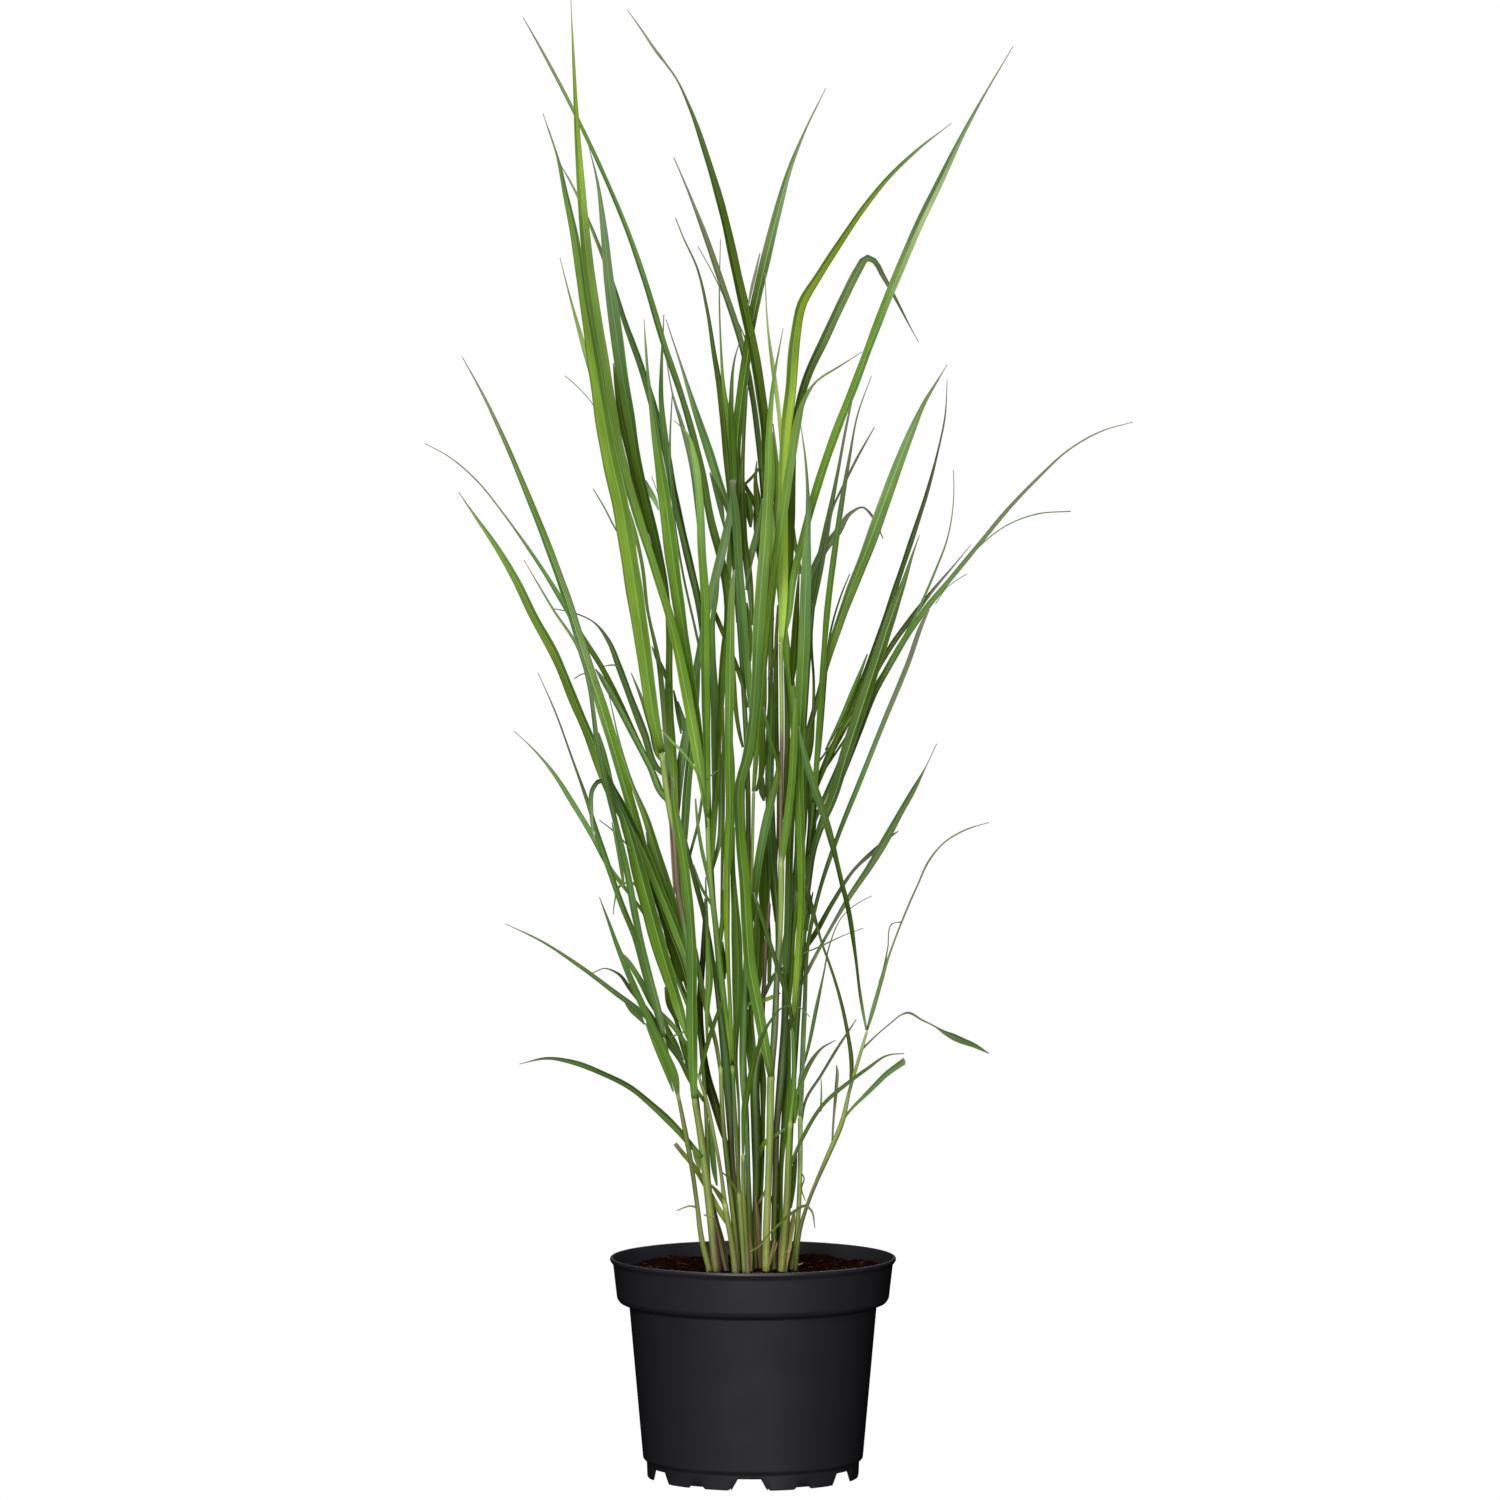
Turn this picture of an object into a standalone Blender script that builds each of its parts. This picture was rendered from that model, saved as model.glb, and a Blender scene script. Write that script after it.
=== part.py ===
"""Clump of miscanthus grass in a round plastic nursery pot.

The pot is turned, its foot ring is notched and its floor has drain holes. The soil fills it to a
little under the rim. Every culm is a bevelled curve and every blade a loft along a curve, whose
points (x, z) and seen width are stated in millimetres as the clump is looked at from the front, with
x from the pot's axis and z from the ground. Each blade finds its own depth, clear of its neighbours.
"""

import math

import bmesh
import bpy
import numpy as np

# Pot, in millimetres
RIM_R, RIM_Z, RIM_TOP_Z = 115.0, 174.7, 177.0
BEAD_R, BEAD_Z = 112.3, 171.0
BAND_R, BAND_Z = 109.2, 144.0
BODY_TOP_R, BODY_TOP_Z = 99.4, 138.2
BODY_LOW_R, BODY_LOW_Z = 88.4, 15.3
FOOT_R, FOOT_TOP_Z, FOOT_WALL = 85.4, 12.3, 2.2
WALL = 1.4
FLOOR_Z, FLOOR_THICKNESS = 9.5, 1.6
NOTCHES, NOTCH_TURN = 6, -92.0
NOTCH_TOP_ANGLE, NOTCH_FOOT_ANGLE = 12.4, 19.5
DRAIN_R, DRAIN_RING_R = 6.0, 72.0
POT_SIDES = 48

# Soil and planting, in millimetres
SOIL_Z, SOIL_LUMPS, CROWN_R = 166.0, 3.0, 50.0
GAP = 0.3
CENTRE_X = -16.6

# Viewpoint from which the blades' curves are stated, in millimetres
EYE = np.array([-2.4, -6000.0, 880.0])

# Blades
KEEL, LEAST_KEEL = 0.14, 0.7
FULLNESS, LEAST_FULL_WIDTH = 1.25, 5.5
MOST_TURN = math.radians(17.0)
SAMPLES = 72
CLEARANCE = 0.7
REACH = 172.0

# Culms: depth at the soil, lean in depth by the top, points (x, z, width) from the soil up
STEMS = {
    "stem_01": (-10, -14, [(-35, 166, 5), (-41, 190, 4.5), (-45, 220, 3.6), (-49.3, 250, 3.7),
                           (-53.5, 273, 4), (-58.7, 300, 2.9), (-63, 320, 2.2), (-71.3, 352, 2.4)]),
    "stem_02": (-4, -14, [(-29, 166, 8.7), (-33.3, 205, 7), (-38, 245, 6.5), (-43.5, 285, 5.5),
                          (-47, 304.5, 4.6), (-49, 345, 4.4), (-50, 400, 4.4), (-53, 430, 4.4),
                          (-60, 470, 4.8), (-64, 520, 5), (-69, 550, 5), (-72.5, 580, 5)]),
    "stem_03": (6, 6, [(-31, 166, 3.2), (-36, 250, 3.2), (-38, 300, 3.3), (-41, 340, 3),
                       (-49, 395, 3), (-54, 440, 3), (-58, 490, 3), (-61, 530, 3)]),
    "stem_04": (-24, -14, [(-14, 166, 6), (-16.5, 185, 5), (-22.5, 219, 4.2), (-25.5, 243, 3),
                           (-31, 273, 3), (-37.5, 303, 3), (-43.5, 322, 2.2)]),
    "stem_05": (-12, -8, [(-12, 166, 5), (-15.5, 205, 4), (-20, 245, 4), (-24, 285, 3.8),
                          (-26, 328.5, 3)]),
    "stem_06": (0, 0, [(-9, 166, 5), (-12, 205, 4), (-16, 245, 4.5), (-18.5, 285, 5.5),
                       (-21.5, 325, 6.5), (-25, 360, 5.5), (-28, 385, 4), (-30, 400, 3.5)]),
    "stem_07": (-17, -14, [(-6.5, 166, 4.5), (-8, 190, 4.5), (-11, 227, 3.6), (-12.8, 265, 3.8),
                           (-15.2, 305, 3.3), (-16.5, 329, 3.4), (-20.5, 362, 4), (-23.5, 385, 5.5),
                           (-29, 435, 5.3), (-34, 480, 5), (-36.6, 528, 4)]),
    "stem_08": (-25, -6, [(-4, 166, 4), (-5.5, 190, 4), (-7.5, 230, 3.5), (-8, 258, 3)]),
    "stem_09": (-8, -10, [(-1.5, 166, 4), (-2.5, 205, 4.5), (-4, 245, 4), (-5.5, 285, 3.4),
                          (-8, 320, 5), (-7.5, 365, 6), (-6, 400, 5), (-4, 440, 4), (-1.5, 480, 3),
                          (0.5, 549, 2.4)]),
    "stem_10": (6, 4, [(3, 166, 3.4), (1.8, 200, 4.5), (3, 240, 6.5), (2.5, 280, 8), (2, 320, 7),
                       (5.5, 345, 5), (8, 380, 4), (10, 420, 3.5), (13, 460, 3)]),
    "stem_11": (-14, -16, [(10.5, 166, 6.3), (11, 200, 6), (12.5, 240, 5.5), (13.7, 280, 5.8),
                           (14.5, 321.5, 5.5), (17.8, 360, 5), (19.3, 400, 4.5), (22, 445, 4.3),
                           (22.5, 494.5, 5), (22.3, 520, 3.6), (23, 600, 3.6), (22.3, 668.5, 3.6)]),
    "stem_12": (0, 4, [(17, 166, 5), (17, 200, 5), (18, 240, 5), (19, 280, 5), (23, 325, 7),
                       (25.5, 365, 6), (26, 405, 5)]),
    "stem_13": (-12, -8, [(23.5, 166, 6), (25.5, 190, 6), (28, 230, 6.2), (29, 265, 5),
                          (30, 284.5, 3.6), (32.8, 315, 4), (33, 330, 4), (31.8, 365, 3)]),
    "stem_14": (2, 0, [(31, 166, 4.5), (35.5, 200, 4), (37.3, 230, 3.8), (38, 270, 3.8),
                       (37.9, 288.4, 3.5)]),
    "stem_15": (-10, -20, [(34, 166, 4), (38, 200, 3.5), (43.8, 219, 3), (50, 235, 3), (60, 258, 4),
                           (72, 287, 4), (77, 309, 2.8), (86.3, 341, 2.6), (91, 357, 2)]),
    "stem_16": (14, 14, [(-29, 166, 4), (-33, 205, 4), (-38, 245, 4), (-43, 285, 4), (-48, 330, 4),
                         (-50, 400, 4), (-54, 450, 4), (-60, 520, 4), (-66, 560, 4), (-70, 600, 3.5)]),
    "stem_17": (20, 16, [(-12, 166, 4), (-15, 205, 4), (-17.5, 245, 4), (-18, 285, 4), (-20, 330, 4),
                         (-25, 385, 4), (-30, 440, 4), (-34, 500, 4), (-36, 560, 4), (-37, 640, 4),
                         (-41, 690, 3.5)]),
    "stem_18": (28, 10, [(-2, 166, 4), (-3, 205, 4), (-4, 245, 4), (-5, 285, 4), (-7, 330, 4),
                         (-7, 385, 4), (-5, 430, 4), (-4, 480, 4), (-4, 550, 4), (-8, 640, 4),
                         (-12, 700, 4), (-15, 760, 3.5)]),
    "stem_19": (22, 18, [(10, 166, 4), (11, 205, 4), (12.5, 245, 4), (13.7, 285, 4), (15, 330, 4),
                         (18, 385, 4), (20, 430, 4), (18, 480, 4), (15, 550, 4), (14, 620, 4),
                         (15, 700, 4), (16, 735, 3.5)]),
    "stem_20": (14, 18, [(17, 166, 4), (17.5, 205, 4), (18.5, 250, 4), (20, 300, 4), (25, 350, 4),
                         (27, 400, 4), (31, 450, 4), (35, 500, 4), (38, 560, 4), (42, 620, 4),
                         (46, 680, 4), (48, 700, 3.5)]),
    "stem_21": (10, 14, [(26, 166, 4), (27, 205, 4), (29, 245, 4), (31, 290, 4), (34, 340, 4),
                         (38, 400, 4), (42, 450, 4), (45, 500, 4), (49, 550, 4), (54, 600, 4),
                         (58, 650, 3.5)]),
}

# Long blades: culm, step in depth from it, depth sought at the tip, points (x, z, seen width)
LEAVES = {
    "leaf_01": ("stem_07", 0, -60, [(-36.6, 529.5, 3.6), (-39, 548, 5), (-45, 585, 9), (-53, 630, 8),
                                    (-63.5, 680, 6.5), (-77, 725, 6.5), (-93, 775, 7), (-106, 820, 8),
                                    (-119, 890, 10), (-130, 960, 9), (-139, 1060, 5.6),
                                    (-143.6, 1150, 1), (-145, 1182, 0.4)]),
    "leaf_02": ("stem_02", 0, -85, [(-72.8, 581.5, 5), (-78.5, 605, 8), (-88.5, 670, 12),
                                    (-97, 725, 13.5), (-106, 780, 13), (-115, 820, 13),
                                    (-126, 885, 10), (-135.5, 945, 6), (-142.5, 995, 6.5),
                                    (-150, 1030, 5), (-154.5, 1052, 1.6), (-167.5, 1092, 0.3)]),
    "leaf_03": ("stem_16", -4.6, 20, [(-66, 562, 4), (-69, 590, 5), (-72, 625, 4.5), (-75.5, 655, 3.2),
                                      (-84, 695, 2.4), (-89, 735, 3), (-94, 757, 3), (-103, 785, 3.5),
                                      (-112, 815, 4), (-122, 860, 4), (-135.5, 908, 4),
                                      (-145, 942, 1.8), (-154, 977, 0.3)]),
    "leaf_04": ("stem_03", 0, -10, [(-61.1, 531.5, 3.2), (-63, 560, 4.5), (-67, 620, 6),
                                    (-68.5, 700, 5), (-75.5, 740, 7), (-84, 775, 7.5),
                                    (-92.3, 810, 8.5), (-98, 845, 7), (-104, 880, 9.5),
                                    (-109.5, 920, 10), (-115, 960, 8), (-119, 1000, 5.5),
                                    (-124.5, 1040, 2), (-131, 1066, 0.3)]),
    "leaf_05": ("stem_17", -4.6, 40, [(-33.5, 488, 3.5), (-31, 530, 4.5), (-28, 590, 5.5),
                                      (-24, 650, 6), (-20, 705, 6), (-25, 735, 7), (-33, 765, 7),
                                      (-42, 812, 5), (-57, 867, 5), (-70, 905, 4.5), (-86, 958, 5),
                                      (-98, 993, 4), (-122, 1050, 2.3), (-144, 1096, 3),
                                      (-170, 1145, 1.8), (-183, 1168, 0.4)]),
    "leaf_06": ("stem_17", 4.6, 120, [(-37, 632, 4.5), (-38, 660, 6), (-42, 695, 6), (-49.5, 728, 5),
                                      (-56.5, 758, 7), (-63.5, 790, 5.8), (-70, 825, 6.5),
                                      (-79.5, 858, 6.5), (-90, 892, 5), (-102, 925, 4.5),
                                      (-115, 965, 3.5), (-131, 1006, 2), (-147, 1040, 1.6),
                                      (-154, 1052, 0.5)]),
    "leaf_07": ("stem_07", -3.8, -60, [(-36.6, 530.5, 3), (-36.5, 560, 4), (-37.5, 620, 7),
                                      (-38, 660, 7.5), (-38, 700, 7), (-41, 745, 6.3),
                                      (-43, 790, 5.8), (-46.8, 818, 4.5), (-52, 836, 1.8),
                                      (-62.8, 847.5, 0.4)]),
    "leaf_08": ("stem_07", 4.2, 20, [(-36.8, 531, 3), (-39.5, 565, 4.5), (-45, 610, 6), (-52, 650, 8),
                                     (-58, 690, 9), (-64.5, 735, 10.5), (-67.5, 760, 11.5),
                                     (-73, 800, 8.5), (-79.5, 845, 5), (-84, 885, 2),
                                     (-87, 928, 0.4)]),
    "leaf_09": ("stem_19", 0, 80, [(16.1, 736.5, 4.5), (15, 760, 5), (11, 800, 6), (9, 850, 7),
                                   (4, 885, 7.5), (-4, 925, 8.5), (-13, 965, 7.5), (-23, 1010, 6.5),
                                   (-36, 1055, 5), (-51, 1098, 2.5), (-62, 1121, 0.9),
                                   (-70, 1132, 0.9), (-77, 1141, 2), (-90, 1160, 1.3),
                                   (-100, 1174, 0.4)]),
    "leaf_10": ("stem_18", 5, 110, [(-11.5, 702, 4), (-12.5, 750, 5), (-13, 800, 6), (-13.5, 830, 8),
                                       (-10.5, 860, 9), (-6.5, 890, 6.5), (-0.5, 930, 7), (5, 955, 8.5),
                                       (11, 980, 8), (19, 1012, 7), (30, 1050, 4), (40, 1075, 1.3),
                                       (58, 1112, 0.4)]),
    "leaf_11": ("stem_11", -5, -120, [(14.5, 322, 5), (10, 345, 7.5), (3.5, 380, 8.5), (-2, 410, 9),
                                      (-4.5, 445, 10), (-6.5, 480, 8), (-10, 520, 7.8), (-9.5, 560, 10),
                                      (-5, 575, 9), (0, 605, 7), (3, 640, 8), (4.8, 680, 9),
                                      (7.5, 720, 10.5), (10.5, 760, 8), (12.3, 800, 6.5),
                                      (13.3, 845, 4.5), (15.5, 872, 3), (24, 921, 0.3)]),
    "leaf_12": ("stem_09", 0, -172, [(0.5, 550.5, 3), (2.2, 575, 3), (5, 610, 3.6), (8.8, 650, 4),
                                     (12.8, 690, 5.5), (17, 725, 7), (23.5, 770, 7), (30.5, 815, 6.5),
                                     (36.5, 850, 6), (40, 862, 3.5), (50, 878, 0.8), (68, 890, 1.1),
                                     (87, 902, 0.4)]),
    "leaf_13": ("stem_11", 0, -90, [(22.3, 670, 3.5), (24, 700, 6), (25, 740, 6), (24.5, 800, 7.5),
                                    (26.5, 840, 9.5), (30, 870, 8.5), (34, 915, 8.5), (39, 940, 8),
                                    (52, 962, 5.5), (70, 990, 5), (90, 1019, 4.3), (108, 1041, 3),
                                    (130, 1062, 2), (158, 1084, 0.3)]),
    "leaf_14": ("stem_11", 3.2, -20, [(22.5, 670, 3), (28, 690, 5), (32, 720, 4.5), (39, 750, 6),
                                      (52, 797, 6), (68, 843, 7), (80, 873, 6), (92, 905, 6),
                                      (107, 944, 6.5), (117, 968, 7), (132, 1003, 7), (150, 1040, 6),
                                      (165, 1071, 4), (180, 1099, 1.2), (207, 1145, 0.6)]),
    "leaf_15": ("stem_11", 6.4, 40, [(22.8, 670, 3), (27.5, 705, 4), (30.5, 760, 6), (31.5, 800, 5),
                                     (34.5, 850, 5), (44, 884, 6.5), (57, 912, 7), (72, 944, 7),
                                     (86, 971, 6.5), (90, 977, 6), (94.5, 976, 5), (104, 962, 4),
                                     (115, 942, 2), (127, 919, 0.8), (132, 910, 0.3)]),
    "leaf_16": ("stem_13", 0, -50, [(31.8, 366.5, 3), (34.5, 400, 3.5), (38, 450, 5.5), (38, 510, 7),
                                    (36, 560, 9), (38, 625, 8.5), (41, 680, 9), (43, 745, 7),
                                    (44, 780, 2.8), (42, 815, 1.1), (37.5, 848, 0.4)]),
    "leaf_17": ("stem_20", -4.6, -40, [(38.5, 556, 3.5), (43, 592, 4.5), (53, 630, 4), (62.5, 665, 5.5),
                                       (76, 705, 8), (91, 743, 9), (106, 785, 9.5), (117, 815, 8),
                                       (127, 840, 6), (137, 862, 3), (149, 882, 0.8), (155, 892, 0.3)]),
    "leaf_18": ("stem_21", -4.6, 10, [(48.5, 542, 4), (51.5, 580, 4.5), (54, 620, 4.5), (56.5, 660, 4),
                                      (59.8, 700, 5.3), (65.5, 745, 4.5), (72.5, 792, 4),
                                      (77, 818, 2.2), (83.5, 852, 0.8), (94.5, 883, 0.3)]),
    "leaf_19": ("stem_21", 4.6, 90, [(49.3, 552, 4), (61, 580, 5.5), (74, 605, 6), (88.5, 642, 4),
                                     (103.5, 683, 4.5), (117, 723, 4.2), (130, 762, 4), (139, 790, 3),
                                     (147, 820, 1.6), (153.5, 852, 0.9), (155, 880, 0.3)]),
    "leaf_20": ("stem_21", -4.6, -30, [(43, 464, 4), (47.5, 500, 4), (55, 525, 6), (65, 550, 8),
                                       (73, 577, 9), (82, 605, 10), (92, 635, 9.5), (102, 665, 8.5),
                                       (111, 692, 8), (120, 717, 4), (128, 742, 1.5), (133, 756, 0.6)]),
    "leaf_21": ("stem_21", 4.6, 60, [(46.5, 520, 3), (58, 548, 3.2), (72, 580, 3.4), (86, 615, 3.5),
                                     (98, 645, 3.5), (111, 668, 4), (127, 690, 4.5), (143, 711, 2.5),
                                     (160, 731, 1.3), (174, 748, 0.5)]),
    "leaf_22": ("stem_21", -4.6, -60, [(45, 500, 3.5), (58, 532, 4), (72, 566, 5), (85, 600, 5.5),
                                       (96, 628, 6), (108, 650, 4.5), (122, 674, 5), (138, 697, 5),
                                       (157, 720, 3.5), (180, 748, 3.3), (204, 777, 3), (228, 802, 2.2),
                                       (252, 824, 1.1), (281, 840, 0.6), (303, 846, 0.5)]),
    "leaf_23": ("stem_14", 0, -70, [(37.9, 290, 3.4), (39, 310, 3.8), (39.5, 330, 4.2), (41.5, 380, 3.2),
                                    (44, 428, 3), (53, 470, 3), (68, 515, 3.5), (86, 560, 4),
                                    (104, 605, 4), (124.5, 655, 4), (136, 687, 3), (141, 697, 1.2)]),
    "leaf_24": ("stem_15", 1.6, 0, [(91.4, 359, 1.6), (96, 375, 3), (102, 396, 3), (108, 416, 1.6),
                                    (119, 446, 1.4), (131, 474, 1.3), (142, 497, 1.5), (152, 509, 0.9),
                                    (170, 520, 1), (189, 526, 0.4)]),
    "leaf_25": ("stem_15", -1.6, -110, [(90.9, 359, 1.6), (86, 387, 1.8), (82, 420, 2.5), (76, 458, 4),
                                        (71, 478, 3.5), (64.5, 505, 4), (57.5, 530, 6),
                                        (48.5, 556, 6), (40.5, 583, 4), (36.5, 603, 0.6)]),
    "leaf_26": ("stem_02", -5.5, -66, [(-47.3, 304.5, 4.5), (-48.5, 340, 8), (-49.2, 370, 8.6),
                                     (-49.3, 430, 7.5), (-51, 455, 6.8), (-57, 505, 7), (-60, 522, 7),
                                     (-63, 540, 5), (-64.5, 562, 1.5)]),
    "leaf_27": ("stem_01", -1.2, -80, [(-71.5, 354, 3), (-75, 372, 5), (-84, 407, 3.5), (-93, 445, 6),
                                       (-101.5, 490, 5), (-108.5, 520, 4), (-117, 555, 4),
                                       (-124.5, 590, 4.5), (-131, 635, 2.5), (-139, 664, 2.6),
                                       (-160, 697, 1.6), (-183, 736, 0.4)]),
    "leaf_28": ("stem_02", -5, -120, [(-40.8, 257, 3), (-50, 267, 4.5), (-60, 278.5, 5.5), (-80, 298, 5),
                                      (-100, 314, 4), (-120, 324, 4), (-145, 333.5, 4),
                                      (-165, 336.5, 2), (-187, 332, 0.4)]),
    "leaf_29": ("stem_03", 3, 60, [(-39, 302, 3), (-50, 318, 3), (-58, 334.5, 4), (-71, 352, 4.5),
                                   (-85, 369.5, 4.2), (-110, 389, 4), (-140, 411.5, 3),
                                   (-170, 431, 1.6), (-198, 444.5, 0.3)]),
    "leaf_30": ("stem_01", 1.4, 0, [(-71.8, 354, 2.6), (-77, 372, 4), (-86, 402, 4), (-95, 435, 5),
                                    (-104, 457, 4), (-114, 485, 5), (-124, 515, 4), (-133, 544, 2.8),
                                    (-145, 578, 1.6), (-158, 614, 1), (-172, 646, 0.3)]),
    "leaf_31": ("stem_16", 4.6, 90, [(-49.5, 376, 3), (-56, 392, 2.6), (-66, 414, 2.4), (-78, 436, 2),
                                     (-88, 454, 2.6), (-100, 470, 2.6), (-117, 493, 3.8),
                                     (-129, 516, 4), (-144, 541, 4.3), (-160, 566, 3), (-176, 585, 1),
                                     (-191, 599, 0.3)]),
    "leaf_32": ("stem_02", 4.8, -50, [(-49.5, 392, 3), (-53, 415, 5), (-63, 442, 7), (-75.5, 472, 8),
                                      (-88.5, 503, 9.5), (-103, 532, 11), (-116, 556, 9),
                                      (-130, 592, 7.5), (-142, 620, 7), (-160, 663, 7),
                                      (-175, 690, 7), (-190, 721, 5.5), (-206, 748, 4.5),
                                      (-222, 771, 2), (-235, 790, 0.4)]),
    "leaf_33": ("stem_16", -4.6, 10, [(-50, 386, 4), (-58, 415, 6), (-71, 450, 7), (-82, 485, 7),
                                      (-95, 530, 7.5), (-106, 570, 9), (-122, 622, 9), (-134, 658, 8),
                                      (-149, 706, 7), (-166, 753, 5.5), (-180, 788, 5),
                                      (-199, 833, 3), (-215, 867, 2), (-232, 898, 0.4)]),
    "leaf_34": ("stem_02", -4, -120, [(-52, 352, 2.4), (-57, 368, 5), (-65.5, 395, 9), (-74, 422, 12),
                                        (-83, 455, 12), (-92, 488, 11), (-100, 518, 8), (-104, 530, 6),
                                        (-109, 541, 6), (-113.5, 551, 5), (-118, 558, 4),
                                        (-123, 559.3, 3.6), (-127, 555, 3.4), (-129.3, 532, 2.5),
                                        (-128.5, 520, 2), (-127, 509, 1.2)]),
    "leaf_35": ("stem_16", 4.6, 110, [(-62, 533, 3), (-70, 545, 3.5), (-79, 565, 3.5), (-91, 589, 3.5),
                                      (-106, 621, 4.5), (-122, 652, 4.5), (-138, 677, 4),
                                      (-152, 702, 4.5), (-166, 725, 3), (-182, 749, 2.2),
                                      (-200, 774, 1.2), (-220, 799, 0.8), (-245, 820, 0.5),
                                      (-262, 829, 0.4)]),
    "leaf_36": ("stem_07", -4.2, -70, [(-16.5, 331, 2.6), (-17.5, 355, 2.4), (-18.7, 385, 2.6),
                                       (-20.7, 430, 4), (-21.2, 460, 5.5), (-20.5, 505, 5),
                                       (-19, 535, 6), (-19.5, 580, 6), (-18.5, 640, 7.5),
                                       (-17.8, 685, 6), (-16.5, 715, 4), (-15, 728, 1.5)]),
}

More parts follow.
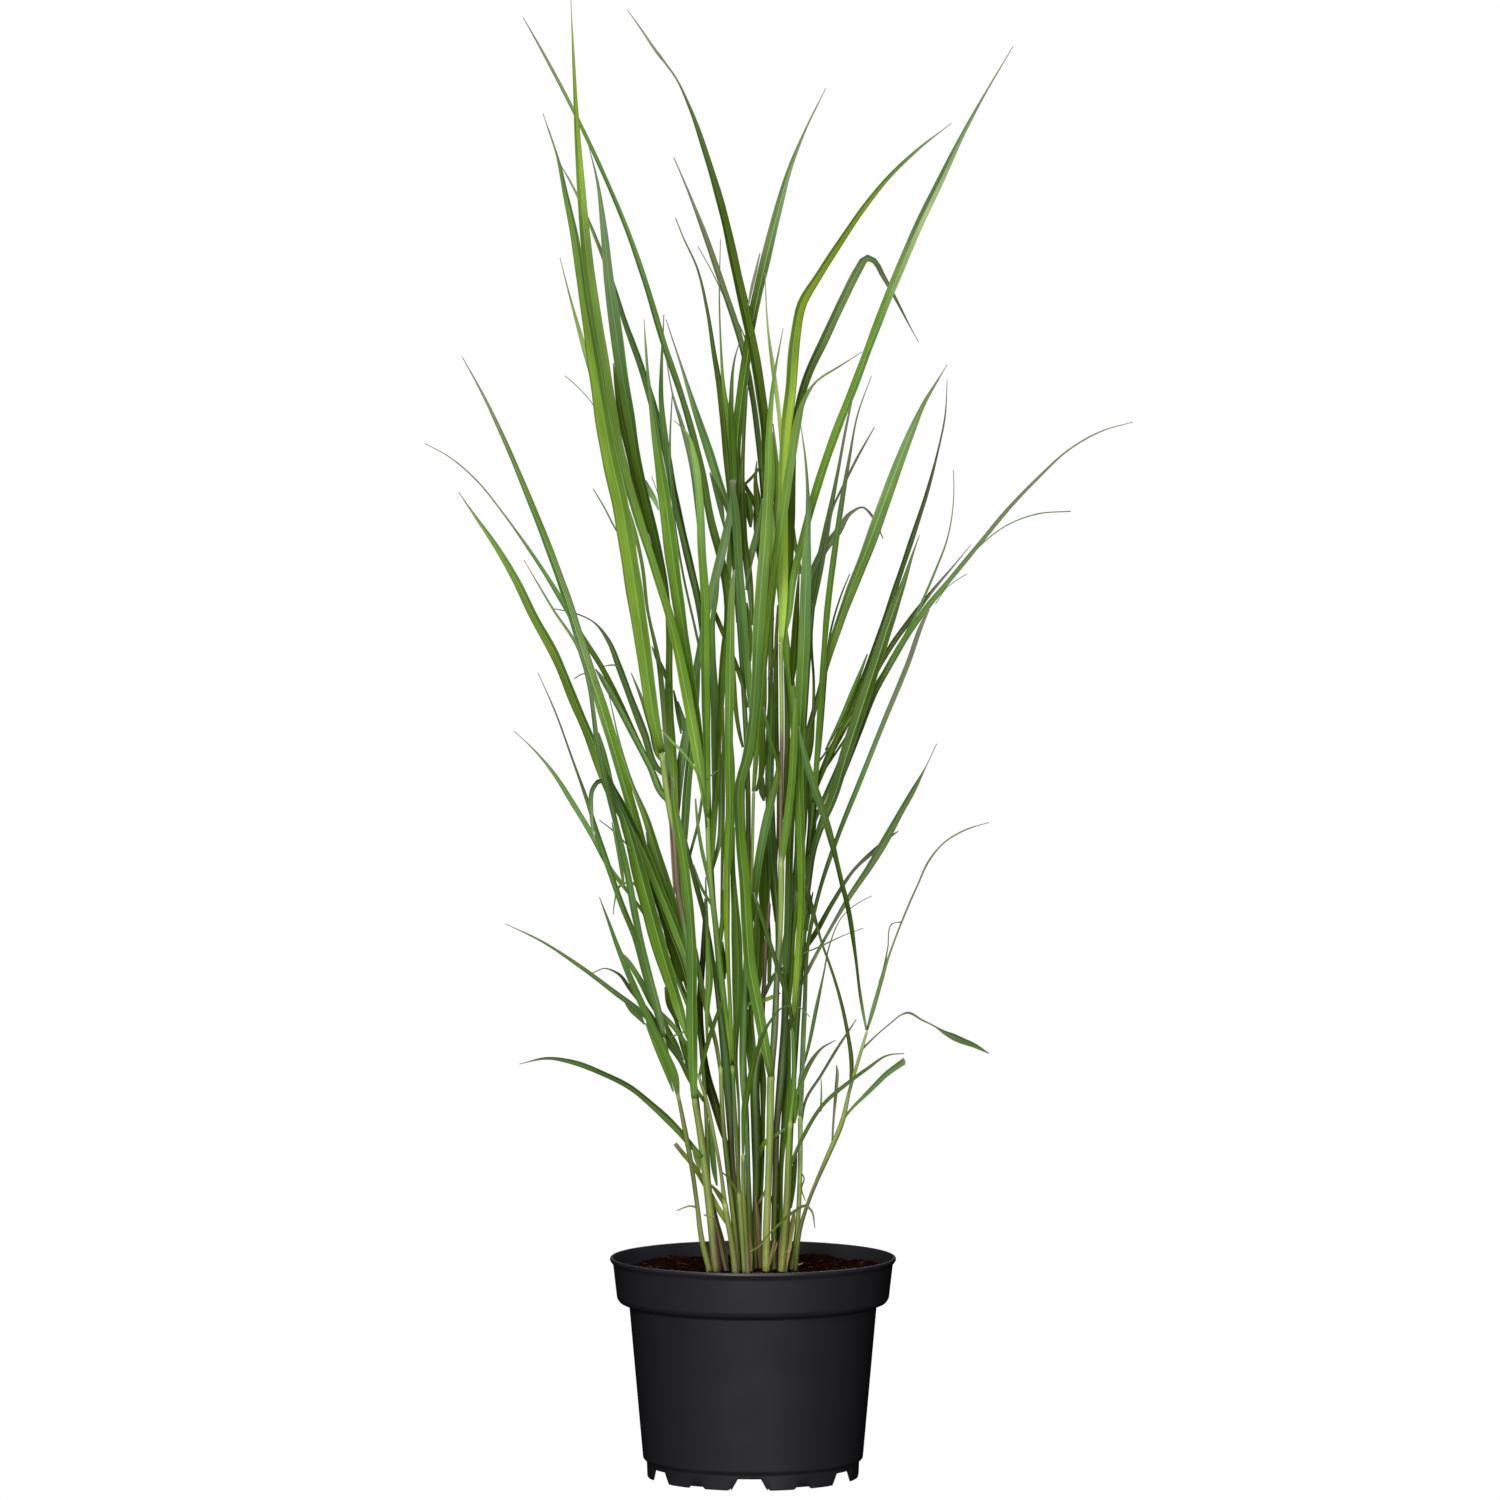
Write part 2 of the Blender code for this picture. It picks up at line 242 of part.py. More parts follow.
# Smaller blades that are one with their culm: culm, depth sought at the tip, points
SHOOTS = [
    ("stem_01", -90, [(-60.3, 307, 3), (-62.5, 320, 6.5), (-71, 342, 5.5), (-83, 367, 5.5),
                      (-97, 398, 5.2), (-108, 425, 3.8), (-117, 450, 2), (-123, 466, 0.5)]),
    ("stem_01", -16, [(-44.6, 216.5, 2), (-50, 217.5, 1.4), (-61, 214, 0.8)]),
    ("stem_02", -60, [(-49, 342, 3), (-55, 350, 3.5), (-64.5, 363, 4), (-76, 374, 5), (-92, 402, 4.5),
                      (-102, 417, 3), (-106, 422, 0.8)]),
    ("stem_02", -70, [(-47.3, 312, 2.5), (-54, 328, 3), (-66, 347, 3.6), (-84, 374, 3.6),
                      (-98.5, 392.5, 3.4), (-108, 404.5, 2), (-119, 408.7, 0.7), (-128.5, 405, 0.6)]),
    ("stem_02", -90, [(-50, 372, 2), (-58, 392, 2), (-68, 418, 2), (-78, 444, 2), (-90, 470, 1.6),
                      (-98, 478, 1.8), (-106, 475.5, 2), (-111, 461, 1), (-112, 452, 0.6)]),
    ("stem_03", 30, [(-50, 402, 3.5), (-56.5, 432, 7), (-66, 465, 8.5), (-77, 500, 7.5),
                     (-86, 530, 5.5), (-96.5, 556, 3), (-105, 583, 2), (-115, 627, 0.7),
                     (-118, 640, 0.5)]),
    ("stem_03", 10, [(-57.5, 488, 3), (-55.5, 510, 5.5), (-52, 560, 6.5), (-48, 595, 6),
                     (-44.5, 635, 4), (-42.5, 658, 1)]),
    ("stem_03", -5, [(-55, 452, 2.2), (-51, 497, 2.2), (-44, 525, 2.4), (-40, 552, 2)]),
    ("stem_04", -50, [(-43.2, 320.5, 2), (-40, 335, 3), (-32, 362, 3.5), (-24, 384, 2)]),
    ("stem_04", -36, [(-22.5, 218, 3.4), (-26, 225, 4), (-30, 230.5, 3), (-34, 235, 1.2)]),
    ("stem_05", -25, [(-26, 326, 3), (-30, 350, 3.5), (-37, 375, 4), (-43, 405, 4), (-45.5, 425, 1.5)]),
    ("stem_06", -5, [(-29.8, 397, 3), (-33, 420, 3.5), (-40, 455, 4), (-48, 485, 4), (-54, 512, 2)]),
    ("stem_06", 4, [(-10.8, 189, 2.4), (-16, 197, 3.2), (-27, 214, 4.4), (-38, 234, 4), (-50, 253, 4),
                    (-57, 261, 3.6), (-62.5, 268, 3.4)]),
    ("stem_07", -26, [(-11, 226, 2.4), (-13.5, 230, 2.4), (-17, 236, 2.4), (-21, 241.5, 1.5),
                      (-25, 245, 0.7)]),
    ("stem_07", -45, [(-33, 466, 2.6), (-36, 482, 3), (-41.5, 507, 2.8), (-45, 532, 2),
                      (-46, 545, 1.2)]),
    ("stem_07", -40, [(-32, 458, 2), (-41, 473, 2.4), (-48, 492, 1.6)]),
    ("stem_07", -70, [(-36.4, 518, 1.6), (-45, 566, 1.6), (-57, 583, 2), (-66, 592, 1.8),
                      (-73, 600, 1)]),
    ("stem_08", -110, [(-8, 255, 1.8), (-7.6, 282, 3.6), (-6.8, 295, 5), (-2, 322, 4.5),
                       (4.5, 346, 3.4), (14, 366.5, 2), (25, 378, 1.1), (37, 377.5, 0.9),
                       (45.5, 370, 0.6)]),
    ("stem_08", -70, [(-5.2, 180, 1.4), (4, 184.5, 1.2), (12, 194, 1.4), (21, 203, 2), (33, 213, 2.5),
                      (43, 217.6, 2), (46.5, 214.3, 1.8), (49.7, 200, 0.7)]),
    ("stem_09", -5, [(-4, 436, 3.6), (0, 455, 4.5), (3, 485, 6), (8, 515, 6.5), (15, 545, 6),
                     (21, 572, 3.5), (24, 600, 0.8)]),
    ("stem_10", -2, [(1.5, 336, 3.5), (-1, 365, 3.5), (-2, 380, 4), (-3.5, 395, 3)]),
    ("stem_10", 14, [(3.3, 256, 4), (9, 268, 3.5), (20, 276, 3), (26, 280, 1.5)]),
    ("stem_10", 70, [(8.3, 386, 3), (19, 405, 3.5), (30, 412, 3), (46, 431, 4), (64, 462, 3.5),
                     (81, 488, 2.5), (99, 505, 3.5), (112, 516, 1.5), (116.5, 519, 0.6)]),
    ("stem_11", -45, [(22.5, 491, 4), (26.5, 522, 6), (30.5, 555, 6), (33, 600, 5), (34, 625, 1)]),
    ("stem_11", -50, [(22.3, 546, 2), (20.5, 570, 2), (14, 592, 3.5), (8.5, 618, 1.2)]),
    ("stem_12", 12, [(26, 402, 5), (28, 450, 6), (29.5, 510, 6), (32, 560, 5), (33, 590, 1.5)]),
    ("stem_13", 10, [(31.8, 360, 2.6), (36, 390, 3), (45, 409, 3), (60, 437, 2.5), (77, 466, 4),
                     (95, 493, 5.5), (105, 510, 6.5), (117, 532, 5), (129, 553, 4), (138, 570, 0.9),
                     (147, 589, 0.6)]),
    ("stem_13", -60, [(28.8, 248, 2.5), (40, 273, 3), (56, 299, 3), (77, 317.5, 3), (92, 328.5, 2.6),
                      (108, 339, 1.3), (121, 340.5, 0.6)]),
    ("stem_13", -40, [(32.5, 304, 2.5), (38.5, 316, 3), (46, 333, 3.4), (55, 344.5, 1.8),
                      (66, 351, 0.6)]),
    ("stem_13", -30, [(31.9, 358, 3), (29, 380, 3.5), (20, 409, 4), (11, 437, 3), (3, 462, 2.5),
                      (0.5, 470, 1.2)]),
    ("stem_14", 20, [(37.8, 278, 2), (43, 304.5, 2.2), (54, 322, 2.2), (66, 342, 2.2), (75, 356, 1.6),
                     (83, 368, 0.6)]),
    ("stem_14", 40, [(38, 284, 2), (37.5, 321, 2), (43, 340, 2.4), (51, 378, 3), (56.5, 404, 1.5),
                     (61.5, 428, 1), (72, 451, 0.7), (87, 463, 0.6), (95, 467, 0.5)]),
    ("stem_15", -60, [(88, 344.5, 1.8), (100, 356, 1), (110, 364.5, 1), (119, 371.5, 1),
                      (123, 373, 1.6), (136, 367, 1.4), (146, 362, 1.2), (153, 357.5, 3),
                      (160, 354, 5), (168, 350.5, 5), (176, 347.5, 4), (189, 340.5, 0.8)]),
    ("stem_15", -60, [(72.5, 288, 2), (80, 297, 2.2), (88, 305, 3), (97, 314, 3.8), (106, 323, 4.2),
                      (121.5, 334.5, 5.2)]),
    ("stem_15", -20, [(63.5, 266, 1.6), (64.5, 285, 1.8), (67, 315, 2.8), (67.6, 325, 2.4),
                      (67, 331, 0.8)]),
    ("stem_15", 5, [(78.4, 313, 2.4), (79, 333, 3.5), (75.8, 357, 3), (70.5, 382, 2.6), (61, 413, 2),
                    (55.5, 428, 1.8), (50, 447, 3), (47.5, 455, 4), (43.5, 475, 2)]),
    ("stem_16", 50, [(-63, 540, 3), (-71, 546, 4), (-83, 571, 4.5), (-97, 598, 4.5), (-113, 628, 4.5),
                     (-120, 640, 4), (-126, 649, 1)]),
    ("stem_16", 90, [(-66, 560, 3), (-77, 570, 4.5), (-87, 597, 6), (-97, 623, 5.5), (-107, 650, 5),
                     (-116, 672, 3.5), (-127, 686, 1.2), (-141, 693, 1), (-159, 697, 0.6)]),
    ("stem_16", 60, [(-67, 571, 2.4), (-75, 578, 3), (-81.5, 600, 3.5), (-89, 625, 2.8),
                     (-97.5, 646, 0.7)]),
    ("stem_16", 40, [(-61.2, 529, 4), (-58, 570, 7), (-51, 610, 6), (-44, 655, 6), (-37.5, 690, 5),
                     (-31, 718, 7), (-23.5, 748, 7), (-17, 780, 5), (-15, 800, 3)]),
    ("stem_17", 90, [(-40.8, 686, 3), (-48, 722, 3), (-55, 750, 3), (-62.5, 780, 4), (-69, 825, 5),
                     (-73.3, 865, 4), (-73, 890, 2.6), (-71, 932, 0.5)]),
    ("stem_17", 50, [(-37, 638, 2), (-46, 680, 2), (-56, 725, 1.8), (-63, 770, 1.6), (-66.3, 830, 1.6),
                     (-64.5, 868, 0.8)]),
    ("stem_17", 130, [(-38.4, 660, 2), (-41, 720, 2.4), (-44, 770, 3), (-50.5, 820, 4.2),
                      (-56.5, 843, 3.5), (-64, 868, 1.4), (-70, 903, 0.6)]),
    ("stem_17", 35, [(-17.8, 260, 3), (-24, 275, 4), (-30, 298, 7), (-37, 322, 7), (-41, 350, 5),
                     (-42.5, 380, 5), (-40, 420, 4.5), (-38, 465, 2)]),
    ("stem_17", 10, [(-33, 488, 3), (-27, 510, 4), (-25.5, 540, 4.5), (-27, 585, 3)]),
    ("stem_18", 70, [(-11.3, 686, 4.5), (-15, 735, 4), (-18, 780, 4), (-21.5, 825, 6), (-26, 870, 5.5),
                     (-31, 900, 3.8), (-36.5, 935, 2.6), (-45, 970, 1.6), (-56, 994, 1),
                     (-62, 1009, 0.5)]),
    ("stem_18", 5, [(-5, 568, 4), (0, 600, 5), (-3.5, 640, 5.5), (-6.5, 680, 6), (-10.5, 725, 6),
                    (-14.5, 780, 6), (-17, 800, 3)]),
    ("stem_18", -10, [(-15, 756, 4.5), (-14, 800, 7), (-18, 840, 6), (-23, 870, 3.4),
                      (-25.8, 910, 1.6), (-26.8, 940, 1.2), (-26, 992, 0.5)]),
    ("stem_18", -60, [(-14.8, 753, 3), (-15, 800, 5), (-17.5, 860, 4), (-14, 899, 1.2),
                      (-11, 909, 0.6)]),
    ("stem_18", 110, [(-14.9, 757, 4), (-17.5, 770, 5), (-27, 797, 6.5), (-36, 825, 7),
                      (-46, 855, 5), (-57, 890, 2), (-69.5, 928, 0.5)]),
    ("stem_19", 160, [(14.8, 688, 4.5), (11, 750, 4.5), (6, 815, 4.5), (-1, 870, 4.5), (-11, 915, 5),
                      (-26, 960, 5), (-37, 992, 4.3), (-50, 1026, 2), (-63, 1057, 0.5)]),
    ("stem_19", 172, [(15.3, 713, 1.5), (12, 780, 1.2), (4, 860, 1.2), (-8, 917, 1.1), (-20, 940, 1.2),
                      (-36, 972, 0.8), (-44, 986, 0.6)]),
    ("stem_19", -20, [(15, 699, 2), (19, 760, 2), (22.5, 820, 2.2), (20.5, 855, 3.2), (16.5, 885, 3.5),
                      (12, 920, 1.6), (9.5, 965, 0.6)]),
    ("stem_19", 30, [(19.3, 446, 4), (16, 480, 6), (13, 540, 6), (14, 600, 7), (14.5, 635, 4),
                     (13.5, 648, 1.5)]),
    ("stem_20", 60, [(35.3, 503, 4), (36.5, 550, 6), (34, 595, 7), (30, 635, 7.5), (25.5, 675, 6),
                     (20.5, 720, 4), (18, 770, 4), (19, 810, 3.5), (16, 845, 0.9)]),
    ("stem_20", 120, [(38.3, 560, 3.5), (45, 580, 4), (48, 610, 3), (48.5, 640, 2), (46.5, 672, 2.5),
                      (49.5, 720, 5), (56, 750, 5), (62.5, 780, 4), (68, 808, 2.5), (74.5, 843, 2),
                      (81, 873, 0.8)]),
    ("stem_20", 60, [(47.7, 697, 3.5), (53.5, 725, 4), (59, 755, 3.5), (64, 778, 1.8), (72, 795, 2),
                     (84, 819, 1.8), (97, 842, 0.6)]),
    ("stem_20", 90, [(45.8, 676, 4), (46.5, 722, 6), (56, 743, 6.5), (68, 759, 6), (78, 773.5, 3),
                     (88, 778, 1.5), (93, 774, 2), (97, 768, 2), (104, 753, 0.7)]),
    ("stem_21", 50, [(57.5, 646, 2), (63, 683, 1.6), (72, 712, 1.2), (77.5, 725, 0.6)]),
    ("stem_21", 0, [(49.2, 550, 3), (62, 583, 4), (70, 600, 3.5), (80, 618, 0.8)]),
    ("stem_21", 80, [(50, 558, 2), (75, 595, 2), (105, 647, 2), (131, 694, 2), (146, 728, 1.8),
                     (155, 752, 1.2), (160.5, 795, 0.7), (160, 808, 0.6)]),
    ("stem_21", 110, [(51.5, 573, 1.6), (80, 612, 1.4), (110, 655, 1.4), (140, 698, 1.2),
                      (165, 728, 1), (180, 746, 1), (205, 765, 0.8), (228, 773, 1), (254, 775, 0.6)]),
    ("stem_21", 20, [(44, 474, 4), (45, 500, 6), (47.5, 530, 7), (46, 555, 7.5), (44, 572, 2)]),
]


def smooth(points, count):
    """Evenly spaced points on a cubic curve through the stated ones, with their widths."""
    p = np.array(points, float)
    t = np.concatenate([[0.0], np.cumsum(np.hypot(*np.diff(p[:, :2], axis=0).T))])
    m = np.gradient(p, t, axis=0)
    s = np.linspace(0.0, t[-1], count)
    i = np.clip(np.searchsorted(t, s, side="right") - 1, 0, len(t) - 2)
    h = (t[i + 1] - t[i])[:, None]
    u = (s - t[i])[:, None] / h
    curve = ((2 * u**3 - 3 * u**2 + 1) * p[i] + (u**3 - 2 * u**2 + u) * h * m[i]
             + (3 * u**2 - 2 * u**3) * p[i + 1] + (u**3 - u**2) * h * m[i + 1])
    low = np.minimum(p[i, 2], p[i + 1, 2])
    curve[:, 2] = np.maximum(curve[:, 2], low)
    return curve


def as_seen(x, z, y):
    """Point at depth y on the line of sight that meets the plane of the pot's axis at (x, z)."""
    k = (y - EYE[1]) / -EYE[1]
    return np.stack([EYE[0] + (x - EYE[0]) * k, y, EYE[2] + (z - EYE[2]) * k], axis=-1)


def unit(v):
    return v / np.linalg.norm(v, axis=-1, keepdims=True)


def stem_path(name):
    """Seen curve (x, z, width) and depth along one culm."""
    front, lean, points = STEMS[name]
    curve = smooth(points, SAMPLES)
    rise = (curve[:, 1] - curve[0, 1]) / (curve[-1, 1] - curve[0, 1])
    return curve, front + lean * np.clip(rise, 0.0, 1.0) ** 1.3


def spread(curve, key):
    """Real width along a blade and the angle that turns it out of the view's plane.

    A small blade keeps one angle. A long one clasps its culm, is widest in its lower half, is drawn
    out to the tip, and turns where it is seen narrower than that.
    """
    seen = np.maximum(curve[:, 2], 0.6)
    if isinstance(key, int):
        roll = np.full(len(curve), math.radians(14.0 + 36.0 * (key * 0.618034 % 1.0)))
        return seen / np.cos(roll), roll
    t = np.linspace(0.0, 1.0, len(curve))
    profile = np.minimum(0.55 + 1.8 * t, 1.0) * (1.0 - np.clip((t - 0.45) / 0.55, 0.0, 1.0) ** 1.7)
    clasp = np.clip(t / 0.14, 0.0, 1.0)
    full = max(FULLNESS * seen.max(), LEAST_FULL_WIDTH) * profile
    full = np.minimum(full, 1.7 * seen + 0.6)
    width = seen + np.maximum(full - seen, 0.0) * clasp
    roll = np.arccos(np.clip(seen / width, 0.0, 1.0))
    reach = 6
    padded = np.pad(roll, reach, mode="edge")
    even = np.convolve(padded, np.ones(2 * reach + 1) / (2 * reach + 1), mode="valid")
    return width, even * clasp


def settle():
    """Depth of every blade: the sought one, or the nearest that passes clear of what is there."""
    placed, depths = [], {}
    for name in STEMS:
        curve, depth = stem_path(name)
        placed.append((name, curve[:, :2], curve[:, 2] / 2, depth, curve[:, 2] / 2))
    rows = [(n, r[0], r[1], r[2], r[3], False) for n, r in LEAVES.items()]
    rows += [(i, r[0], 0.0, r[1], r[2], True) for i, r in enumerate(SHOOTS)]
    rows.sort(key=lambda r: -abs(r[4][-1][1] - r[4][0][1]) - abs(r[4][-1][0] - r[4][0][0]))
    for key, stem, step, tip, points, joined in rows:
        curve = smooth(points, SAMPLES)
        width, roll = spread(curve, key)
        half = width / 2 * np.cos(roll) + 0.3
        thick = width / 2 * np.sin(roll) + np.maximum(LEAST_KEEL, KEEL * width) * np.cos(roll)
        culm, culm_depth = stem_path(stem)
        near = np.argmin(np.hypot(*(culm[:, :2] - curve[0, :2]).T))
        base = culm_depth[near] + step
        t = np.linspace(0.0, 1.0, SAMPLES)
        pairs = []
        for other, xz, other_half, depth, other_thick in placed:
            apart = np.hypot(curve[:, None, 0] - xz[None, :, 0], curve[:, None, 1] - xz[None, :, 1])
            touch = apart < half[:, None] + other_half[None, :] + CLEARANCE
            if other == stem:
                if joined:
                    continue
                touch &= np.hypot(*(curve[:, :2] - curve[0, :2]).T)[:, None] > 6.0
            i, j = np.nonzero(touch)
            pairs.append((i, depth[j], thick[i] + other_thick[j] + CLEARANCE))
        i = np.concatenate([p[0] for p in pairs])
        there = np.concatenate([p[1] for p in pairs])
        need = np.concatenate([p[2] for p in pairs])
        pace = np.hypot(*np.diff(curve[:2, :2], axis=0)[0])
        best, best_cost = None, np.inf
        for swing in (0, -10, 10, -20, 20, -30, 30, -42, 42, -56, 56, -72, 72, -90, 90):
            for power in (1.3, 0.9, 1.9, 0.6):
                for bulge in (0, -6, 6, -12, 12, -20, 20, -30, 30):
                    y = base + (tip + swing - base) * t**power + bulge * np.sin(math.pi * t)
                    short = np.clip(need - np.abs(y[i] - there), 0.0, None)
                    far = max(0.0, np.abs(y).max() - REACH)
                    cost = 40.0 * short.sum() + 0.25 * abs(swing) + 0.5 * abs(bulge)
                    steep = max(0.0, np.abs(np.diff(y)).max() / pace - 0.8)
                    cost += 3.0 * abs(power - 1.3) + 20.0 * far + 60.0 * steep
                    if cost < best_cost:
                        best, best_cost = y, cost
        depths[key] = best
        placed.append((stem if joined else key, curve[:, :2], half, best, thick))
    return depths


def sections(points, depth, key, turned):
    """Left edge, right edge and keel of a blade, ring by ring."""
    curve = smooth(points, SAMPLES)
    width, roll = spread(curve, key)
    roll = roll * turned
    middle = as_seen(curve[:, 0], curve[:, 1], depth)
    along = unit(np.gradient(middle, axis=0))
    side = unit(np.cross(along, unit(EYE - middle)))
    front = np.cross(side, along)
    c, s = np.cos(roll)[:, None], np.sin(roll)[:, None]
    side, front = side * c + front * s, front * c - side * s
    half = (width / 2)[:, None]
    keel = np.maximum(LEAST_KEEL, KEEL * width)[:, None]
    return np.stack([middle - side * half, middle + side * half, middle - front * keel], axis=1)


def thin_out(rings, tolerance, least):
    """Few rings whose straight spans stay within the tolerance of all of them and turn little."""
    keep = sorted({round(k) for k in np.linspace(0, len(rings) - 1, least)})
    across = unit(rings[:, 1] - rings[:, 0])
    while True:
        turns = [(a, b) for a, b in zip(keep, keep[1:])
                 if b - a > 1 and np.dot(across[a], across[b]) < math.cos(MOST_TURN)]
        if turns:
            keep = sorted(set(keep) | {(a + b) // 2 for a, b in turns})
            continue
        worst, where = 0.0, None
        for a, b in zip(keep, keep[1:]):
            if b - a < 2:
                continue
            u = (np.arange(a + 1, b) - a)[:, None, None] / (b - a)
            miss = np.linalg.norm(rings[a + 1:b] - (rings[a] * (1 - u) + rings[b] * u), axis=2)
            if miss.max() > worst:
                worst, where = miss.max(), a + 1 + int(miss.max(axis=1).argmax())
        if worst < tolerance:
            return rings[keep]
        keep = sorted(keep + [where])


def to_scene(points):
    """Millimetres from the pot's axis to metres from the middle of the whole."""
    return (points + np.array([CENTRE_X, 0.0, 0.0])) * 0.001


def colour(obj, name, rgb, roughness):
    material = bpy.data.materials.new(name)
    material.use_nodes = True
    shader = material.node_tree.nodes["Principled BSDF"]
    shader.inputs["Base Color"].default_value = (*rgb, 1.0)
    shader.inputs["Roughness"].default_value = roughness
    shader.inputs["Metallic"].default_value = 0.0
    obj.data.materials.clear()
    obj.data.materials.append(material)


def add_object(name, mesh, collection):
    obj = bpy.data.objects.new(name, mesh)
    collection.objects.link(obj)
    return obj


def blade(name, rings, collection):
    """Closed loft of three-cornered sections, each span's side split along its convex diagonal."""
    count = len(rings)
    flat = rings.reshape(-1, 3)
    faces = []
    for r in range(count - 1):
        core = rings[r:r + 2].reshape(-1, 3).mean(axis=0)
        for k in range(3):
            a, b = 3 * r + k, 3 * r + (k + 1) % 3
            normal = np.cross(flat[b] - flat[a], flat[b + 3] - flat[a])
            outward = np.dot(normal, (flat[a] + flat[b + 3]) / 2 - core)
            if np.dot(normal, flat[a + 3] - flat[a]) * outward <= 0.0:
                faces += [(a, b, b + 3), (a, b + 3, a + 3)]
            else:
                faces += [(a, b, a + 3), (b, b + 3, a + 3)]
    faces += [(2, 1, 0), (3 * count - 3, 3 * count - 2, 3 * count - 1)]
    mesh = bpy.data.meshes.new(name)
    mesh.from_pydata(to_scene(rings.reshape(-1, 3)).tolist(), [], faces)
    bm = bmesh.new()
    bm.from_mesh(mesh)
    if bm.calc_volume(signed=True) < 0.0:
        bmesh.ops.reverse_faces(bm, faces=bm.faces)
    bm.to_mesh(mesh)
    bm.free()
    return add_object(name, mesh, collection)


def made_mesh(obj, collection):
    """Mesh object of the same name in place of a curve or of an object with modifiers."""
    name = obj.name
    source = obj.evaluated_get(bpy.context.evaluated_depsgraph_get())
    mesh = bpy.data.meshes.new_from_object(source)
    place = obj.matrix_world.copy()
    bpy.data.objects.remove(obj, do_unlink=True)
    bm = bmesh.new()
    bm.from_mesh(mesh)
    bmesh.ops.remove_doubles(bm, verts=bm.verts, dist=0.000002)
    bm.to_mesh(mesh)
    bm.free()
    new = add_object(name, mesh, collection)
    new.matrix_world = place
    return new


def culm(name, collection):
    """Bevelled curve of one culm, standing flat just clear of the soil."""
    curve, depth = stem_path(name)
    points = as_seen(curve[:, 0], curve[:, 1], depth)
    rings = np.stack([points, points + curve[:, 2:3] * np.array([1.0, 0.0, 0.0])], axis=1)
    rings = thin_out(rings, 1.0, 4)
    middle = to_scene(rings[:, 0])
    middle[0, 2] = (SOIL_Z + GAP) * 0.001
    radius = np.linalg.norm(rings[:, 1] - rings[:, 0], axis=1) / 2
    data = bpy.data.curves.new(name, "CURVE")
    data.dimensions = "3D"
    data.bevel_depth = 0.001
    data.bevel_resolution = 2
    data.use_fill_caps = True
    spline = data.splines.new("POLY")
    spline.points.add(len(middle) - 1)
    for point, place, r in zip(spline.points, middle, radius):
        point.co = (*place, 1.0)
        point.radius = r
    obj = made_mesh(add_object(name, data, collection), collection)
    foot = obj.data.vertices
    for v in foot:
        if (np.array(v.co) - middle[0]) @ unit(middle[1] - middle[0]) < 0.0002:
            v.co.z = middle[0, 2]
    return obj


def join(obj, others, collection):
    """One body of a culm and the blades that grow from it."""
    for other in others:
        union = obj.modifiers.new(other.name, "BOOLEAN")
        union.operation = "UNION"
        union.solver = "EXACT"
        union.object = other
    obj = made_mesh(obj, collection)
    for other in others:
        bpy.data.objects.remove(other, do_unlink=True)
    return obj


def turned(name, profile, sides, collection):
    """Solid turned from a closed or axis-to-axis profile (radius, height)."""
    mesh = bpy.data.meshes.new(name)
    points = [(r * 0.001, 0.0, z * 0.001) for r, z in profile]
    edges = [(k, k + 1) for k in range(len(points) - 1)]
    mesh.from_pydata(points, edges, [])
    obj = add_object(name, mesh, collection)
    screw = obj.modifiers.new("turn", "SCREW")
    screw.steps = screw.render_steps = sides
    screw.use_merge_vertices = True
    screw.merge_threshold = 0.00001
    return obj


def pot_profile():
    """From the underside's middle out and up the outer side, over the rim and down inside."""
    slope = (BODY_TOP_R - BODY_LOW_R) / (BODY_TOP_Z - BODY_LOW_Z)
    floor_top = FLOOR_Z + FLOOR_THICKNESS
    inner_low = BODY_LOW_R - WALL + slope * (floor_top + 4.0 - BODY_LOW_Z)
    inner = [(0.0, floor_top), (inner_low - 4.0, floor_top), (inner_low, floor_top + 4.0),
             (BODY_TOP_R - WALL, BODY_TOP_Z + 1.2), (BAND_R - WALL - 0.6, BAND_Z + 2.2),
             (BEAD_R - WALL, BEAD_Z), (RIM_R - 2.2, RIM_TOP_Z)]
    outer = [(RIM_R - 0.9, RIM_TOP_Z), (RIM_R, RIM_Z), (BEAD_R, BEAD_Z), (BAND_R, BAND_Z),
             (BAND_R - 2.2, BAND_Z - 3.2), (BODY_TOP_R, BODY_TOP_Z),
             (BODY_LOW_R, BODY_LOW_Z), (FOOT_R, FOOT_TOP_Z), (FOOT_R - 0.4, 0.0),
             (FOOT_R - FOOT_WALL, 0.0), (FOOT_R - FOOT_WALL - 0.4, FLOOR_Z), (0.0, FLOOR_Z)]
    return inner + outer


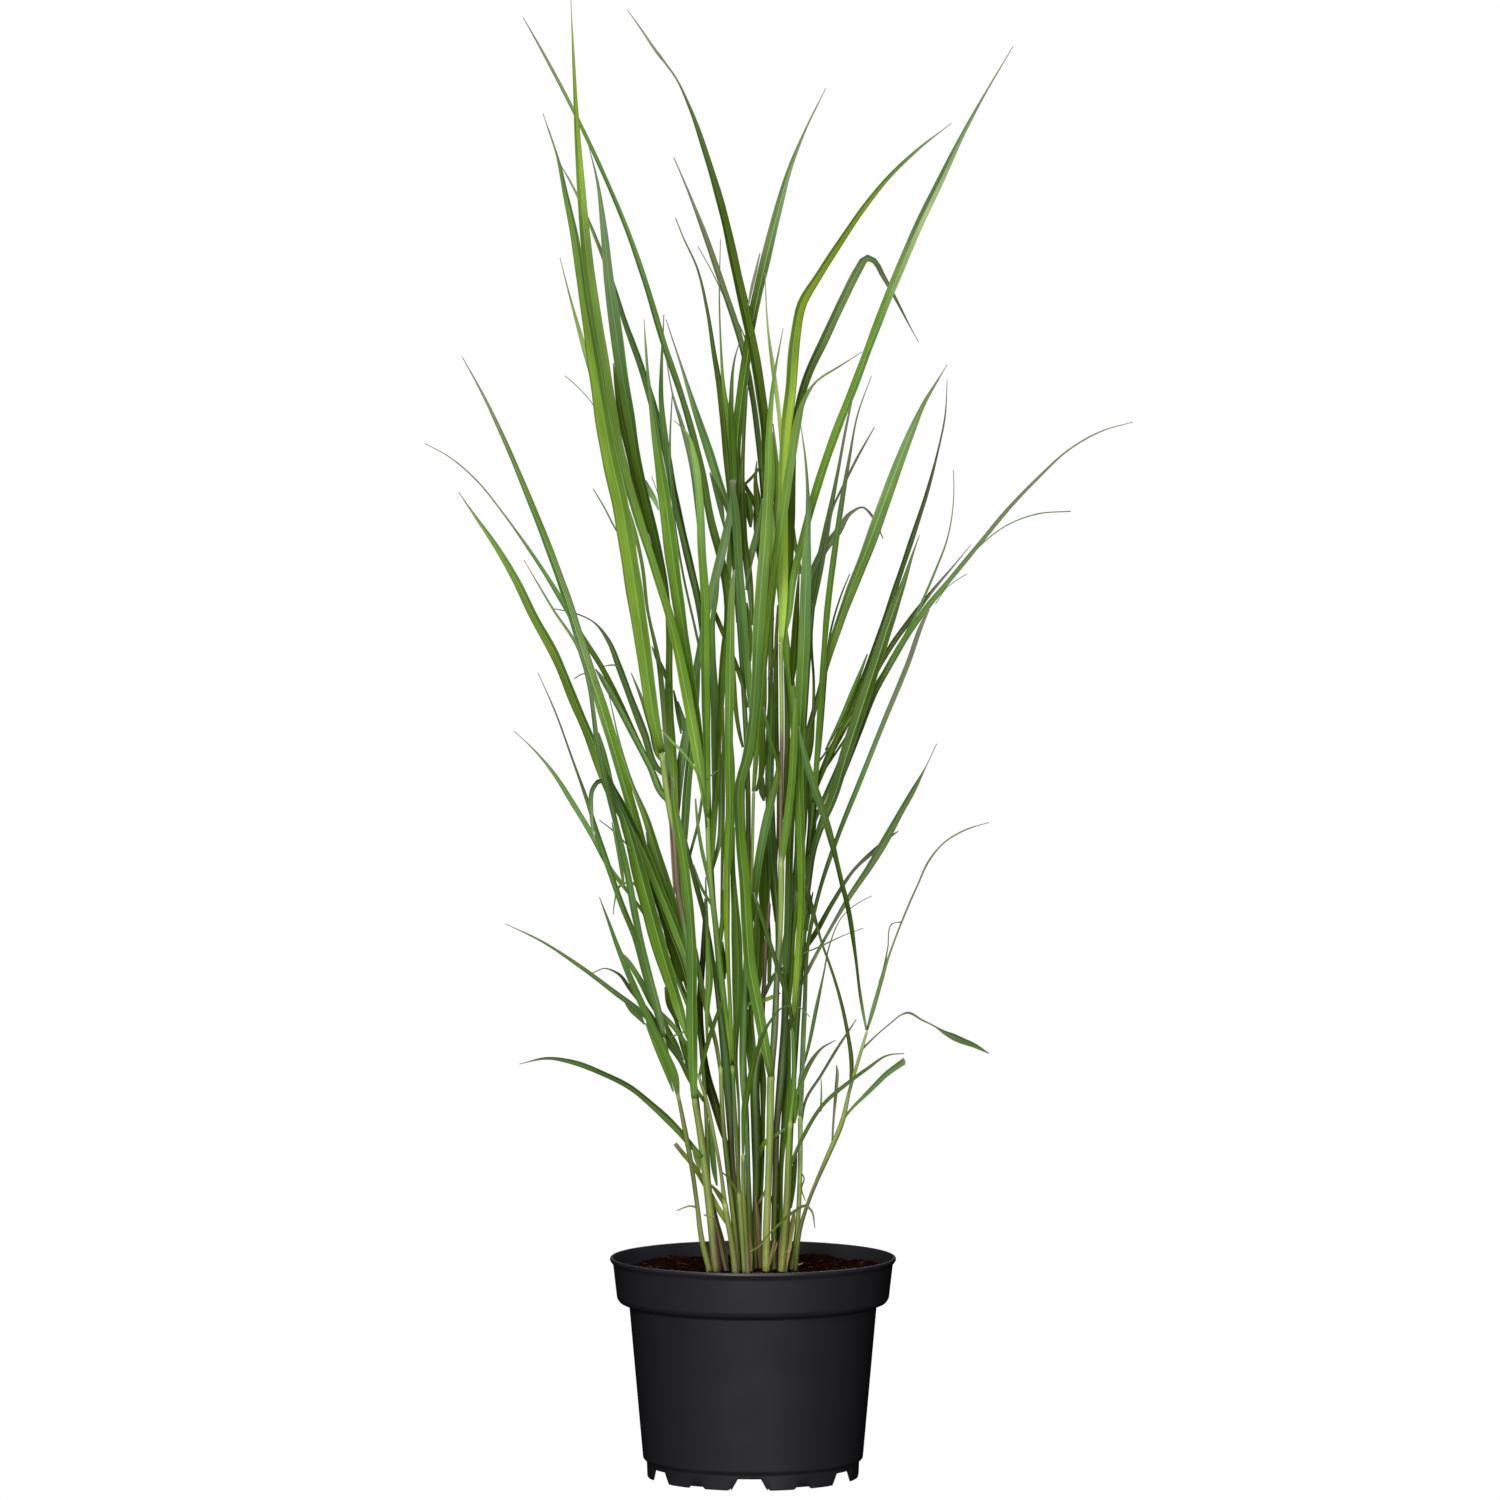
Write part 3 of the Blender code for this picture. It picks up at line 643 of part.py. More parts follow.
def notch_cutter(collection):
    """Six flared blocks through the foot ring and six drain holes through the floor, as one."""
    bm = bmesh.new()
    for n in range(NOTCHES):
        turn = math.radians(NOTCH_TURN + 360.0 * n / NOTCHES)
        made = bmesh.ops.create_cube(bm, size=1.0)["verts"]
        for v in made:
            top = v.co.z > 0
            half = math.tan(math.radians(NOTCH_TOP_ANGLE if top else NOTCH_FOOT_ANGLE) / 2) * FOOT_R
            radius = FOOT_R + (3.0 if v.co.x > 0 else -8.0)
            flat = (radius, half if v.co.y > 0 else -half)
            v.co.x = (flat[0] * math.cos(turn) - flat[1] * math.sin(turn)) * 0.001
            v.co.y = (flat[0] * math.sin(turn) + flat[1] * math.cos(turn)) * 0.001
            v.co.z = (FLOOR_Z - 0.1 if top else -2.0) * 0.001
        hole = bmesh.ops.create_cone(bm, cap_ends=True, segments=8, radius1=DRAIN_R * 0.001,
                                     radius2=DRAIN_R * 0.001, depth=0.0092)["verts"]
        for v in hole:
            v.co.x += DRAIN_RING_R * 0.001 * math.cos(turn)
            v.co.y += DRAIN_RING_R * 0.001 * math.sin(turn)
            v.co.z += FLOOR_Z * 0.001
    mesh = bpy.data.meshes.new("notch_cutter")
    bm.to_mesh(mesh)
    bm.free()
    obj = add_object("notch_cutter", mesh, collection)
    obj.location.x = CENTRE_X * 0.001
    obj.hide_render = True
    obj.display_type = "WIRE"
    return obj


def make_pot(collection, cutters):
    pot = turned("pot", pot_profile(), POT_SIDES, collection)
    pot.location.x = CENTRE_X * 0.001
    cut = pot.modifiers.new("notches", "BOOLEAN")
    cut.operation = "DIFFERENCE"
    cut.solver = "EXACT"
    cut.object = notch_cutter(cutters)
    pot.data.shade_smooth()
    pot.data.set_sharp_from_angle(angle=math.radians(35.0))
    colour(pot, "pot_black_plastic", (0.026, 0.026, 0.029), 0.42)


def make_soil(collection):
    """Soil a hair clear of the pot, level under the crown and lumpy towards the rim."""
    slope = (BODY_TOP_R - BODY_LOW_R) / (BODY_TOP_Z - BODY_LOW_Z)
    low = FLOOR_Z + FLOOR_THICKNESS + GAP
    inner_low = BODY_LOW_R - WALL + slope * (low + 4.0 - BODY_LOW_Z)
    wall = BEAD_R - WALL - (BEAD_Z - SOIL_Z) * (BEAD_R - BAND_R) / (BEAD_Z - BAND_Z)
    profile = [(0.0, SOIL_Z), (CROWN_R * 0.5, SOIL_Z), (CROWN_R, SOIL_Z), (68.0, SOIL_Z),
               (86.0, SOIL_Z), (wall - 7.0, SOIL_Z), (wall - 1.6, SOIL_Z - 1.0),
               (BAND_R - WALL - 2.0, BAND_Z + 2.6), (BODY_TOP_R - WALL - 1.4, BODY_TOP_Z + 0.6),
               (inner_low - 1.4, low + 4.4), (inner_low - 5.6, low), (0.0, low)]
    soil = made_mesh(turned("soil", profile, 24, collection), collection)
    waves = [(0.047, 0.061, 0.4), (-0.083, 0.052, 2.1), (0.021, -0.104, 4.4)]
    for v in soil.data.vertices:
        x, y, r = v.co.x * 1000, v.co.y * 1000, math.hypot(v.co.x, v.co.y) * 1000
        if v.co.z * 1000 > SOIL_Z - 0.5 and r > CROWN_R + 1.0:
            rise = sum(math.sin(a * x + b * y + c) for a, b, c in waves) / 3.0
            v.co.z += SOIL_LUMPS * 0.001 * rise * min(1.0, (r - CROWN_R) / 18.0)
    soil.location.x = CENTRE_X * 0.001
    soil.data.shade_smooth()
    colour(soil, "soil_peat", (0.020, 0.012, 0.009), 0.95)


def make_grass(collection):
    depths = settle()
    grown = {}
    for k, (stem, tip, points) in enumerate(SHOOTS):
        rings = thin_out(sections(points, depths[k], k, 1 if k % 2 else -1), 1.2, 3)
        grown.setdefault(stem, []).append(blade(f"{stem}_shoot_{k:02d}", rings, collection))
    for name in STEMS:
        stem = culm(name, collection)
        stem = join(stem, grown.get(name, []), collection)
        stem.data.shade_smooth()
        stem.data.set_sharp_from_angle(angle=math.radians(40.0))
        colour(stem, name + "_green_culm", (0.115, 0.135, 0.055), 0.5)
    for k, (name, (stem, step, tip, points)) in enumerate(LEAVES.items()):
        rings = thin_out(sections(points, depths[name], name, 1 if k % 2 else -1), 0.7, 6)
        leaf = blade(name, rings, collection)
        leaf.data.shade_smooth()
        leaf.data.set_sharp_from_angle(angle=math.radians(40.0))
        colour(leaf, name + "_green_blade", (0.095, 0.16, 0.045), 0.48)


def main():
    for obj in list(bpy.data.objects):
        bpy.data.objects.remove(obj, do_unlink=True)
    parts = bpy.data.collections.new("miscanthus_in_pot")
    cutters = bpy.data.collections.new("cutters")
    bpy.context.scene.collection.children.link(parts)
    bpy.context.scene.collection.children.link(cutters)
    make_pot(parts, cutters)
    make_soil(parts)
    make_grass(parts)


if __name__ == "__main__":
    main()
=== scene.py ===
import functools
import itertools
import math
from collections import namedtuple

import bpy
import numpy as np
from bpy.props import FloatProperty, FloatVectorProperty, IntProperty, PointerProperty
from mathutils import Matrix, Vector


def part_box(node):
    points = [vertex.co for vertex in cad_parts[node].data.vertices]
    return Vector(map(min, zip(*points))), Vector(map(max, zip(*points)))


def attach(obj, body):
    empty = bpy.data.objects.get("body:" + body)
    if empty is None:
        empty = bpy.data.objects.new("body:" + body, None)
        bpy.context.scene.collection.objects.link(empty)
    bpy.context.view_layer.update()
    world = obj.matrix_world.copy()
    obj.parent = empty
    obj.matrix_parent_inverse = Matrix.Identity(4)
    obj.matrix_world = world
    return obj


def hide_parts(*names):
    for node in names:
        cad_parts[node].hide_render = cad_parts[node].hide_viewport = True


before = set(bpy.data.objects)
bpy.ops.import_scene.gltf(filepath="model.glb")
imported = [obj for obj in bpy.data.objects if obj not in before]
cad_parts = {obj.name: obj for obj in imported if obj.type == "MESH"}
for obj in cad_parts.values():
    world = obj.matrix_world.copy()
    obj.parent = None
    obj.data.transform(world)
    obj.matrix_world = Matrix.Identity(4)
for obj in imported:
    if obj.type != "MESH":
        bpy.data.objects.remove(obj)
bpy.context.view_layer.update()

bl_info = {
    "name": "Miscanthus in a nursery pot",
    "version": (1, 0, 0),
    "blender": (4, 5, 0),
    "location": "View3D > Sidebar > Miscanthus",
    "description": "Builds a clump of miscanthus grass, its soil, its black nursery pot and a pale studio",
    "category": "Add Mesh",
}

POT_LOW, POT_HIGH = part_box("pot")
POT_X = (POT_LOW.x + POT_HIGH.x) * 500.0

# Pot, in millimetres and degrees
WALL, FOOT_WALL, FLOOR_Z, FLOOR_THICKNESS, FLOOR_CORNER = 1.4, 2.2, 9.5, 1.6, 4.0
BODY_LOW_R, BODY_LOW_Z, BODY_TOP_R, BODY_TOP_Z = 88.4, 15.3, 99.4, 138.2
BAND_R, BAND_Z, BEAD_R, BEAD_Z, FOOT_R = 109.2, 144.0, 112.3, 171.0, 85.4
EDGE_ROUNDING = 1.1
NOTCHES, NOTCH_TURN, NOTCH_TOP_ANGLE, NOTCH_FOOT_ANGLE = 6, -92.0, 12.4, 19.5
NOTCH_PITCH = 360.0 / NOTCHES
CORNER_RISE, CORNER_ANGLE = 2.4, 2.2
SHALLOW_RISE, SHALLOW_HALF_ANGLE, SHALLOW_FLANK = 1.9, 5.2, 1.2

# Soil: its level, the crown of culms within which it lies flatter, its gap to the pot, its radius on top
SOIL_Z, CROWN_R, GAP = 166.0, 50.0, 0.3
SOIL_R = BEAD_R - WALL - (BEAD_Z - SOIL_Z) * (BEAD_R - BAND_R) / (BEAD_Z - BAND_Z)
# Waves that make up its lumps: radians a millimetre in x and in y, phase, height
WAVES = ((0.047, 0.061, 0.4, 1.1), (-0.083, 0.052, 2.1, 0.8), (0.021, -0.104, 4.4, 0.8),
         (0.31, 0.17, 1.0, 0.35), (-0.22, 0.37, 2.6, 0.35), (0.63, -0.41, 0.2, 0.22), (0.12, 0.83, 3.9, 0.22))
CRUMB_TONES = ("#0A0504", "#120807", "#1A0C0A", "#230F0D", "#301612")
FIBRE_TONES = ("#140A08", "#1D0E0B", "#28130F", "#351A14", "#553626")
FIBRE_RINGS, FIBRE_SIDES = 6, 3

# Viewpoint from which the blades' curves are stated, in millimetres
EYE = np.array([-2.4, -6000.0, 880.0])

# Blades, in millimetres and degrees, and shares of a blade's width or length
SAMPLES = 72
KEEL, LEAST_KEEL, KEEL_ROUNDING = 0.14, 0.7, 0.06
FULLNESS, LEAST_FULL_WIDTH, LEAST_SEEN_WIDTH, MOST_WIDENING = 1.25, 5.5, 0.6, 1.7
CLASP, DRY_FROM, EVENED_SAMPLES = 0.14, 0.9, 6
SMALL_ROLL, SMALL_ROLL_SPAN, GOLDEN_SECTION = 14.0, 36.0, 0.618034
ACROSS = np.array([-1.0, -0.8, -0.5, -0.2, -0.05, 0.05, 0.2, 0.5, 0.8, 1.0])
WAVE_LENGTH, WAVE_SHARE = 46.0, 0.018
# Casts laid on a blade's two halves: a warm one of painted light and a cool one of painted shade
PAINTED_WARM_LIGHT_HALF, PAINTED_COOL_SHADE_HALF = np.array([1.02, 1.01, 0.8]), np.array([0.99, 1.0, 1.12])
BAKE_CUTS = 4

# Culms, in millimetres: the root lies in the soil, a sheath swells below its collar
CULM_SIDES, CULM_ROOT_Z, CULM_TIP = 16, SOIL_Z - 4.0, 3.2
SWELL_LENGTH, LEAST_SWELL, MOST_SWELL = 18.0, 0.86, 1.16
COLLAR_HEIGHT, COLLAR_TONE, COLLAR_SHARE = 2.6, "#A3B465", 0.75
LIP_HEIGHT, LIP_SWELL, EDGE_SWELL = 1.4, 0.07, 0.035
PAPERY_HEIGHT = 14.0

# Depth of the blades: gap kept to others, furthest from the pot's axis, steepest course, length at the
# root that may touch its culm, margin of the width, the changes of the course that are tried, and what
# each millimetre or unit of a fault costs
CLEARANCE, REACH, STEEPEST, ROOT_LENGTH, MARGIN = 0.7, 172.0, 0.8, 6.0, 0.3
SWINGS = (0, -10, 10, -20, 20, -30, 30, -42, 42, -56, 56, -72, 72, -90, 90)
POWERS = (1.3, 0.9, 1.9, 0.6)
BULGES = (0, -6, 6, -12, 12, -20, 20, -30, 30)
SHORT_COST, SWING_COST, BULGE_COST, POWER_COST, FAR_COST, STEEP_COST = 40.0, 0.25, 0.5, 3.0, 20.0, 60.0

# Depth of the strands: how far from its culm one is sought part of the way to its tip, that part, what a
# millimetre of gap costs against one of depth, and the steepest course
STRAND_FREE, STRAND_PART, GAP_COST, STRAND_STEEPEST = 12.0, 0.7, 10.0, 0.6

# Soft boxes: place and height aimed at, size, share of the key light's power, metres
SOFT_BOXES = {
    "softbox_front": ((-1.15, -4.7, 1.6), 0.5, (1.8, 2.5), 1.0),
    "softbox_front_right": ((1.5, -4.4, 1.0), 0.5, (1.0, 2.0), 0.35),
    "softbox_top": ((-0.3, -0.4, 3.2), 0.4, (2.0, 2.0), 0.3),
    "softbox_back": ((0.1, 2.4, 2.3), 0.15, (1.4, 0.6), 0.12),
    "softbox_rear": ((0.5, 4.6, 1.5), 0.5, (2.2, 2.6), 0.9),
}
SWEEP_REACH, SWEEP_BEND, SWEEP_TOP = 14.0, 3.0, 12.0
CAMERA_AIM_Z = 0.584

# Greens and browns of the blades and culms, partly their own colour and partly painted light and shade: the
# darker letters stand in part for blades in shade, the paler grey-green ones in part for blades turned to the
# light
TONES = {
    "B": "#7EA02A", "Q": "#729638", "T": "#769A4C", "A": "#60862C", "G": "#547826", "F": "#48661C",
    "D": "#3C540E", "X": "#323F12", "J": "#4E6836", "M": "#587E40", "S": "#6E8A5C", "P": "#92AA68",
    "Z": "#6C7260", "O": "#606A24", "C": "#7A883C", "E": "#869E4C", "N": "#606C2E", "U": "#6E604A",
    "V": "#483C2A", "Y": "#949A40", "K": "#948060", "R": "#807250", "L": "#9CC04C",
}

# In the tables a bar parts the fields, and an indented line goes on with the row above it. Tones are
# letters of TONES, each after its place along a blade (0 to 100) or up a culm (millimetres), and two with
# a stroke where the left and right halves differ: painted light and shade that sets the two halves of a
# blade's fold, or the two sides of a culm, apart; r is how much paler the midrib is, in eighths. Points
# are x, z and seen width in millimetres, and the depths are in millimetres too.

# Culms: name, depth at the soil, lean in depth by the top | heights of collars | tones | points
CULM_TABLE = """
stem_01 -10 -14 | 307 352 | 166C/O 200C 240N 290C/N 352F | -35 166 5, -41 190 4.5, -45 220 3.6,
  -49.3 250 3.7, -53.5 273 4, -58.7 300 2.9, -63 320 2.2, -71.3 352 2.4
stem_02 -4 -14 | 304.5 580 | 166R/V 190C/V 215E/C 270E/C 340C 440M 455U 520U 532E 580E | -29 166 8.7,
  -33.3 205 7, -38 245 6.5, -43.5 285 5.5, -47 304.5 4.6, -49 345 4.4, -50 400 4.4, -53 430 4.4,
  -60 470 4.8, -64 520 5, -69 550 5, -72.5 580 5
stem_03 6 6 |  | 166C/U 200E/N 260C 300N 360G 530A | -31 166 3.2, -36 250 3.2, -38 300 3.3, -41 340 3,
  -49 395 3, -54 440 3, -58 490 3, -61 530 3
stem_04 -24 -14 | 219 322 | 166C/U 190C/O 219E/C 250C/U 280E/C 310C 322A | -14 166 6, -16.5 185 5,
  -22.5 219 4.2, -25.5 243 3, -31 273 3, -37.5 303 3, -43.5 322 2.2
stem_05 -12 -8 | 328 | 166O/C 190C 230C/N 250F 285O 328E | -12 166 5, -15.5 205 4, -20 245 4, -24 285 3.8,
  -26 328.5 3
stem_06 0 0 |  | 166O/V 205O 270O/V 325M 400D | -9 166 5, -12 205 4, -16 245 4.5, -18.5 285 5.5,
  -21.5 325 6.5, -25 360 5.5, -28 385 4, -30 400 3.5
stem_07 -17 -14 | 227 329 528 | 166E/U 200E/C 227E 229O/N 329G 335B/A 390A 435G 528E | -6.5 166 4.5,
  -8 190 4.5, -11 227 3.6, -12.8 265 3.8, -15.2 305 3.3, -16.5 329 3.4, -20.5 362 4, -23.5 385 5.5,
  -29 435 5.3, -34 480 5, -36.6 528 4
stem_08 -25 -6 | 258 | 166R/U 190O 230C/O 258G | -4 166 4, -5.5 190 4, -7.5 230 3.5, -8 258 3
stem_09 -8 -10 | 549 | 166C/O 205N/D 285M 360G 400M 440E 549E | -1.5 166 4, -2.5 205 4.5, -4 245 4,
  -5.5 285 3.4, -8 320 5, -7.5 365 6, -6 400 5, -4 440 4, -1.5 480 3, 0.5 549 2.4
stem_10 6 4 | 345 | 166E/V 200C/D 260D 330G/D 355U 460U | 3 166 3.4, 1.8 200 4.5, 3 240 6.5, 2.5 280 8,
  2 320 7, 5.5 345 5, 8 380 4, 10 420 3.5, 13 460 3
stem_11 -14 -16 | 321.5 494.5 668.5 | 166Y/C 200E/Y 240E/C 300E 321E 328M/U 400M/U 440E 495E 500U 590U 605E
  668E | 10.5 166 6.3, 11 200 6, 12.5 240 5.5, 13.7 280 5.8, 14.5 321.5 5.5, 17.8 360 5, 19.3 400 4.5,
  22 445 4.3, 22.5 494.5 5, 22.3 520 3.6, 23 600 3.6, 22.3 668.5 3.6
stem_12 0 4 |  | 166R/O 200O/D 280U/D 340J 405F | 17 166 5, 17 200 5, 18 240 5, 19 280 5, 23 325 7,
  25.5 365 6, 26 405 5
stem_13 -12 -8 | 284.5 365 | 166Y/O 190C/O 230C/O 284B/A 300A 330G 365G | 23.5 166 6, 25.5 190 6,
  28 230 6.2, 29 265 5, 30 284.5 3.6, 32.8 315 4, 33 330 4, 31.8 365 3
stem_14 2 0 | 288 | 166E/U 185E/C 230E 260E/P 288P | 31 166 4.5, 35.5 200 4, 37.3 230 3.8, 38 270 3.8,
  37.9 288.4 3.5
stem_15 -10 -20 | 348 357 | 166X 190O 218N/U 245C/U 262E/C 300E 357P | 34 166 4, 38 200 3.5, 43.8 219 3,
  50 235 3, 60 258 4, 72 287 4, 77 309 2.8, 86.3 341 2.6, 91 357 2
stem_16 14 14 |  | 166V/O 220O/V 300G/D 600D | -29 166 4, -33 205 4, -38 245 4, -43 285 4, -48 330 4,
  -50 400 4, -54 450 4, -60 520 4, -66 560 4, -70 600 3.5
stem_17 20 16 |  | 166V/O 220O/V 300G/D 640F | -12 166 4, -15 205 4, -17.5 245 4, -18 285 4, -20 330 4,
  -25 385 4, -30 440 4, -34 500 4, -36 560 4, -37 640 4, -41 690 3.5
stem_18 28 10 |  | 166V/O 220O/V 300F/D 700F | -2 166 4, -3 205 4, -4 245 4, -5 285 4, -7 330 4, -7 385 4,
  -5 430 4, -4 480 4, -4 550 4, -8 640 4, -12 700 4, -15 760 3.5
stem_19 22 18 |  | 166V/O 220O/V 300G/D 700F | 10 166 4, 11 205 4, 12.5 245 4, 13.7 285 4, 15 330 4,
  18 385 4, 20 430 4, 18 480 4, 15 550 4, 14 620 4, 15 700 4, 16 735 3.5
stem_20 14 18 |  | 166V/O 220O/V 300F/D 700F | 17 166 4, 17.5 205 4, 18.5 250 4, 20 300 4, 25 350 4,
  27 400 4, 31 450 4, 35 500 4, 38 560 4, 42 620 4, 46 680 4, 48 700 3.5
stem_21 10 14 |  | 166V/O 220O/V 300G/D 600F | 26 166 4, 27 205 4, 29 245 4, 31 290 4, 34 340 4, 38 400 4,
  42 450 4, 45 500 4, 49 550 4, 54 600 4, 58 650 3.5
"""

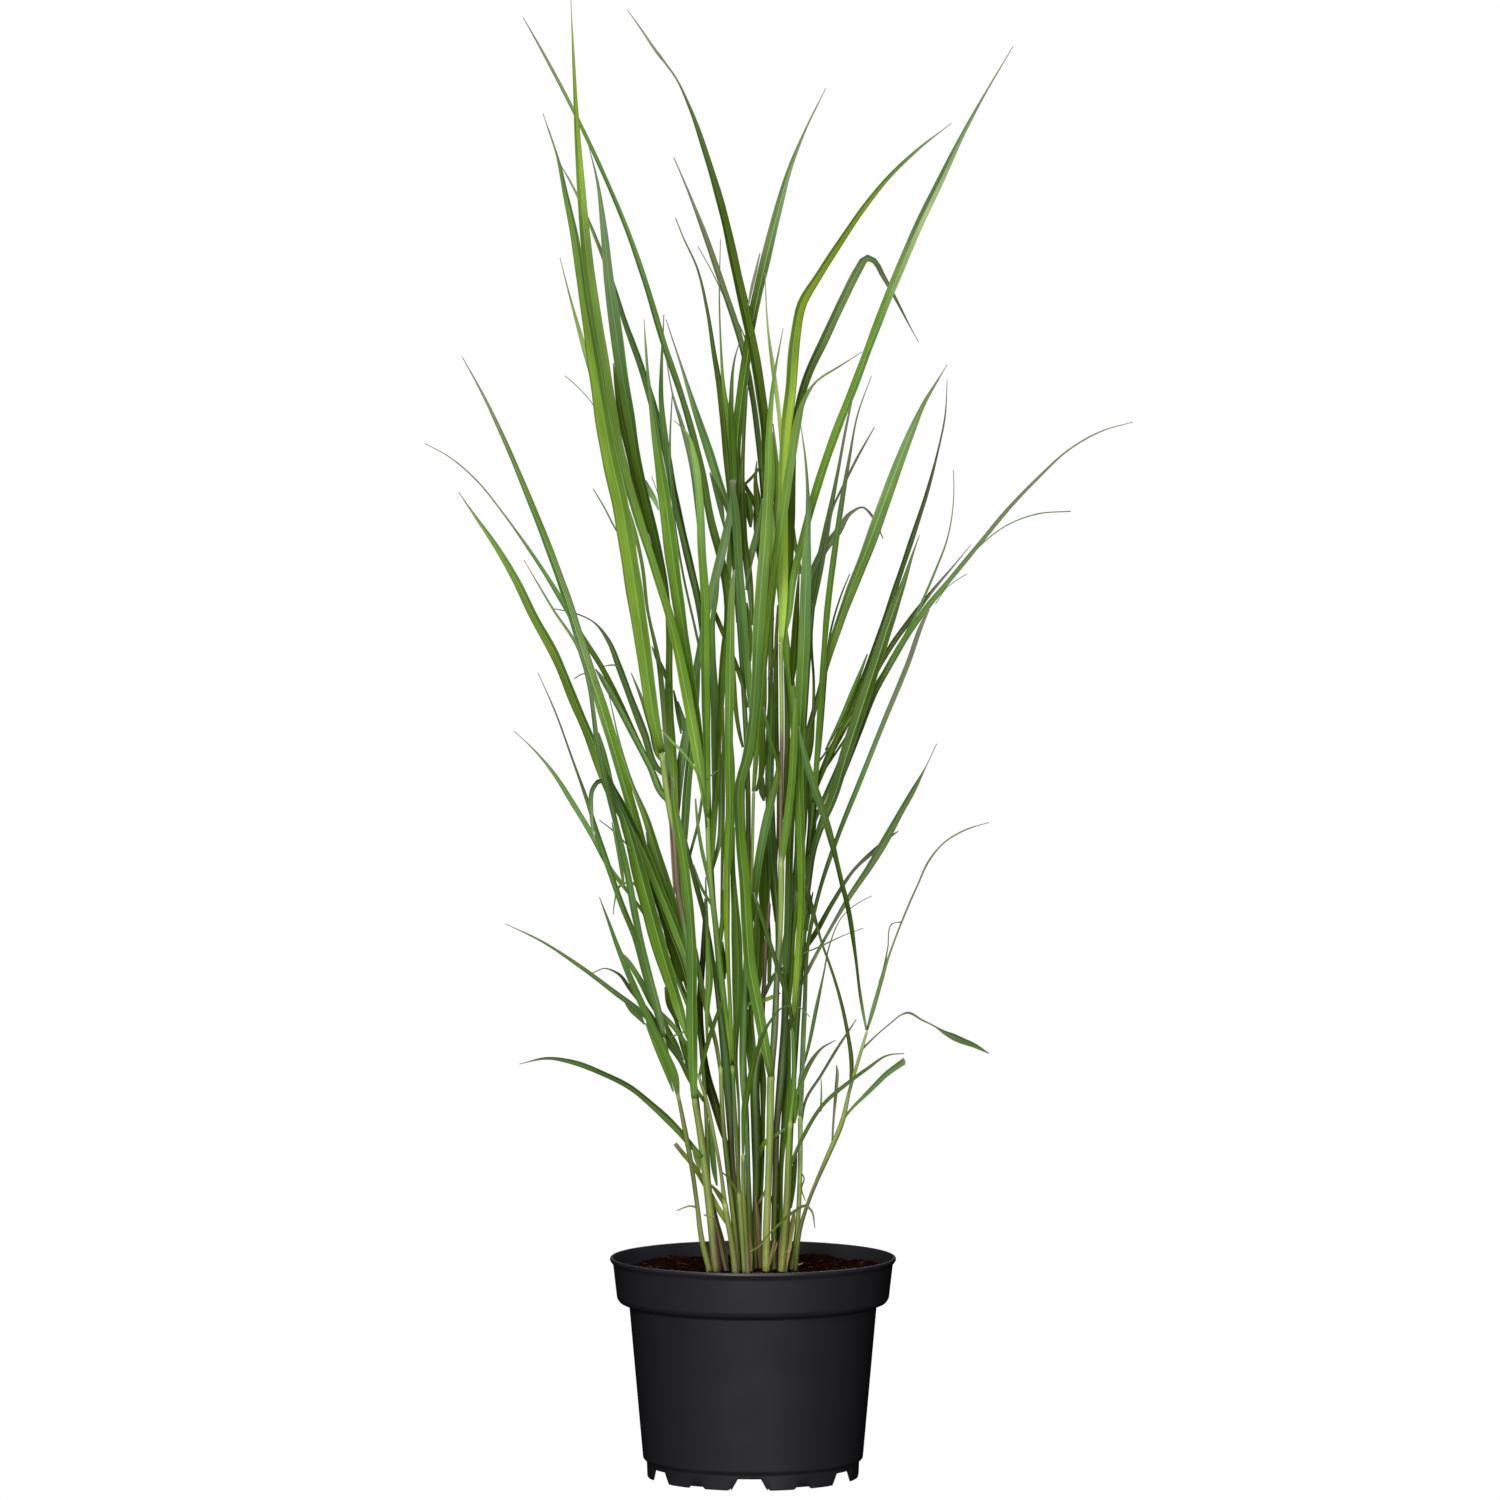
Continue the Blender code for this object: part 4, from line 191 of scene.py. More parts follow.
# Long blades: name, culm, step in depth from it, depth sought at the tip | tones | points
LONG_BLADE_TABLE = """
leaf_01 stem_07 0 -60 | 0Q 20B/A 45T 70Q 100B r4 | -36.6 529.5 3.6, -39 548 5, -45 585 9, -53 630 8,
  -63.5 680 6.5, -77 725 6.5, -93 775 7, -106 820 8, -119 890 10, -130 960 9, -139 1060 5.6, -143.6 1150 1,
  -145 1182 0.4
leaf_02 stem_02 0 -85 | 0A 30Q 60Q/A 100M r2 | -72.8 581.5 5, -78.5 605 8, -88.5 670 12, -97 725 13.5,
  -106 780 13, -115 820 13, -126 885 10, -135.5 945 6, -142.5 995 6.5, -150 1030 5, -154.5 1052 1.6,
  -167.5 1092 0.3
leaf_03 stem_16 -4.6 20 | 0S 50T 100T r3 | -66 562 4, -69 590 5, -72 625 4.5, -75.5 655 3.2, -84 695 2.4,
  -89 735 3, -94 757 3, -103 785 3.5, -112 815 4, -122 860 4, -135.5 908 4, -145 942 1.8, -154 977 0.3
leaf_04 stem_03 0 -10 | 0Q 30G 50G 70M 90S r2 | -61.1 531.5 3.2, -63 560 4.5, -67 620 6, -68.5 700 5,
  -75.5 740 7, -84 775 7.5, -92.3 810 8.5, -98 845 7, -104 880 9.5, -109.5 920 10, -115 960 8,
  -119 1000 5.5, -124.5 1040 2, -131 1066 0.3
leaf_05 stem_17 -4.6 40 | 0A 30F 50J 70J/M 85M 100Z | -33.5 488 3.5, -31 530 4.5, -28 590 5.5, -24 650 6,
  -20 705 6, -25 735 7, -33 765 7, -42 812 5, -57 867 5, -70 905 4.5, -86 958 5, -98 993 4, -122 1050 2.3,
  -144 1096 3, -170 1145 1.8, -183 1168 0.4
leaf_06 stem_17 4.6 120 | 0A 30J 50M 70M 90S | -37 632 4.5, -38 660 6, -42 695 6, -49.5 728 5, -56.5 758 7,
  -63.5 790 5.8, -70 825 6.5, -79.5 858 6.5, -90 892 5, -102 925 4.5, -115 965 3.5, -131 1006 2,
  -147 1040 1.6, -154 1052 0.5
leaf_07 stem_07 -3.8 -60 | 0G 30G/A 50A 70Q/M 90T r2 | -36.6 530.5 3, -36.5 560 4, -37.5 620 7, -38 660 7.5,
  -38 700 7, -41 745 6.3, -43 790 5.8, -46.8 818 4.5, -52 836 1.8, -62.8 847.5 0.4
leaf_08 stem_07 4.2 20 | 0B/A 30A 70A 90S r2 | -36.8 531 3, -39.5 565 4.5, -45 610 6, -52 650 8, -58 690 9,
  -64.5 735 10.5, -67.5 760 11.5, -73 800 8.5, -79.5 845 5, -84 885 2, -87 928 0.4
leaf_09 stem_19 0 80 | 0A 22D 40D/F 60D 75J 95Z r1 | 16.1 736.5 4.5, 15 760 5, 11 800 6, 9 850 7, 4 885 7.5,
  -4 925 8.5, -13 965 7.5, -23 1010 6.5, -36 1055 5, -51 1098 2.5, -62 1121 0.9, -70 1132 0.9, -77 1141 2,
  -90 1160 1.3, -100 1174 0.4
leaf_10 stem_18 5 110 | 0J 30G 50F 66J 80J/S 100Z r4 | -11.5 702 4, -12.5 750 5, -13 800 6, -13.5 830 8,
  -10.5 860 9, -6.5 890 6.5, -0.5 930 7, 5 955 8.5, 11 980 8, 19 1012 7, 30 1050 4, 40 1075 1.3, 58 1112 0.4
leaf_11 stem_11 -5 -120 | 0G 30A 50T/M 100Q r4 | 14.5 322 5, 10 345 7.5, 3.5 380 8.5, -2 410 9, -4.5 445 10,
  -6.5 480 8, -10 520 7.8, -9.5 560 10, -5 575 9, 0 605 7, 3 640 8, 4.8 680 9, 7.5 720 10.5, 10.5 760 8,
  12.3 800 6.5, 13.3 845 4.5, 15.5 872 3, 24 921 0.3
leaf_12 stem_09 0 -172 | 0A 30Q/A 50Q 70T 100S r2 | 0.5 550.5 3, 2.2 575 3, 5 610 3.6, 8.8 650 4,
  12.8 690 5.5, 17 725 7, 23.5 770 7, 30.5 815 6.5, 36.5 850 6, 40 862 3.5, 50 878 0.8, 68 890 1.1,
  87 902 0.4
leaf_13 stem_11 0 -90 | 0L 30L 42B/L 50Q 60B 80B 95S r4 | 22.3 670 3.5, 24 700 6, 25 740 6, 24.5 800 7.5,
  26.5 840 9.5, 30 870 8.5, 34 915 8.5, 39 940 8, 52 962 5.5, 70 990 5, 90 1019 4.3, 108 1041 3, 130 1062 2,
  158 1084 0.3
leaf_14 stem_11 3.2 -20 | 0A 30A 50A/M 70J/P 85J/S 100Z r2 | 22.5 670 3, 28 690 5, 32 720 4.5, 39 750 6,
  52 797 6, 68 843 7, 80 873 6, 92 905 6, 107 944 6.5, 117 968 7, 132 1003 7, 150 1040 6, 165 1071 4,
  180 1099 1.2, 207 1145 0.6
leaf_15 stem_11 6.4 40 | 0A 25D 45D 62J 85J 100J r2 | 22.8 670 3, 27.5 705 4, 30.5 760 6, 31.5 800 5,
  34.5 850 5, 44 884 6.5, 57 912 7, 72 944 7, 86 971 6.5, 90 977 6, 94.5 976 5, 104 962 4, 115 942 2,
  127 919 0.8, 132 910 0.3
leaf_16 stem_13 0 -50 | 0B 30A 50G 70M 90S r2 | 31.8 366.5 3, 34.5 400 3.5, 38 450 5.5, 38 510 7, 36 560 9,
  38 625 8.5, 41 680 9, 43 745 7, 44 780 2.8, 42 815 1.1, 37.5 848 0.4
leaf_17 stem_20 -4.6 -40 | 0D 22Q/T 60T/M 100S r5 | 38.5 556 3.5, 43 592 4.5, 53 630 4, 62.5 665 5.5,
  76 705 8, 91 743 9, 106 785 9.5, 117 815 8, 127 840 6, 137 862 3, 149 882 0.8, 155 892 0.3
leaf_18 stem_21 -4.6 10 | 0A 30A 50G 70J 90Z r1 | 48.5 542 4, 51.5 580 4.5, 54 620 4.5, 56.5 660 4,
  59.8 700 5.3, 65.5 745 4.5, 72.5 792 4, 77 818 2.2, 83.5 852 0.8, 94.5 883 0.3
leaf_19 stem_21 4.6 90 | 0D 30F 60J 90Z | 49.3 552 4, 61 580 5.5, 74 605 6, 88.5 642 4, 103.5 683 4.5,
  117 723 4.2, 130 762 4, 139 790 3, 147 820 1.6, 153.5 852 0.9, 155 880 0.3
leaf_20 stem_21 -4.6 -30 | 0J 30J 60J/D 100J r4 | 43 464 4, 47.5 500 4, 55 525 6, 65 550 8, 73 577 9,
  82 605 10, 92 635 9.5, 102 665 8.5, 111 692 8, 120 717 4, 128 742 1.5, 133 756 0.6
leaf_21 stem_21 4.6 60 | 0M 30M 50J 70D 90Z | 46.5 520 3, 58 548 3.2, 72 580 3.4, 86 615 3.5, 98 645 3.5,
  111 668 4, 127 690 4.5, 143 711 2.5, 160 731 1.3, 174 748 0.5
leaf_22 stem_21 -4.6 -60 | 0J 30J 50M 75Z r2 | 45 500 3.5, 58 532 4, 72 566 5, 85 600 5.5, 96 628 6,
  108 650 4.5, 122 674 5, 138 697 5, 157 720 3.5, 180 748 3.3, 204 777 3, 228 802 2.2, 252 824 1.1,
  281 840 0.6, 303 846 0.5
leaf_23 stem_14 0 -70 | 0S 30J 60M 100Z | 37.9 290 3.4, 39 310 3.8, 39.5 330 4.2, 41.5 380 3.2, 44 428 3,
  53 470 3, 68 515 3.5, 86 560 4, 104 605 4, 124.5 655 4, 136 687 3, 141 697 1.2
leaf_24 stem_15 1.6 0 | 0J/M 30S 60Z 100Z | 91.4 359 1.6, 96 375 3, 102 396 3, 108 416 1.6, 119 446 1.4,
  131 474 1.3, 142 497 1.5, 152 509 0.9, 170 520 1, 189 526 0.4
leaf_25 stem_15 -1.6 -110 | 0S 12F 50D/F 70J 100M | 90.9 359 1.6, 86 387 1.8, 82 420 2.5, 76 458 4,
  71 478 3.5, 64.5 505 4, 57.5 530 6, 48.5 556 6, 40.5 583 4, 36.5 603 0.6
leaf_26 stem_02 -5.5 -66 | 0A 30M/G 50M/A 75A 100G r3 | -47.3 304.5 4.5, -48.5 340 8, -49.2 370 8.6,
  -49.3 430 7.5, -51 455 6.8, -57 505 7, -60 522 7, -63 540 5, -64.5 562 1.5
leaf_27 stem_01 -1.2 -80 | 0J 30M 50M/J 70S 100S r3 | -71.5 354 3, -75 372 5, -84 407 3.5, -93 445 6,
  -101.5 490 5, -108.5 520 4, -117 555 4, -124.5 590 4.5, -131 635 2.5, -139 664 2.6, -160 697 1.6,
  -183 736 0.4
leaf_28 stem_02 -5 -120 | 0F 30M/J 50M 80M 100Z r1 | -40.8 257 3, -50 267 4.5, -60 278.5 5.5, -80 298 5,
  -100 314 4, -120 324 4, -145 333.5 4, -165 336.5 2, -187 332 0.4
leaf_29 stem_03 3 60 | 0A 20J 60J 85J 100Z | -39 302 3, -50 318 3, -58 334.5 4, -71 352 4.5, -85 369.5 4.2,
  -110 389 4, -140 411.5 3, -170 431 1.6, -198 444.5 0.3
leaf_30 stem_01 1.4 0 | 0G 40M/G 65M 90Z | -71.8 354 2.6, -77 372 4, -86 402 4, -95 435 5, -104 457 4,
  -114 485 5, -124 515 4, -133 544 2.8, -145 578 1.6, -158 614 1, -172 646 0.3
leaf_31 stem_16 4.6 90 | 0G 25G 60M 80M 100Z | -49.5 376 3, -56 392 2.6, -66 414 2.4, -78 436 2,
  -88 454 2.6, -100 470 2.6, -117 493 3.8, -129 516 4, -144 541 4.3, -160 566 3, -176 585 1, -191 599 0.3
leaf_32 stem_02 4.8 -50 | 0G 30T/G 50A 70Q 100T r4 | -49.5 392 3, -53 415 5, -63 442 7, -75.5 472 8,
  -88.5 503 9.5, -103 532 11, -116 556 9, -130 592 7.5, -142 620 7, -160 663 7, -175 690 7, -190 721 5.5,
  -206 748 4.5, -222 771 2, -235 790 0.4
leaf_33 stem_16 -4.6 10 | 0D 15D 26A 44T/A 52S 60M/S 75M/G 100Z r5 | -50 386 4, -58 415 6, -71 450 7,
  -82 485 7, -95 530 7.5, -106 570 9, -122 622 9, -134 658 8, -149 706 7, -166 753 5.5, -180 788 5,
  -199 833 3, -215 867 2, -232 898 0.4
leaf_34 stem_02 -4 -120 | 0A 50A/G 70M 85S 100S r3 | -52 352 2.4, -57 368 5, -65.5 395 9, -74 422 12,
  -83 455 12, -92 488 11, -100 518 8, -104 530 6, -109 541 6, -113.5 551 5, -118 558 4, -123 559.3 3.6,
  -127 555 3.4, -129.3 532 2.5, -128.5 520 2, -127 509 1.2
leaf_35 stem_16 4.6 110 | 0J 30D 60M 80Z | -62 533 3, -70 545 3.5, -79 565 3.5, -91 589 3.5, -106 621 4.5,
  -122 652 4.5, -138 677 4, -152 702 4.5, -166 725 3, -182 749 2.2, -200 774 1.2, -220 799 0.8,
  -245 820 0.5, -262 829 0.4
leaf_36 stem_07 -4.2 -70 | 0G 25B/Q 50A 70G 100A r3 | -16.5 331 2.6, -17.5 355 2.4, -18.7 385 2.6,
  -20.7 430 4, -21.2 460 5.5, -20.5 505 5, -19 535 6, -19.5 580 6, -18.5 640 7.5, -17.8 685 6, -16.5 715 4,
  -15 728 1.5
"""

# Small blades that are one with their culm: culm, step, depth sought at the tip | tones | points
SMALL_BLADE_TABLE = """
stem_01 0 -90 | 0G 100M | -60.3 307 3, -62.5 320 6.5, -71 342 5.5, -83 367 5.5, -97 398 5.2, -108 425 3.8,
  -117 450 2, -123 466 0.5
stem_01 0 -16 | K | -44.6 216.5 2, -50 217.5 1.4, -61 214 0.8
stem_02 0 -60 | 0F 100M | -49 342 3, -55 350 3.5, -64.5 363 4, -76 374 5, -92 402 4.5, -102 417 3,
  -106 422 0.8
stem_02 0 -70 | J | -47.3 312 2.5, -54 328 3, -66 347 3.6, -84 374 3.6, -98.5 392.5 3.4, -108 404.5 2,
  -119 408.7 0.7, -128.5 405 0.6
stem_02 0 -90 | 0A 60Q 100M | -50 372 2, -58 392 2, -68 418 2, -78 444 2, -90 470 1.6, -98 478 1.8,
  -106 475.5 2, -111 461 1, -112 452 0.6
stem_03 0 30 | 0F 50G/F 100S | -50 402 3.5, -56.5 432 7, -66 465 8.5, -77 500 7.5, -86 530 5.5, -96.5 556 3,
  -105 583 2, -115 627 0.7, -118 640 0.5
stem_03 0 10 | 0S 40M 100A r6 | -57.5 488 3, -55.5 510 5.5, -52 560 6.5, -48 595 6, -44.5 635 4, -42.5 658 1
stem_03 0 -5 | 0A 40J 100M | -55 452 2.2, -51 497 2.2, -44 525 2.4, -40 552 2
stem_04 0 -50 | 0G 50F 100G | -43.2 320.5 2, -40 335 3, -32 362 3.5, -24 384 2
stem_04 0 -36 | O | -22.5 218 3.4, -26 225 4, -30 230.5 3, -34 235 1.2
stem_05 0 -25 | 0O 50D 100G | -26 326 3, -30 350 3.5, -37 375 4, -43 405 4, -45.5 425 1.5
stem_06 0 -5 | J | -29.8 397 3, -33 420 3.5, -40 455 4, -48 485 4, -54 512 2
stem_06 0 4 | 0O 50C 90O 100K | -10.8 189 2.4, -16 197 3.2, -27 214 4.4, -38 234 4, -50 253 4, -57 261 3.6,
  -62.5 268 3.4
stem_07 0 -26 | F/O | -11 226 2.4, -13.5 230 2.4, -17 236 2.4, -21 241.5 1.5, -25 245 0.7
stem_07 0 -45 | 0G 50M 100S | -33 466 2.6, -36 482 3, -41.5 507 2.8, -45 532 2, -46 545 1.2
stem_07 0 -40 | 0F 50J 100J | -32 458 2, -41 473 2.4, -48 492 1.6
stem_07 0 -70 | 0G 50Q/A 100S | -36.4 518 1.6, -45 566 1.6, -57 583 2, -66 592 1.8, -73 600 1
stem_08 0 -110 | 0G 50F 100J | -8 255 1.8, -7.6 282 3.6, -6.8 295 5, -2 322 4.5, 4.5 346 3.4, 14 366.5 2,
  25 378 1.1, 37 377.5 0.9, 45.5 370 0.6
stem_08 0 -70 | 0C 50O 100Z | -5.2 180 1.4, 4 184.5 1.2, 12 194 1.4, 21 203 2, 33 213 2.5, 43 217.6 2,
  46.5 214.3 1.8, 49.7 200 0.7
stem_09 0 -5 | 0F 50M 100O | -4 436 3.6, 0 455 4.5, 3 485 6, 8 515 6.5, 15 545 6, 21 572 3.5, 24 600 0.8
stem_10 0 -2 | 0M 40F 100G | 1.5 336 3.5, -1 365 3.5, -2 380 4, -3.5 395 3
stem_10 0 14 | 0D 50Q 100J | 3.3 256 4, 9 268 3.5, 20 276 3, 26 280 1.5
stem_10 0 70 | 0J 50D 100Z | 8.3 386 3, 19 405 3.5, 30 412 3, 46 431 4, 64 462 3.5, 81 488 2.5, 99 505 3.5,
  112 516 1.5, 116.5 519 0.6
stem_11 0 -45 | A | 22.5 491 4, 26.5 522 6, 30.5 555 6, 33 600 5, 34 625 1
stem_11 0 -50 | 0C 40F 100M | 22.3 546 2, 20.5 570 2, 14 592 3.5, 8.5 618 1.2
stem_12 0 12 | 0M 50D 100G | 26 402 5, 28 450 6, 29.5 510 6, 32 560 5, 33 590 1.5
stem_13 0 10 | 0Z 50J 100J | 31.8 360 2.6, 36 390 3, 45 409 3, 60 437 2.5, 77 466 4, 95 493 5.5,
  105 510 6.5, 117 532 5, 129 553 4, 138 570 0.9, 147 589 0.6
stem_13 0 -60 | J | 28.8 248 2.5, 40 273 3, 56 299 3, 77 317.5 3, 92 328.5 2.6, 108 339 1.3, 121 340.5 0.6
stem_13 0 -40 | 0M 50J 100Z | 32.5 304 2.5, 38.5 316 3, 46 333 3.4, 55 344.5 1.8, 66 351 0.6
stem_13 0 -30 | 0F 50J 100F | 31.9 358 3, 29 380 3.5, 20 409 4, 11 437 3, 3 462 2.5, 0.5 470 1.2
stem_14 0 20 | 0Z 50J 100Z | 37.8 278 2, 43 304.5 2.2, 54 322 2.2, 66 342 2.2, 75 356 1.6, 83 368 0.6
stem_14 0 40 | 0A 50M 100Z | 38 284 2, 37.5 321 2, 43 340 2.4, 51 378 3, 56.5 404 1.5, 61.5 428 1,
  72 451 0.7, 87 463 0.6, 95 467 0.5
stem_15 0 -60 | 0Z 50Z 100M | 88 344.5 1.8, 100 356 1, 110 364.5 1, 119 371.5 1, 123 373 1.6, 136 367 1.4,
  146 362 1.2, 153 357.5 3, 160 354 5, 168 350.5 5, 176 347.5 4, 189 340.5 0.8
stem_15 0 -60 | M/S | 72.5 288 2, 80 297 2.2, 88 305 3, 97 314 3.8, 106 323 4.2, 121.5 334.5 5.2
stem_15 0 -20 | J/Z | 63.5 266 1.6, 64.5 285 1.8, 67 315 2.8, 67.6 325 2.4, 67 331 0.8
stem_15 0 5 | 0D 50D 100J | 78.4 313 2.4, 79 333 3.5, 75.8 357 3, 70.5 382 2.6, 61 413 2, 55.5 428 1.8,
  50 447 3, 47.5 455 4, 43.5 475 2
stem_16 0 50 | J/M | -63 540 3, -71 546 4, -83 571 4.5, -97 598 4.5, -113 628 4.5, -120 640 4, -126 649 1
stem_16 0 90 | 0J 60J 100Z | -66 560 3, -77 570 4.5, -87 597 6, -97 623 5.5, -107 650 5, -116 672 3.5,
  -127 686 1.2, -141 693 1, -159 697 0.6
stem_16 0 60 | 0F 50D/J 100J | -67 571 2.4, -75 578 3, -81.5 600 3.5, -89 625 2.8, -97.5 646 0.7
stem_16 0 40 | M/S | -61.2 529 4, -58 570 7, -51 610 6, -44 655 6, -37.5 690 5, -31 718 7, -23.5 748 7,
  -17 780 5, -15 800 3
stem_17 0 90 | 0J 50M 100J | -40.8 686 3, -48 722 3, -55 750 3, -62.5 780 4, -69 825 5, -73.3 865 4,
  -73 890 2.6, -71 932 0.5
stem_17 0 50 | M/Z | -37 638 2, -46 680 2, -56 725 1.8, -63 770 1.6, -66.3 830 1.6, -64.5 868 0.8
stem_17 0 130 | 0M 50S 100Z | -38.4 660 2, -41 720 2.4, -44 770 3, -50.5 820 4.2, -56.5 843 3.5,
  -64 868 1.4, -70 903 0.6
stem_17 0 35 | X | -17.8 260 3, -24 275 4, -30 298 7, -37 322 7, -41 350 5, -42.5 380 5, -40 420 4.5,
  -38 465 2
stem_17 0 10 | M | -33 488 3, -27 510 4, -25.5 540 4.5, -27 585 3
stem_18 0 70 | 0J 50D 100J | -11.3 686 4.5, -15 735 4, -18 780 4, -21.5 825 6, -26 870 5.5, -31 900 3.8,
  -36.5 935 2.6, -45 970 1.6, -56 994 1, -62 1009 0.5
stem_18 0 5 | 0A 50M 100M/J | -5 568 4, 0 600 5, -3.5 640 5.5, -6.5 680 6, -10.5 725 6, -14.5 780 6,
  -17 800 3
stem_18 0 -10 | 0J 50A 100Z | -15 756 4.5, -14 800 7, -18 840 6, -23 870 3.4, -25.8 910 1.6, -26.8 940 1.2,
  -26 992 0.5
stem_18 0 -60 | 0G 60G 100S | -14.8 753 3, -15 800 5, -17.5 860 4, -14 899 1.2, -11 909 0.6
stem_18 0 110 | 0J 50M 100Z | -14.9 757 4, -17.5 770 5, -27 797 6.5, -36 825 7, -46 855 5, -57 890 2,
  -69.5 928 0.5
stem_19 0 160 | 0D 50J 100Z | 14.8 688 4.5, 11 750 4.5, 6 815 4.5, -1 870 4.5, -11 915 5, -26 960 5,
  -37 992 4.3, -50 1026 2, -63 1057 0.5
stem_19 0 172 | 0A 50G 100S | 15.3 713 1.5, 12 780 1.2, 4 860 1.2, -8 917 1.1, -20 940 1.2, -36 972 0.8,
  -44 986 0.6
stem_19 0 -20 | 0Q 50P 100P | 15 699 2, 19 760 2, 22.5 820 2.2, 20.5 855 3.2, 16.5 885 3.5, 12 920 1.6,
  9.5 965 0.6
stem_19 0 30 | 0D 50M 100F | 19.3 446 4, 16 480 6, 13 540 6, 14 600 7, 14.5 635 4, 13.5 648 1.5
stem_20 0 60 | 0A 60A 100F | 35.3 503 4, 36.5 550 6, 34 595 7, 30 635 7.5, 25.5 675 6, 20.5 720 4, 18 770 4,
  19 810 3.5, 16 845 0.9
stem_20 0 120 | 0A 50F 100Z | 38.3 560 3.5, 45 580 4, 48 610 3, 48.5 640 2, 46.5 672 2.5, 49.5 720 5,
  56 750 5, 62.5 780 4, 68 808 2.5, 74.5 843 2, 81 873 0.8
stem_20 0 60 | 0J 100Z | 47.7 697 3.5, 53.5 725 4, 59 755 3.5, 64 778 1.8, 72 795 2, 84 819 1.8, 97 842 0.6
stem_20 0 90 | 0D 50J 100Z | 45.8 676 4, 46.5 722 6, 56 743 6.5, 68 759 6, 78 773.5 3, 88 778 1.5, 93 774 2,
  97 768 2, 104 753 0.7
stem_21 0 50 | 0G 50J 100Z | 57.5 646 2, 63 683 1.6, 72 712 1.2, 77.5 725 0.6
stem_21 0 0 | D/F | 49.2 550 3, 62 583 4, 70 600 3.5, 80 618 0.8
stem_21 0 80 | 0M 60M 100Z | 50 558 2, 75 595 2, 105 647 2, 131 694 2, 146 728 1.8, 155 752 1.2,
  160.5 795 0.7, 160 808 0.6
stem_21 0 110 | M | 51.5 573 1.6, 80 612 1.4, 110 655 1.4, 140 698 1.2, 165 728 1, 180 746 1, 205 765 0.8,
  228 773 1, 254 775 0.6
stem_21 0 20 | 0D 50F 100G | 44 474 4, 45 500 6, 47.5 530 7, 46 555 7.5, 44 572 2
"""

